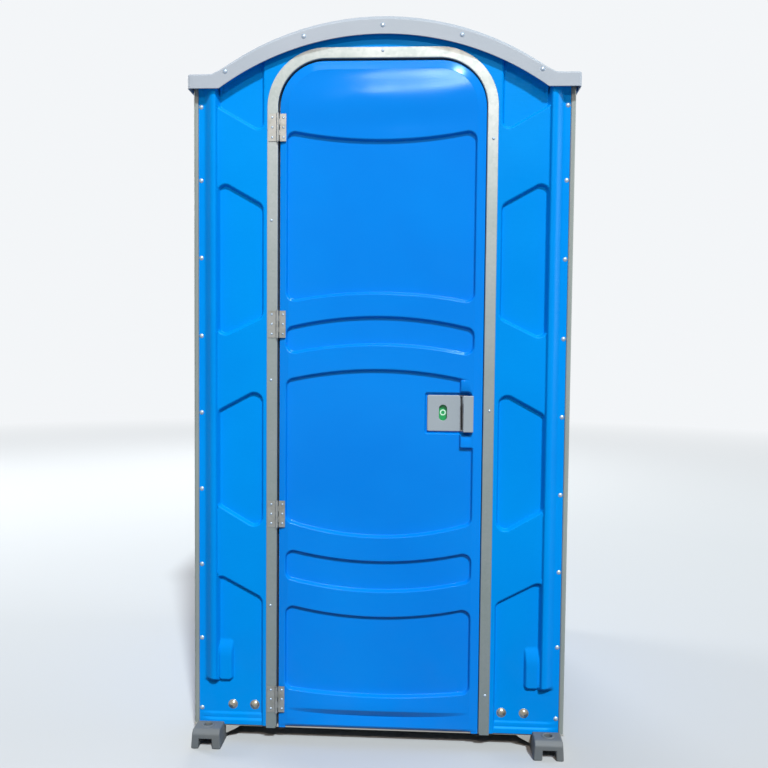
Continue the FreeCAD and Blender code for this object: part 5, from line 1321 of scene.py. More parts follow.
@dataclass
class FrontWall(EndWall):
    """Front wall with four recesses on each side of the doorway, two hand grips and the jamb."""

    y: float = -WALL_Y
    recess_x: float = 369.0
    recess_out: float = 502.0
    recess_r: float = 23.0
    top_r: float = 14.0
    outer_r: float = 20.0
    heights: tuple[Four, ...] = (
        (41.0, 41.0, 536.0, 459.0), (679.0, 757.0, 1048.0, 1120.0), (1347.0, 1282.0, 1759.0, 1685.0),
        (1913.0, 1988.0, 2230.0, 2230.0))
    grip: Four = (457.0, 508.0, 190.0, 330.0)
    grip_wall: Wall = Wall(13.0, 7.0, 4.0, 7.0)
    grip_top: float = 325.0
    doorway_x: float = 322.3
    doorway_top: float = 2131.3
    doorway_r: float = 150.3
    jamb_wall: float = 8.0
    jamb: Pair = (4.9, 22.0)
    jamb_bevel: float = 2.5

    def recesses(self) -> list[Array]:
        """Floors of the recesses.

        Returns:
            Those of the right side, each followed by its mirror image.
        """
        floors = []
        for i, (foot_in, foot_out, top_out, top_in) in enumerate(self.heights):
            out = self.recess_out + (12 if i == 0 else 0)
            foot_r = (0.0, self.recess_r, self.recess_r, self.top_r)[i]
            corners = [Corner(self.recess_x, foot_in, foot_r),
                       Corner(out, foot_out, 0 if i == 0 else self.outer_r),
                       Corner(out, top_out, 0 if i == 3 else self.outer_r),
                       Corner(self.recess_x, top_in, 0 if i == 3 else self.recess_r)]
            loop = outline(corners)
            floors += [loop, mirrored(loop)]
        return floors

    def grips(self) -> list[Array]:
        """Feet of the hand grips."""
        loop = rounded(*self.grip, 15.0)
        return [loop, mirrored(loop)]

    def extra(self, points: Array, height: Array) -> Array:
        """Adds the hand grips, their tops sloped.

        Args:
            points: places on the wall.
            height: its heights without them.

        Returns:
            Its heights with them.
        """
        slope = (self.grip_top - points[:, 1]) * 0.36
        for loop in self.grips():
            block = self.grip_wall.rise(-distance(loop, points))
            height = np.maximum(height, softer(block, slope, 8, True))
        return height

    def lines(self) -> list[Array]:
        """All lines that the mesh follows.

        Returns:
            Closed outlines, those of the grips last.
        """
        found = super().lines()
        for loop in self.grips():
            found += contours(self.grip_wall, [loop], -1)
            u0, v0 = loop.min(axis=0)
            u1 = loop.max(axis=0)[0]
            found += [rounded(u0, u1, v0, z, 0.0) for z in (212, 218, 226, 268, 276, 284, 290, 297, 304, 312)]
        return found

    def build(self) -> None:
        """Makes the wall."""
        border, opening = self.border(), self.opening_path()
        foot = border[:, 1] <= WALL_BOTTOM + 0.01
        gap = foot & (np.abs(border[:, 0]) < self.doorway_x)
        first = int(np.argmax(gap))
        last = first + int(gap.sum())
        cut = np.concatenate([border[:first], opening, border[last:]])
        plane = front_plane(self.y)
        shell = Shell()
        Sheet(plane, cut, self.height, self.lines()).build(shell)
        (front, back), wall, bevel = self.jamb, self.jamb_wall, self.jamb_bevel
        section = [(0.0, -front), (wall, -front), (wall, -back + bevel), (wall - bevel, -back), (0.0, -back)]
        slotted_sweep(shell, plane, opening, section, BOLT_SLOT)
        fit(shell, "front_wall", Slot.WALL, "cabin", "front_panel")

    def opening_path(self, grow: float = 0.0) -> Array:
        """The doorway's edge.

        Args:
            grow: how far the path stands out from it.

        Returns:
            Points from the foot of its left side over the arch to the foot of its right side.
        """
        x, top, radius = self.doorway_x + grow, self.doorway_top + grow, self.doorway_r + grow
        points = between((-x, WALL_BOTTOM), (-x, top - radius), 45)
        for sign, start in ((-1, math.pi), (1, math.pi / 2)):
            centre = np.array((sign * (x - radius), top - radius))
            for i in range(1, 25):
                angle = start - math.pi / 2 * i / 24
                points.append(centre + radius * np.array((math.cos(angle), math.sin(angle))))
            if sign < 0:
                points += between(points[-1], (x - radius, top), 45)[1:]
        points += between(points[-1], (x, WALL_BOTTOM), 45)[1:]
        return np.array(points)


@dataclass
class RearWall(EndWall):
    """Rear wall with three wide recesses."""

    field_height: float = 12.0
    field_foot: float = 134.0
    y: float = WALL_Y
    recess_half: float = 440.0
    levels: tuple[Pair, ...] = ((150.0, 620.0), (700.0, 1240.0), (1320.0, 1900.0))
    recess: Wall = Wall(12.0, 6.0, 5.0, 8.0)

    def recesses(self) -> list[Array]:
        """Floors of the recesses."""
        return stacked(self.recess_half, self.levels, 40.0)

    def lines(self) -> list[Array]:
        """All lines that the mesh follows."""
        steps = [self.field_foot + lift for lift in (-1.5, 0, 1.5, 4, 6, 8)]
        return super().lines() + [rounded(-508, 508, z, 2330, 0.0) for z in steps]

    def build(self) -> None:
        """Makes the wall."""
        shell = Shell()
        Sheet(rear_plane(self.y), self.border(), self.height, self.lines()).build(shell)
        fit(shell, "rear_wall", Slot.WALL, "cabin", "rear_panel")


@dataclass
class SideWall:
    """Side wall with four recesses, a sill and a row of louvres."""

    side: int
    x: float = WALL_X
    half: float = 558.0
    field: Triple = (490.0, 96.0, 2022.0)
    field_wall: Wall = Wall(12.0, 5.0, 4.0, 7.0)
    recess: Wall = Wall(12.0, 6.0, 5.0, 8.0)
    recess_half: float = 440.0
    levels: tuple[Pair, ...] = ((150.0, 620.0), (700.0, 1240.0), (1320.0, 1700.0), (1745.0, 1950.0))
    louvres: tuple[float, ...] = (1780.0, 1812.0, 1844.0, 1876.0, 1908.0)
    louvre_half: float = 150.0
    sill: Triple = (87.0, 67.0, 3.5)
    top: float = 2071.0

    def floors(self) -> list[Array]:
        """Floors of the recesses."""
        return stacked(self.recess_half, self.levels, 40.0)

    def land(self) -> Array:
        """Foot of the raised field."""
        edge, low, high = self.field
        return rounded(-edge, edge, low, high, 12.0)

    def height(self, points: Array) -> Array:
        """Height of the surface over the wall's flange.

        Args:
            points: places on the wall.

        Returns:
            One height for each place.
        """
        h = self.field_wall.rise(-distance(self.land(), points))
        for floor in self.floors():
            h = h - (self.recess.height - self.recess.rise(distance(floor, points))) * h / self.recess.height
        top, foot, out = self.sill
        z = points[:, 1]
        ledge = softer((top - z) * out / (top - foot), np.full_like(z, out), 1.5, True)
        return softer(h, ledge, 1.5)

    def slot_outline(self, z: float) -> Array:
        """Opening behind a louvre."""
        return rounded(-self.louvre_half + 7, self.louvre_half - 7, z - 9, z + 2, 3.0)

    def hood(self, shell: Shell, z: float) -> None:
        """Adds a louvre's hood.

        Args:
            shell: the mesh.
            z: height of its lower edge.
        """
        plane = side_plane(self.side * self.x)
        section = [(-0.5, 13.5), (1.2, 12.4), (8.2, 2.2), (9.0, 0.6), (9.0, -3.2), (8.2, -4.0), (6.8, -4.0),
                   (6.0, -3.2), (6.0, 0.2), (-0.5, 8.8)]
        half = self.louvre_half
        spots = [(-half, 0.0), (-half + 1.2, 0.55), (-half + 4, 0.9), (-half + 8, 1.0)]
        spots += [(-u, share) for u, share in reversed(spots)]
        for (out0, up0), (out1, up1) in zip(section, section[1:]):
            length = math.hypot(out1 - out0, up1 - up0)
            side, up = (up0 - up1) / length, (out1 - out0) / length
            rings = []
            for out, high in ((out0, up0), (out1, up1)):
                flat = np.array([(u, z + high) for u, _ in spots])
                lift = np.array([out * share - 0.5 * (1 - share) for _, share in spots])
                rings.append(plane.points(flat, lift))
            normals = plane.ways(np.tile((0.0, up), (len(spots), 1)), side)
            shell.skin(rings, [normals, normals], False)

    def build(self) -> None:
        """Makes the wall."""
        lines = contours(self.field_wall, [self.land()], -1) + contours(self.recess, self.floors())
        for z in (88.5, 86, 85, 69, 67, 65):
            lines.append(rounded(-self.half - 5, self.half + 5, 20, z, 0.0))
        border = rounded(-self.half, self.half, WALL_BOTTOM, self.top, 0.0)
        holes = [self.slot_outline(z) for z in self.louvres]
        shell = Shell()
        Sheet(side_plane(self.side * self.x), border, self.height, lines, holes).build(shell)
        for z in self.louvres:
            self.hood(shell, z)
        name = "right" if self.side > 0 else "left"
        fit(shell, f"side_wall_{name}", Slot.WALL, "cabin", f"side_panel_{name}")


@dataclass
class CornerStrips:
    """Strips at the four corners, each with a rounded nose and a leg behind either wall."""

    nose: float = 15.7
    top: float = 2062.0
    leg: float = 3.7
    leg_width: float = 26.0
    leg_out: Pair = (574.7, 564.7)

    def build(self) -> None:
        """Makes the strips."""
        x1, y1 = HALF_WIDTH, HALF_DEPTH
        x0, y0 = x1 - self.nose, y1 - self.nose
        places = ((x0, y0, 2), (x1, y0, 4), (x1, y1, 8), (x0, y1, 4))
        section = outline([Corner(*place) for place in places], turn=10)
        x, y = self.leg_out
        legs = [rounded(x - self.leg_width, x, y - self.leg, y, 0.5),
                rounded(x - self.leg, x, y - self.leg_width, y, 0.5)]
        for depth, y_way in (("front", -1), ("rear", 1)):
            for side, x_way in (("left", -1), ("right", 1)):
                shell = Shell()
                for loop in (section, *legs):
                    turned = (loop * (x_way, y_way))[::x_way * y_way]
                    slab(shell, level_plane(0), turned, WALL_BOTTOM, self.top, 0.8)
                fit(shell, f"strip_{depth}_{side}", Slot.STRIP, "cabin", f"corner_strip_{depth}_{side}")


# Hard parts and fasteners

def reworked(mesh: bpy.types.Mesh, work: Callable[[bmesh.types.BMesh], object]) -> None:
    """Puts a mesh through an edit.

    Args:
        mesh: the mesh.
        work: the edit.
    """
    form = bmesh.new()
    form.from_mesh(mesh)
    work(form)
    form.to_mesh(mesh)
    form.free()


@dataclass
class Block:
    """Hard part in the making: a cage of flat faces, drilled, whose edges a bevel rounds off.

    Each of its drills gives a hole's start, direction, radius and length.
    """

    bevel: float
    segments: int = 3
    drills: Sequence[tuple[Triple, Triple, float, float]] = ()
    points: list[Array] = field(default_factory=list)
    faces: list[list[int]] = field(default_factory=list)
    count: int = 0

    def loft(self, rings: Sequence[Array]) -> None:
        """Adds a closed body.

        Args:
            rings: rings of places that it passes through, equally many places in each.
        """
        wide, base = len(rings[0]), self.count
        for k in range(len(rings) - 1):
            a = base + k * wide
            self.faces += [[a + i, a + (i + 1) % wide, a + wide + (i + 1) % wide, a + wide + i]
                           for i in range(wide)]
        last = base + (len(rings) - 1) * wide
        self.faces += [list(range(base + wide - 1, base - 1, -1)), list(range(last, last + wide))]
        self.points += [np.asarray(ring, float) for ring in rings]
        self.count += wide * len(rings)

    def bar(self, plane: Plane, loop: Array, low: float, high: float) -> None:
        """Adds a plate or bar with the outline as its section, between two heights over the plane."""
        self.loft([plane.points(loop, low), plane.points(loop, high)])

    def make(self, name: str, finish: Material) -> Piece:
        """Writes the cage into the scene, drills it and rounds its edges.

        Args:
            name: the piece's name.
            finish: its material.

        Returns:
            The new object.
        """
        mesh = mesh_of(name, np.concatenate(self.points), self.faces)
        piece = linked(name, mesh)
        reworked(mesh, lambda form: bmesh.ops.recalc_face_normals(form, faces=form.faces))
        for drill in self.drills:
            self.cut(piece, *drill)
        piece.data.polygons.foreach_set("use_smooth", [True] * len(piece.data.polygons))
        rounding = piece.modifiers.new("rounding", "BEVEL")
        rounding.width = self.bevel * MM
        rounding.segments = self.segments
        rounding.limit_method = "ANGLE"
        rounding.angle_limit = math.radians(28)
        rounding.harden_normals = True
        piece.data.materials.clear()
        piece.data.materials.append(finish)
        return piece

    @staticmethod
    def cut(piece: Piece, at: Triple, way: Triple, radius: float, length: float) -> None:
        """Cuts a round hole.

        Args:
            piece: the part.
            at: where the hole starts.
            way: unit direction of the hole.
            radius: its radius.
            length: its length.
        """
        shell = Shell()
        lathe(shell, at, way, [(0.001, 0.0), (radius, 0.0), (radius, length), (0.001, length)], 32)
        mesh = shell.mesh("drill")
        reworked(mesh, lambda form: bmesh.ops.remove_doubles(form, verts=form.verts, dist=0.00001))
        cutter = linked("drill", mesh)
        cut = piece.modifiers.new("cut", "BOOLEAN")
        cut.operation = "DIFFERENCE"
        cut.solver = "EXACT"
        cut.object = cutter
        bpy.context.view_layer.update()
        carved = bpy.data.meshes.new_from_object(piece.evaluated_get(bpy.context.evaluated_depsgraph_get()))
        piece.modifiers.remove(cut)
        piece.data = carved
        bpy.data.objects.remove(cutter)


@dataclass
class Fasteners:
    """Dome rivets down the corners and round the skirt, and the bolts low on both end walls."""

    rivet_x: float = 560.0
    rivet_y: float = 548.0
    heights: tuple[float, ...] = (98.0, 325.0, 562.0, 803.0, 1044.0, 1284.0, 1526.0, 1764.0, 1988.0)
    head: float = 7.4
    rise: float = 3.4
    grip: float = 9.0
    roof: tuple[Pair, ...] = ((0.0, 2217.0), (237.5, 2186.0), (477.0, 2084.0))
    roof_y: float = 606.0
    roof_grip: float = 9.3
    bolt_x: tuple[float, ...] = (390.0, 460.0)
    bolt_z: float = 112.5
    bolt_head: float = 12.4
    bolt_rise: float = 5.8
    nut_y: float = 559.7

    def rivets(self, name: str, spots: Sequence[tuple[Triple, Triple]], grip: float, node: str) -> None:
        """Makes rivets, each with a rimmed dome and the upset tail behind what it holds.

        Args:
            name: the piece's name.
            spots: where each head sits and the way that it faces.
            grip: thickness of what they hold.
            node: the node that they stand for.
        """
        shell = Shell()
        for at, way in spots:
            dome(shell, at, way, self.head, self.rise, 24)
            tail = [a - w * grip for a, w in zip(at, way)]
            lathe(shell, tail, [-w for w in way], [(4.1, 0.0), (4.1, 1.4), (3.1, 2.4), (0.01, 2.4)], 16)
        fit(shell, name, Slot.RIVET, "cabin", node)

    def bolt(self, shell: Shell, x: float, end: int) -> None:
        """Adds a bolt: its rimmed dome, and behind the wall a washer, a six-sided nut and the bolt's end.

        Args:
            shell: the mesh.
            x: its place across the wall.
            end: -1 for the front wall, 1 for the rear wall.
        """
        out, back, z = (0, end, 0), (0, -end, 0), self.bolt_z
        rim = [(15.2, -0.4), (15.2, 0.7), (14.5, 1.3), (11.0, 1.5)]
        lathe(shell, (x, end * WALL_Y, z), out, rim, 48)
        dome(shell, (x, end * (WALL_Y + 1.2), z), out, self.bolt_head, self.bolt_rise, 48)
        at = (x, end * self.nut_y, z)
        lathe(shell, at, back, [(12.4, 0.0), (13.0, 0.5), (13.0, 1.5), (12.4, 2.0), (6.0, 2.0)], 32)
        start = np.array(at) + np.array(back) * 2.0
        lathe(shell, start, back, [(10.2, 0.0), (10.2, 7.0), (8.9, 8.0), (6.0, 8.0)], 6)
        lathe(shell, start, back, [(5.9, 7.0), (5.9, 11.4), (5.2, 12.0), (0.01, 12.0)], 24)

    def build(self) -> None:
        """Makes all of them."""
        both = (-1, 1)
        for end, name in ((-1, "front"), (1, "rear")):
            spots = [((side * self.rivet_x, end * WALL_Y, z), (0, end, 0))
                     for z in self.heights for side in both]
            self.rivets(f"rivets_{name}", spots, self.grip, f"{name}_rivets")
        spots = [((side * WALL_X, end * self.rivet_y, z), (side, 0, 0))
                 for z in self.heights for end in both for side in both]
        self.rivets("rivets_side", spots, self.grip, "side_rivets")
        spots = [((side * x, end * self.roof_y, z), (0, end, 0))
                 for end in both for x, z in self.roof for side in (both if x else (1,))]
        self.rivets("rivets_roof", spots, self.roof_grip, "roof_rivets")
        shell = Shell()
        for end in both:
            for x in self.bolt_x:
                for side in both:
                    self.bolt(shell, side * x, end)
        fit(shell, "base_bolts", Slot.FASTENER, "cabin", "carriage_bolts")


@dataclass
class Skids:
    """Two moulded runners with a channel below, a stake hole at each end, and the gussets beside them."""

    x: float = 529.0
    stake_x: float = 531.0
    stake_y: float = 604.0
    stake_r: float = 12.5
    foot_half: float = 46.5
    top_half: float = 43.0
    flare_z: float = 15.0
    channel_half: float = 21.5
    channel_top: float = 31.0
    pad: float = 60.0
    low: float = 44.6
    reach: float = 645.0
    pad_from: float = 579.0
    gusset: tuple[Pair, ...] = ((482.6, 44.6), (436.7, 44.6), (446.7, 36.7), (478.7, 20.0), (482.6, 20.0))
    gusset_y: Pair = (545.0, 575.0)

    def section(self, height: float, side: int) -> Array:
        """Section of a skid seen from the front.

        Args:
            height: height of its top.
            side: -1 for the left skid, 1 for the right one.

        Returns:
            Its outline.
        """
        middle = side * self.x
        c0, c1 = (side * self.stake_x + way * self.channel_half for way in (-1, 1))
        foot, top = self.foot_half, self.top_half
        channel = [(c0, 0), (c0 + 1.5, self.channel_top), (c1 - 1.5, self.channel_top), (c1, 0)]
        right = [(middle + foot, 0), (middle + foot - 1, self.flare_z), (middle + top, height)]
        left = [(middle - top, height), (middle - foot + 1, self.flare_z)]
        return np.array([(middle - foot, 0), *channel, *right, *left])

    def build(self) -> None:
        """Makes the skids, the collars round the stake holes and the gussets."""
        stations = [(self.reach, 47.0), (self.reach - 12, self.pad), (self.pad_from, self.pad),
                    (self.pad_from - 8, self.low)]
        stations += [(-y, height) for y, height in reversed(stations)]
        for side, name in ((-1, "left"), (1, "right")):
            drills = [((side * self.stake_x, y, -5.0), (0, 0, 1), self.stake_r, 80.0)
                      for y in (-self.stake_y, self.stake_y)]
            block = Block(4.2, 4, drills)
            block.loft([front_plane(-y).points(self.section(height, side), 0.0) for y, height in stations])
            fit(block, f"runner_{name}", Slot.SKID, "cabin", f"skid_{name}")
        shell = Shell()
        collar = [(20.8, 59.5), (20.0, 61.4), (19.2, 62.0), (14.6, 62.0), (13.4, 61.6), (12.6, 60.4),
                  (12.4, 57.0), (12.4, 38.0)]
        for side in (-1, 1):
            for end in (-1, 1):
                lathe(shell, (side * self.stake_x, end * self.stake_y, 0), (0, 0, 1), collar, 40, 50)
        fit(shell, "stake_collars", Slot.SKID, "cabin")
        block = Block(1.6)
        for loop in (np.array(self.gusset), np.array(self.gusset) * (-1, 1)):
            for low, high in (self.gusset_y, [-y for y in reversed(self.gusset_y)]):
                block.bar(front_plane(0), loop, low, high)
        fit(block, "runner_gussets", Slot.BASE, "cabin", "skid_gussets")


@dataclass
class Deck:
    """Non-slip studs on the floor's deck, in staggered rows."""

    top: float = 77.9
    pitch: float = 32.0
    row_pitch: float = 32.0 * 0.866
    stud: float = 7.5
    rise: float = 1.7
    x: float = 528.0
    y: Pair = (-515.0, 22.0)

    def build(self) -> None:
        """Makes the studs."""
        shell = Shell()
        profile = [(self.stud, 0.0), (self.stud - 1.1, self.rise), (0.01, self.rise + 0.25)]
        for row in range(int((self.y[1] - self.y[0]) / self.row_pitch) + 1):
            shift = self.pitch / 2 * (row % 2)
            for x in np.arange(-self.x + shift, self.x + 0.1, self.pitch):
                lathe(shell, (x, self.y[0] + row * self.row_pitch, self.top), (0, 0, 1), profile, 12, 30)
        fit(shell, "deck_studs", Slot.BASE, "cabin")


@dataclass
class Moulding:
    """Relief moulded on the tank's sloped front, and the flanges where the vent pipe meets tank and roof."""

    foot: Pair = (40.0, 78.0)
    lean: float = math.atan2(30.0, 402.0)
    land: Four = (-536.0, 536.0, 30.0, 368.0)
    wall: Wall = Wall(7.0, 5.0, 2.0, 3.5)
    panels: tuple[float, ...] = (-348.0, 0.0, 348.0)
    panel: Wall = Wall(5.0, 5.0, 3.0, 3.0)
    panel_half: float = 150.0
    panel_v: Pair = (72.0, 326.0)
    pipe: Pair = (-400.0, 480.0)
    pipe_foot: float = 480.0
    pipe_neck: float = 2167.0
    roof_way: Triple = (-0.494, 0.129, 0.860)

    def floors(self) -> list[Array]:
        """Floors of the three sunken panels."""
        return [rounded(u - self.panel_half, u + self.panel_half, *self.panel_v, 26.0) for u in self.panels]

    def height(self, points: Array) -> Array:
        """Height of the relief over the tank's front.

        Args:
            points: places on it.

        Returns:
            One height for each place.
        """
        h = self.wall.rise(-distance(rounded(*self.land, 30.0), points)) - 0.8
        for floor in self.floors():
            h = h - (self.panel.height - self.panel.rise(distance(floor, points)))
        return h

    def build(self) -> None:
        """Makes the relief and the flanges."""
        s, c = math.sin(self.lean), math.cos(self.lean)
        plane = Plane((0, *self.foot), (1, 0, 0), (0, s, c), (0, -c, s))
        land = rounded(*self.land, 30.0)
        lines = [grown(land, -s) for s in self.wall.stations() if s > 0.1]
        lines += contours(self.panel, self.floors())
        shell = Shell()
        Sheet(plane, land, self.height, lines, back=-1.5).build(shell)
        fit(shell, "tank_relief", Slot.TANK, "cabin")
        shell = Shell()
        foot = [(66.0, -0.4), (66.0, 1.6), (65.0, 2.6), (51.0, 3.4), (46.8, 8.0), (46.2, 15.0), (44.6, 15.6)]
        neck = [(72.0, -16.0), (72.0, 2.0), (70.6, 3.6), (60.0, 4.2), (40.0, 4.2)]
        lathe(shell, (*self.pipe, self.pipe_foot), (0, 0, 1), foot, 56)
        lathe(shell, (*self.pipe, self.pipe_neck), self.roof_way, neck, 56)
        fit(shell, "vent_flanges", Slot.PIPE, "cabin")


# Latch

@dataclass
class Latch:
    """Latch: plate with a window, pull, two-colour indicator with its ring, and inside a cover and a bolt."""

    plate: Four = (147.0, 273.0, 996.0, 1108.0)
    plate_y: float = -564.0
    plate_rise: float = 7.0
    window: Four = (183.3, 207.9, 1028.8, 1078.2)
    ring_at: Pair = (195.6, 1053.5)
    slide_y: float = -559.2
    slide_half: float = 27.7
    slide_rise: float = 1.9
    free: Pair = (-13.0, 13.2)
    engaged: Pair = (-39.2, -13.0)
    cover: Four = (-302.4, -139.0, 992.0, 1112.0)
    cover_y: float = -550.0
    cover_rise: float = 3.0
    bolt_y: Pair = (553.1, 559.1)

    def slide(self, name: str, ends: Pair, *nodes: str, finish: Material | None = None) -> None:
        """Makes one coloured half of the indicator.

        Args:
            name: the piece's name.
            ends: places of its left and right end beside the ring's middle.
            nodes: the node that it stands for.
            finish: its material, where it isn't the indicator's own.
        """
        shell = Shell()
        (x, z), half = self.ring_at, self.slide_half
        loop = rounded(x + ends[0], x + ends[1], z - half, z + half, 1.0)
        slab(shell, front_plane(self.slide_y), loop, 0.0, self.slide_rise, 0.3)
        fit(shell, name, Slot.INDICATOR, "latch", *nodes, finish=finish)

    def outside(self) -> None:
        """Makes the plate, the pull, and a dark insert in the groove between them that paints the gap's
        shadow.
        """
        shell = Shell()
        window = rounded(*self.window, 12.0, turn=10)
        places = ((252.0, 1000.0), (255.6, 1000.0), (255.6, 1106.0), (248.6, 1106.0))
        groove = outline([Corner(u, v, 0.6) for u, v in places])
        plane = front_plane(self.plate_y)
        plate = rounded(*self.plate, 5.0, turn=15)
        slab(shell, plane, plate, 0.0, self.plate_rise, 2.6, [window, groove], 1.2)
        fit(shell, "latch_front", Slot.LATCH, "door", "latch_plate")
        shell = Shell()
        # painted shadow: a dark insert sunk in the groove so the gap between plate and pull reads as shade
        slab(shell, plane, grown(groove, -0.08), 0.15, 1.2, 0.2)
        fit(shell, "latch_gap_seal", Slot.SCREEN, "door")
        block = Block(2.6, 4)
        section = np.array([(256.5, -600.0), (288.0, -600.0), (288.0, -585.2), (276.5, -585.2),
                            (276.5, -592.0), (259.5, -592.0)])
        block.bar(level_plane(0), section, *self.plate[2:])
        fit(block, "latch_handle", Slot.LATCH, "door", "latch_pull")

    def indicator(self) -> None:
        """Makes the indicator's two halves and its ring."""
        red = MouldedPlastic("indicator_red", (196, 30, 34), (180, 24, 30), 0.35, 0.05, dust=0.0)
        pale = MouldedPlastic("indicator_pale", (196, 236, 214), (186, 228, 204), 0.4, 0.05, dust=0.0)
        self.slide("indicator_free", self.free, "indicator_slide")
        self.slide("indicator_engaged", self.engaged, finish=red.material())
        shell = Shell()
        x, z = self.ring_at
        ring = [(9.4, -0.1), (9.2, 0.35), (8.9, 0.45), (6.0, 0.45), (5.7, 0.35), (5.5, -0.1)]
        lathe(shell, (x, self.slide_y - self.slide_rise, z), (0, -1, 0), ring, 40)
        fit(shell, "indicator_ring", Slot.INDICATOR, "latch", finish=pale.material())

    def inside_parts(self) -> None:
        """Makes the cover with its screws and the sliding bolt with its ribbed knob."""
        shell = Shell()
        opening = rounded(-253.0, -203.0, 1045.0, 1063.0, 6.0)
        cover = rounded(*self.cover, 8.0)
        slab(shell, rear_plane(self.cover_y), cover, 0.0, self.cover_rise, 1.0, [opening], 0.6)
        for x in (149.0, 292.5):
            for z in (1002.0, 1102.0):
                dome(shell, (x, self.cover_y + self.cover_rise, z), (0, 1, 0), 3.4, 1.6, 20)
        fit(shell, "latch_backplate", Slot.LATCH, "door", "latch_cover")
        block = Block(0.9)
        bolt = np.array([(160.0, 1042.0), (308.0, 1042.0), (313.0, 1046.0), (313.0, 1062.0), (308.0, 1066.0),
                         (160.0, 1066.0)])
        knob = np.array([(205.0, -556.0), (225.0, -556.0), (224.0, -533.0), (206.0, -533.0)])
        block.bar(front_plane(0), bolt, *self.bolt_y)
        block.bar(level_plane(0), knob, 1046.0, 1062.0)
        for x in (208.2, 212.0, 215.8, 219.6):
            block.bar(level_plane(0), rounded(x, x + 2.0, -534.0, -532.3, 0.0), 1047.0, 1061.0)
        fit(block, "latch_slide_bolt", Slot.BOLT, "latch", "latch_bolt")


# Door's inner side

@dataclass
class Liner:
    """Sheet that closes the back of the door, with four panels pressed into it."""

    face: float = -550.0
    thickness: float = 2.8
    inset: float = 10.3
    opening: Four = (150.0, 298.5, 1018.0, 1090.0)
    panel_x: float = 262.0
    levels: tuple[Pair, ...] = ((125.0, 500.0), (548.0, 930.0), (1190.0, 1530.0), (1578.0, 1925.0))
    panel: Wall = Wall(6.0, 7.0, 5.0, 5.0)
    rib: Pair = (60.0, 4.0)

    def floors(self) -> list[Array]:
        """Floors of the pressed panels."""
        return stacked(self.panel_x, self.levels, 34.0)

    def height(self, points: Array) -> Array:
        """Height of the surface over the sheet's face.

        Args:
            points: places on the sheet.

        Returns:
            One height for each place.
        """
        h = np.zeros(len(points))
        pitch, rise = self.rib
        for floor in self.floors():
            away = distance(floor, points)
            h -= self.panel.height - self.panel.rise(away)
            within = np.clip(-away / 30.0 - 0.6, 0, 1)
            h += rise * within * np.clip(1.5 - 6 * np.abs((points[:, 0] / pitch + 0.5) % 1 - 0.5), 0, 1)
        return h

    def build(self, door: "Door") -> None:
        """Makes the liner.

        Args:
            door: the door, whose outline it follows.
        """
        lines = []
        for floor in self.floors():
            lines += contours(self.panel, [floor]) + [grown(floor, -s) for s in (18.0, 33.0, 48.0)]
            low, high = floor.min(axis=0), floor.max(axis=0)
            for k in range(-4, 5):
                for off in (-0.25, -0.083, 0.083, 0.25):
                    u = self.rib[0] * (k + off)
                    if low[0] + 20 < u < high[0] - 20:
                        lines.append(np.array([(u, low[1] + 18.0), (u, high[1] - 18.0)]))
        border = mirrored(door.loop(self.inset))
        u0, u1, v0, v1 = self.opening
        hole = rounded(-u1, -u0, v0, v1, 6.0)
        shell = Shell()
        Sheet(rear_plane(self.face), border, self.height, lines, [hole], self.thickness).build(shell)
        fit(shell, "door_inner_skin", Slot.LINER, "door", "door_liner")


@dataclass
class ClosingSpring:
    """Coil spring that draws the door shut, hooked on a bracket at each end."""

    x: Pair = (-430.0, -170.0)
    y: float = -534.0
    z: float = 1985.0
    radius: float = 5.4
    wire: float = 1.15
    turns: int = 44
    pitch: float = 4.0
    around: int = 8
    steps: int = 18
    hook: float = 7.0
    bend: Pair = (-350.0, -215.0)

    def line(self) -> Array:
        """Middle line of the wire.

        Returns:
            Its points, from hook to hook.
        """
        middle = sum(self.x) / 2
        start = middle - self.turns * self.pitch / 2
        count = self.turns * self.steps
        share = np.arange(count + 1) / self.steps
        coil = np.stack([start + share * self.pitch, self.y + self.radius * np.sin(2 * math.pi * share),
                         self.z + self.radius * np.cos(2 * math.pi * share)], axis=1)
        ends = []
        for edge, way, tip in ((self.x[0], -1, coil[0]), (self.x[1], 1, coil[-1])):
            middle = edge - way * 9.0
            loop = [(middle + way * self.hook * math.sin(a), self.y, self.z - self.hook * math.cos(a) + 1.0)
                    for a in np.linspace(math.pi * 0.98, -math.pi * 0.55, 16)]
            lead = np.linspace(tip, loop[0], 10)[1:-1]
            ends.append(np.concatenate([lead, np.array(loop)]))
        return np.concatenate([ends[0][::-1], coil, ends[1]])

    def build(self) -> None:
        """Makes the spring."""
        line = self.line()
        ahead = np.gradient(line, axis=0)
        ahead /= np.linalg.norm(ahead, axis=1, keepdims=True)
        aside = np.cross(ahead, (1.0, 0.0, 0.0))
        weak = np.linalg.norm(aside, axis=1) < 0.2
        aside[weak] = np.cross(ahead[weak], (0.0, 1.0, 0.0))
        aside /= np.linalg.norm(aside, axis=1, keepdims=True)
        across = np.cross(ahead, aside)
        angles = np.linspace(0, 2 * math.pi, self.around, endpoint=False)[:, None]
        normals = [np.cos(angles) * a + np.sin(angles) * b for a, b in zip(aside, across)]
        shell = Shell()
        shell.skin([at + spokes * self.wire for at, spokes in zip(line, normals)], normals)
        piece = shell.make("closing_spring", STOCK.get(Slot.SPRING))
        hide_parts("door_spring")
        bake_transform(piece)
        log.info("made %s", piece.name)


# Roof

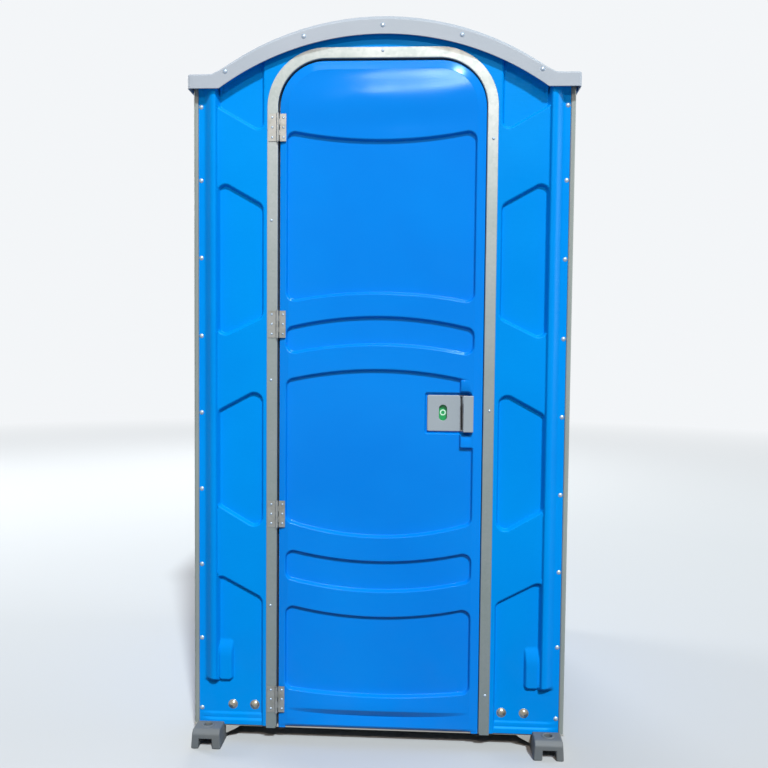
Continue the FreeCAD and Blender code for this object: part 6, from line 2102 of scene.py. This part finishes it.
@dataclass
class Roof:
    """Domed roof with a bevelled rim, two raised halves and a skirt with arched ends."""

    half_x: float = 594.0
    half_y: float = 606.0
    corner: float = 10.0
    rim: float = 6.0
    flat_x: float = 515.0
    flat_z: float = 2077.0
    front_apex: float = 2248.0
    middle_apex: float = 2303.0
    bevel: Pair = (12.0, 15.0)
    raised: Wall = Wall(8.0, 5.0, 4.0, 5.0)
    raised_u: Pair = (45.0, 495.0)
    raised_half_y: float = 471.0
    thickness: float = 4.0
    vent: Triple = (-400.0, 480.0, 45.3)

    def halves(self) -> list[Array]:
        """Feet of the raised halves."""
        loop = rounded(*self.raised_u, -self.raised_half_y, self.raised_half_y, 28.0)
        return [loop, mirrored(loop)]

    def top(self, points: Array) -> Array:
        """Height of the roof's top over the ground.

        Args:
            points: places in plan.

        Returns:
            One height for each place.
        """
        x, y = points[:, 0], np.abs(points[:, 1])
        run, drop = self.bevel
        start = self.half_y - run
        apex = self.middle_apex - (self.middle_apex - self.front_apex) * np.minimum(y / start, 1.05) ** 2
        fall = softer((y - start) * drop / run, np.zeros_like(y), 3)
        fall = fall * np.clip((self.flat_x - np.abs(x)) / 60, 0, 1)
        z = arch_height(x, self.flat_x + 8, self.flat_z - 4, apex) - fall
        z = softer(z, np.full_like(z, self.flat_z), 9)
        for loop in self.halves():
            z = z + self.raised.rise(-distance(loop, points))
        return z

    def lower(self, points: Array) -> Array:
        """Height of the skirt's lower edge, by place in plan."""
        ends = np.abs(points[:, 1]) > self.half_y - 14
        return np.where(ends, eaves(points[:, 0]), EAVES)

    def plan(self) -> Array:
        """Outline in plan, with points where the skirt's arch begins.

        Returns:
            Its points, counter-clockwise from the middle of the front.
        """
        x = np.concatenate([np.linspace(-560, -EAVES_HALF, 4), np.linspace(-EAVES_HALF, EAVES_HALF, 73)[1:-1],
                            np.linspace(EAVES_HALF, 560, 4)])
        front = np.stack([x, np.full_like(x, -self.half_y)], axis=1)
        wide, deep, corner = self.half_x, -self.half_y, self.corner
        crown = (wide - corner * 0.293, deep + corner * 0.293)
        turn = arc((wide - corner, deep), crown, (wide, deep + corner), 10)
        side = between((wide, deep + corner), (wide, 0), 45)[1:]
        quarter = np.concatenate([front[x >= 0], turn, side])
        right = np.concatenate([quarter, (quarter * (1, -1))[::-1][1:]])
        return np.concatenate([right, mirrored(right)])

    def build(self) -> None:
        """Makes the roof."""
        loop = self.plan()
        loop = loop[np.linalg.norm(loop - np.roll(loop, 1, axis=0), axis=1) > 0.05]
        inner = grown(loop, -self.rim)
        lines = []
        start = self.half_y - self.bevel[0]
        for y in (start - 3, start - 1.2, start, start + 1.2, start + 3, start - 12):
            lines.append(rounded(-self.half_x - 9, self.half_x + 9, -y, y, 0.0))
        for x in (523, 519, 515, 511, 507, 500, 490):
            lines.append(rounded(-x, x, -self.half_y - 9, self.half_y + 9, 0.0))
        lines += contours(self.raised, self.halves(), -1)
        hole = circle(*self.vent, 48)
        shell = Shell()
        Sheet(level_plane(0), inner, self.top, lines, [hole], self.thickness, mesh_step=28.0).build(shell)
        self.skirt(shell, loop, inner)
        fit(shell, "roof", Slot.ROOF, "cabin", "roof_shell")

    def skirt(self, shell: Shell, loop: Array, inner: Array) -> None:
        """Adds the rim's rounding, the skirt and its inner face.

        Args:
            shell: the mesh.
            loop: the roof's outline in plan.
            inner: the outline of its top.
        """
        plane = level_plane(0)
        ways = outward(loop)
        tops = self.top(inner)
        low = self.lower(loop)
        rim = self.rim
        rings, normals = [], []
        for i in range(7):
            side, up = math.sin(math.pi / 2 * i / 6), math.cos(math.pi / 2 * i / 6)
            rings.append(plane.points(inner + ways * rim * side, tops - rim * (1 - up)))
            normals.append(plane.ways(ways * side, up))
        edge = inner + ways * rim
        for share in (0.35, 0.7, 1.0):
            z = (tops - rim) * (1 - share) + (low + 1.2) * share
            rings.append(plane.points(edge, z))
            normals.append(plane.ways(ways, 0.0))
        shell.skin(rings, normals)
        foot = [(0.0, 1.2, 1.0, 0.0), (-0.4, 0.4, 0.7, -0.7), (-1.2, 0.0, 0.0, -1.0),
                (-self.thickness + 1, 0.0, 0.0, -1.0), (-self.thickness, 1.0, -1.0, -0.4)]
        rings = [plane.points(edge + ways * g, low + h) for g, h, _, _ in foot]
        normals = [plane.ways(ways * s, up) for _, _, s, up in foot]
        shell.skin(rings, normals)
        within = edge - ways * self.thickness
        rings = [plane.points(within, low + 1), plane.points(within, tops - rim - 1),
                 plane.points(inner, tops - self.thickness)]
        shell.skin(rings, [plane.ways(-ways, 0.0)] * 2 + [plane.ways(-ways * 0.2, -1.0)])


# Doorway and door

@dataclass
class Trim:
    """Galvanised strip round the doorway with its bend and its return."""

    y: float = -586.3
    thickness: float = 2.0
    width: float = 33.0
    depth: float = 38.0
    foot: float = 46.0
    grow: float = -4.0
    leg_foot: float = 52.0

    def build(self, wall: FrontWall) -> None:
        """Makes the strip.

        Args:
            wall: the front wall, whose doorway it follows.
        """
        path = wall.opening_path(self.grow)
        path[[0, -1], 1] = self.foot
        t, wide, e = self.thickness, self.width, 0.5
        plate = [(t + 0.6, 0.0), (wide - e, 0.0), (wide, -e), (wide, -t), (t + 0.6, -t)]
        bend = [(0.0, -t - 0.6), (0.18, -1.5), (0.9, -0.5), (t + 0.6, 0.0), (t + 0.6, -t), (t, -t - 0.6)]
        leg = [(0.0, -self.depth), (0.0, -t - 0.6), (t, -t - 0.6), (t, -self.depth)]
        shell = Shell()
        plane = front_plane(self.y)
        sweep(shell, plane, path[::-1], plate)
        path[[0, -1], 1] = self.leg_foot
        sweep(shell, plane, path[::-1], bend)
        slotted_sweep(shell, plane, path, leg, BOLT_SLOT)
        fit(shell, "doorway_trim", Slot.ZINC, "cabin", "jamb_trim")


@dataclass
class Door:
    """Moulded door: bevelled edge, five bowed recesses, latch tab and well, lens along the foot."""

    y: float = -585.0
    thickness: float = 35.0
    x: Pair = (-312.6, 316.6)
    z: Pair = (52.0, 2123.5)
    top_r: float = 140.0
    foot_r: float = 8.0
    edge: Wall = Wall(6.0, 27.0, 0.01, 3.5)
    inset: float = 1.2
    panel: Wall = Wall(12.0, 5.0, 4.0, 5.0)
    panel_x: Pair = (-288.0, 284.0)
    panel_r: float = 22.0
    panels: tuple[Four, ...] = (
        (1394.0, 1423.0, 1910.0, 1880.0), (1233.0, 1265.0, 1308.0, 1344.0), (712.0, 667.0, 1147.0, 1181.0),
        (531.0, 495.0, 618.0, 582.0), (178.0, 160.5, 441.0, 406.0))
    tab: Four = (247.0, 322.0, 944.0, 1158.0)
    tab_wall: Wall = Wall(12.0, 3.0, 3.0, 4.0)
    well: Four = (143.0, 276.0, 992.0, 1112.0)
    well_depth: float = 21.0
    well_slope: float = 2.4
    skin: float = 2.2
    window: Four = (180.0, 211.0, 1025.0, 1082.0)
    crown: float = 5.0
    crown_foot: float = 1916.0
    crown_tall: float = 182.0
    crown_half: float = 312.0
    lens: Four = (114.0, 64.0, 7.0, 284.0)
    lens_drop: float = 23.0
    lens_dip: float = 7.0
    slot_z: Pair = (1041.0, 1067.0)
    slot_y: Pair = (-552.6, -559.6)

    def loop(self, inset: float = 0.0) -> Array:
        """Outline of the door.

        Args:
            inset: how far it lies within the true outline.

        Returns:
            Its points, counter-clockwise.
        """
        (x0, x1), (z0, z1) = self.x, self.z
        x0, x1, z0, z1 = x0 + inset, x1 - inset, z0 + inset, z1 - inset
        foot, top = max(self.foot_r - inset, 1), self.top_r - inset
        return outline([Corner(x0, z0, foot), Corner(x1, z0, foot), Corner(x1, z1, top), Corner(x0, z1, top)],
                       turn=3.0)

    def recesses(self) -> list[Array]:
        """Floors of the recesses.

        Returns:
            Their outlines, from the uppermost down.
        """
        x0, x1 = self.panel_x
        loops = []
        for low, low_mid, high, high_mid in self.panels:
            places = ((x0, low, low - low_mid), (x1, low, 0.0), (x1, high, high_mid - high), (x0, high, 0.0))
            loops.append(outline([Corner(x, z, self.panel_r, rise) for x, z, rise in places]))
        return loops

    def band(self, x: Array) -> Array:
        """Height of the dark band under the lens, which narrows to both ends."""
        share = np.clip(1 - (x / self.lens[3]) ** 2, 0, 1)
        return self.lens_drop * (0.1 + 0.9 * share ** 0.6)

    def swell(self, points: Array) -> Array:
        """Height of the lens along the foot: a soft rise, a quick fall and a soft return to the foot.

        Args:
            points: places on the door.

        Returns:
            One height for each place.
        """
        low, tall, out, half = self.lens
        share = np.clip(1 - (points[:, 0] / half) ** 2, 0, 1)
        over = points[:, 1] - low
        rise = 0.5 + 0.5 * np.cos(np.pi * np.clip(over / tall, 0, 1))
        band = self.band(points[:, 0])
        back = np.clip((-over - band) / (low - band - self.z[0] - 2), 0, 1)
        fall = out - (out + self.lens_dip) * np.clip(-over / band, 0, 1) + self.lens_dip * back
        return share * np.where(over > 0, out * rise, fall)

    def height(self, points: Array) -> Array:
        """Height of the surface over the door's face.

        Args:
            points: places on the door.

        Returns:
            One height for each place.
        """
        within = -distance(self.loop(self.inset), points, 2000.0)
        deep = self.loop(self.inset)
        deep[deep[:, 1] < 200, 1] -= 400
        h = self.edge.rise(np.minimum(within * 3.6, -distance(deep, points, 2000.0))) - self.edge.height
        raised = self.tab_wall.rise(-distance(rounded(*self.tab, 7.0), points))
        for floor in self.recesses():
            cut = self.panel.height - self.panel.rise(distance(floor, points))
            h = h - cut * (1 - raised / self.tab_wall.height)
        band = (points[:, 1] - self.crown_foot - 0.05 * points[:, 0]) / self.crown_tall
        band = np.clip(band, 0, 1)
        across = np.clip(1 - (points[:, 0] / self.crown_half) ** 2, 0, 1) ** 0.5
        h = h + self.crown * np.sin(np.pi * band) ** 2 * across
        h = h + self.swell(points)
        beside = distance(rounded(*self.well, 5.0), points)
        return softer(h, np.maximum(beside, 0) * self.well_slope - self.well_depth, 4.0, True)

    def slotted_side(self, shell: Shell, plane: Plane, top: float, foot: float) -> None:
        """Adds the door's upright side with a slot for the bolt.

        Args:
            shell: the mesh.
            plane: the door's plane.
            top: height of the side's front edge over the plane.
            foot: height of its rear edge.
        """
        loop, x, (low, high) = self.loop(), self.x[1], self.slot_z
        side = np.abs(loop[:, 0] - x) < 0.01
        loop = loop[~(side & (loop[:, 1] > low - 1) & (loop[:, 1] < high + 1))]
        side = np.abs(loop[:, 0] - x) < 0.01
        start = int(np.argmin(np.where(side & (loop[:, 1] > high), loop[:, 1], 1e9)))
        path = np.concatenate([[(x, high)], np.roll(loop, -start, axis=0), [(x, low)]])
        back, front = (self.y - y for y in self.slot_y)
        middle = np.array([(x, low), (x, high)])
        for line, h0, h1 in ((path, top, foot), (middle, top, front), (middle, back, foot)):
            rings = [plane.points(line, h) for h in (h0, h1)]
            shell.skin(rings, [plane.ways(outward(line, False), 0.0)] * 2, False)
        hole = rounded(*self.slot_y[::-1], low, high, 0.0)
        edge_rings(shell, side_plane(x), hole[::-1], [(0.0, 0.0, 1.0, 0.0), (0.0, -3.0, 1.0, 0.0)])

    def lines(self) -> list[Array]:
        """All lines that the mesh follows.

        Returns:
            Closed outlines.
        """
        lines = []
        for s in (0.0, 2.6, 5.2, 7.1, 7.7, 13.0, 20.0, 25.4, 26.2, 27.0, 27.8, 28.6):
            lines.append(self.loop(self.inset + s + 0.01))
        lines += contours(self.panel, self.recesses())
        tab = rounded(*self.tab, 7.0)
        tab[:, 0] = np.minimum(tab[:, 0], 300)
        lines += contours(self.tab_wall, [tab], -1)
        well = rounded(*self.well, 5.0)
        lines += [grown(well, s) for s in (-0.6, -0.2, 0.3, 1.0, 3.0, 6.0, 7.6, 8.4, 9.2, 10.0)]
        low, _, _, half = self.lens
        x = np.linspace(-half, half, 61)
        drop = self.band(x)
        for lift in (-1.5, -1.2, -1.01, -0.99, -0.5, -0.02, 0.2, 3, 8, 16, 30, 45, 60, 64):
            z = low + np.where(lift < 0, lift * drop, lift)
            lines.append(np.concatenate([np.stack([x, z], axis=1), [(half, low + 70), (-half, low + 70)]]))
        return lines + [rounded(-285, 285, z, 2100, 0.0) for z in range(1918, 2104, 12)]

    def build(self) -> None:
        """Makes the door."""
        shell = Shell()
        plane = front_plane(self.y)
        window = rounded(*self.window, 4.0)
        Sheet(plane, self.loop(self.inset), self.height, self.lines(), [window], self.skin).build(shell)
        inset, low, lean, back = self.inset, -self.edge.height, self.edge.lean(), -self.thickness
        front = [(-inset, low, math.sin(lean), math.cos(lean))]
        for a in (0.5, 0.9, 1.25, math.pi / 2):
            out, drop, turn = inset * math.sin(a) ** 1.5, 3 * (1 - math.cos(a)), max(a, lean)
            front.append((-inset + out, low - drop - 0.8 * math.sin(a), math.sin(turn), math.cos(turn)))
        rear = [(0.0, back + 2, 1.0, 0.0), (-0.6, back + 0.6, 0.7, -0.7), (-2.0, back, 0.0, -1.0),
                (-10.0, back, 0.0, -1.0)]
        edge_rings(shell, plane, self.loop(), front)
        self.slotted_side(shell, plane, front[-1][1], back + 2)
        edge_rings(shell, plane, self.loop(), rear)
        edge_rings(shell, plane, self.loop(), [(-10.0, back, -1.0, 0.0), (-10.0, back + 3.3, -1.0, 0.0)])
        for x0, x1 in ((self.x[0], self.x[0] + 22), (self.x[1] - 22, self.x[1])):
            slab(shell, plane, rounded(x0, x1, 45.0, 66.0, 2.5), -13.0, -6.5, 1.5)
        fit(shell, "door_skin", Slot.DOOR, "door", "door_body")


# Stage

@dataclass(frozen=True)
class Lamp:
    """Soft lamp that faces a target, round or, where it has a height, a strip. Its power is in watts."""

    name: str
    place: Triple
    size: float
    power: float
    target: Triple = (0.0, 0.0, 1.1)
    tall: float = 0.0
    colour: Colour = (1.0, 1.0, 1.0)

    def hang(self) -> None:
        """Adds the lamp to the scene."""
        data = bpy.data.lights.new(self.name, "AREA")
        data.shape = "RECTANGLE" if self.tall else "DISK"
        data.size = self.size
        if self.tall:
            data.size_y = self.tall
        data.energy = self.power
        data.color = self.colour
        lamp = linked(self.name, data)
        lamp.location = self.place
        lamp.rotation_mode = "QUATERNION"
        lamp.rotation_quaternion = (Vector(self.target) - Vector(self.place)).to_track_quat("-Z", "Y")


@dataclass
class Studio:
    """Pale floor, soft lamps, plain surroundings and the camera."""

    camera_place: Triple = (0.1389, -3.0436, 1.2602)
    camera_turn: Triple = (2.7727, 2.9308, 0.5420)
    lens: float = 37.5
    sensor: float = 36.0
    sun_way: Triple = (0.21, -0.64, 0.735)
    sun_strength: float = 3.6
    sun_spread: float = 4.0
    sun_colour: Colour = (0.89, 0.975, 1.0)
    warm: Colour = (1.0, 0.82, 0.68)
    background: Colour = (0.90, 0.92, 0.94)
    sky: Colour = (0.93, 0.96, 1.0)
    sky_strength: float = 0.06
    floor_seen: Colour = (0.52, 0.53, 0.545)
    floor_lit: Colour = (0.12, 0.125, 0.13)
    floor_reach: float = 60.0

    def camera(self) -> None:
        """Places the camera at the photograph's viewpoint."""
        turn_x, turn_y, turn_z = (Matrix.Rotation(math.radians(turn), 3, axis)
                                  for turn, axis in zip(self.camera_turn, "XYZ"))
        facing = Matrix(((1, 0, 0), (0, 0, -1), (0, 1, 0)))
        pose = (turn_z @ turn_x @ turn_y @ facing).transposed()
        pose = pose @ Matrix(((1, 0, 0), (0, -1, 0), (0, 0, -1)))
        data = bpy.data.cameras.new("portrait")
        data.lens = self.lens
        data.sensor_width = self.sensor
        data.clip_end = 200.0
        camera = linked("portrait", data)
        camera.matrix_world = Matrix.Translation(self.camera_place) @ pose.to_4x4()
        bpy.context.scene.camera = camera

    def sun(self) -> None:
        """Adds the key light, even over the whole cabin and soft at the edges of its shadows."""
        data = bpy.data.lights.new("key", "SUN")
        data.energy = self.sun_strength
        data.angle = math.radians(self.sun_spread)
        data.color = self.sun_colour
        sun = linked("key", data)
        sun.rotation_mode = "QUATERNION"
        sun.rotation_quaternion = Vector(self.sun_way).to_track_quat("Z", "Y")

    def lamps(self) -> None:
        """Hangs the two warm strips that the door mirrors and the lamps beside and behind the cabin."""
        for lamp in (Lamp("window", (0.22, -5.2, 4.22), 1.25, 88.0, (0.2, -0.6, 2.0), 0.27, self.warm),
                     Lamp("sky", (-0.08, -3.53, 4.81), 2.1, 16.0, (0.0, -0.6, 2.1), 0.15, self.warm),
                     Lamp("left", (-7.0, 3.0, 3.4), 3.0, 300.0),
                     Lamp("right", (7.5, 0.6, 3.0), 3.0, 170.0),
                     Lamp("back", (-1.0, 7.0, 4.2), 3.0, 300.0)):
            lamp.hang()

    def surroundings(self) -> None:
        """Lights the scene from all round and shows a pale background."""
        world = bpy.data.worlds.new("studio")
        bpy.context.scene.world = world
        world.use_nodes = True
        tree = NodeTree(world.node_tree)
        tree.data.nodes.clear()
        tree.data.nodes.new("ShaderNodeOutputWorld")
        seen = tree.node("Background", 0, {"Color": self.background, "Strength": 1.0})
        lit = tree.node("Background", 0, {"Color": self.sky, "Strength": self.sky_strength})
        tree.show(tree.node("MixShader", 0, {"Fac": tree.plain_rays(), 1: lit, 2: seen}))

    def floor(self) -> None:
        """Adds the pale floor, which fades into the background far from the cabin."""
        reach = self.floor_reach / MM
        points = np.array([(-reach, -reach, 0), (reach, -reach, 0), (reach, reach, 0), (-reach, reach, 0)])
        floor = linked("studio_floor", mesh_of("studio_floor", points, [(0, 1, 2, 3)]))
        tree = MaterialTree("studio_floor")
        colour = tree.mix(tree.plain_rays(), self.floor_lit, self.floor_seen)
        tree.set(base_color=colour, roughness=0.9, specular_ior_level=0.05)
        away = tree.node("VectorMath", "Value", {0: tree.place}, operation="LENGTH")
        fade = tree.span(away, 3.0, 11.0, 0.0, 1.0)
        glow = tree.node("Emission", 0, {"Color": self.background})
        tree.show(tree.node("MixShader", 0, {"Fac": fade, 1: tree.shader.outputs[0], 2: glow}))
        floor.data.materials.append(tree.material)

    def build(self) -> None:
        """Sets the stage."""
        self.camera()
        self.surroundings()
        self.floor()
        self.sun()
        self.lamps()
        bpy.context.scene.view_settings.view_transform = "Standard"


NODE_SLOTS = {
    Slot.BASE: ("floor_pan",),
    Slot.ZINC: ("cross_rails",),
    Slot.FASTENER: ("skid_bolts",),
    Slot.RIVET: ("jamb_screws", "hinge_frame_rivets", "hinge_door_rivets", "anchor_rivets_wall",
                 "anchor_rivets_door"),
    Slot.SCREEN: ("vent_screen_left", "vent_screen_right"),
    Slot.JAMB: ("jamb_stop",),
    Slot.HINGE: ("strike_plate", "hinge_pins", "spring_anchor_wall", "spring_anchor_door",
                 *(f"hinge_{side}_leaf_{i}" for side in ("frame", "door") for i in range(1, 5))),
    Slot.TANK: ("waste_tank", "urinal", "paper_holder"),
    Slot.SEAT: ("toilet_seat", "seat_lid", "seat_hinge"),
    Slot.PIPE: ("vent_pipe", "vent_cap", "urinal_drain"),
    Slot.PAPER: ("paper_roll_1", "paper_roll_2"),
}


def main() -> None:
    """Builds the sub-assemblies in order, the stage last."""
    logging.basicConfig(level=logging.INFO, format="%(message)s")
    for slot, nodes in NODE_SLOTS.items():
        dress(slot, *nodes)
    wall = FrontWall()
    wall.build()
    RearWall().build()
    for side in (-1, 1):
        SideWall(side).build()
    CornerStrips().build()
    Roof().build()
    Trim().build(wall)
    door = Door()
    door.build()
    Fasteners().build()
    Skids().build()
    Deck().build()
    Moulding().build()
    latch = Latch()
    latch.outside()
    latch.indicator()
    latch.inside_parts()
    Liner().build(door)
    ClosingSpring().build()
    Studio().build()


if __name__ == "__main__":
    main()
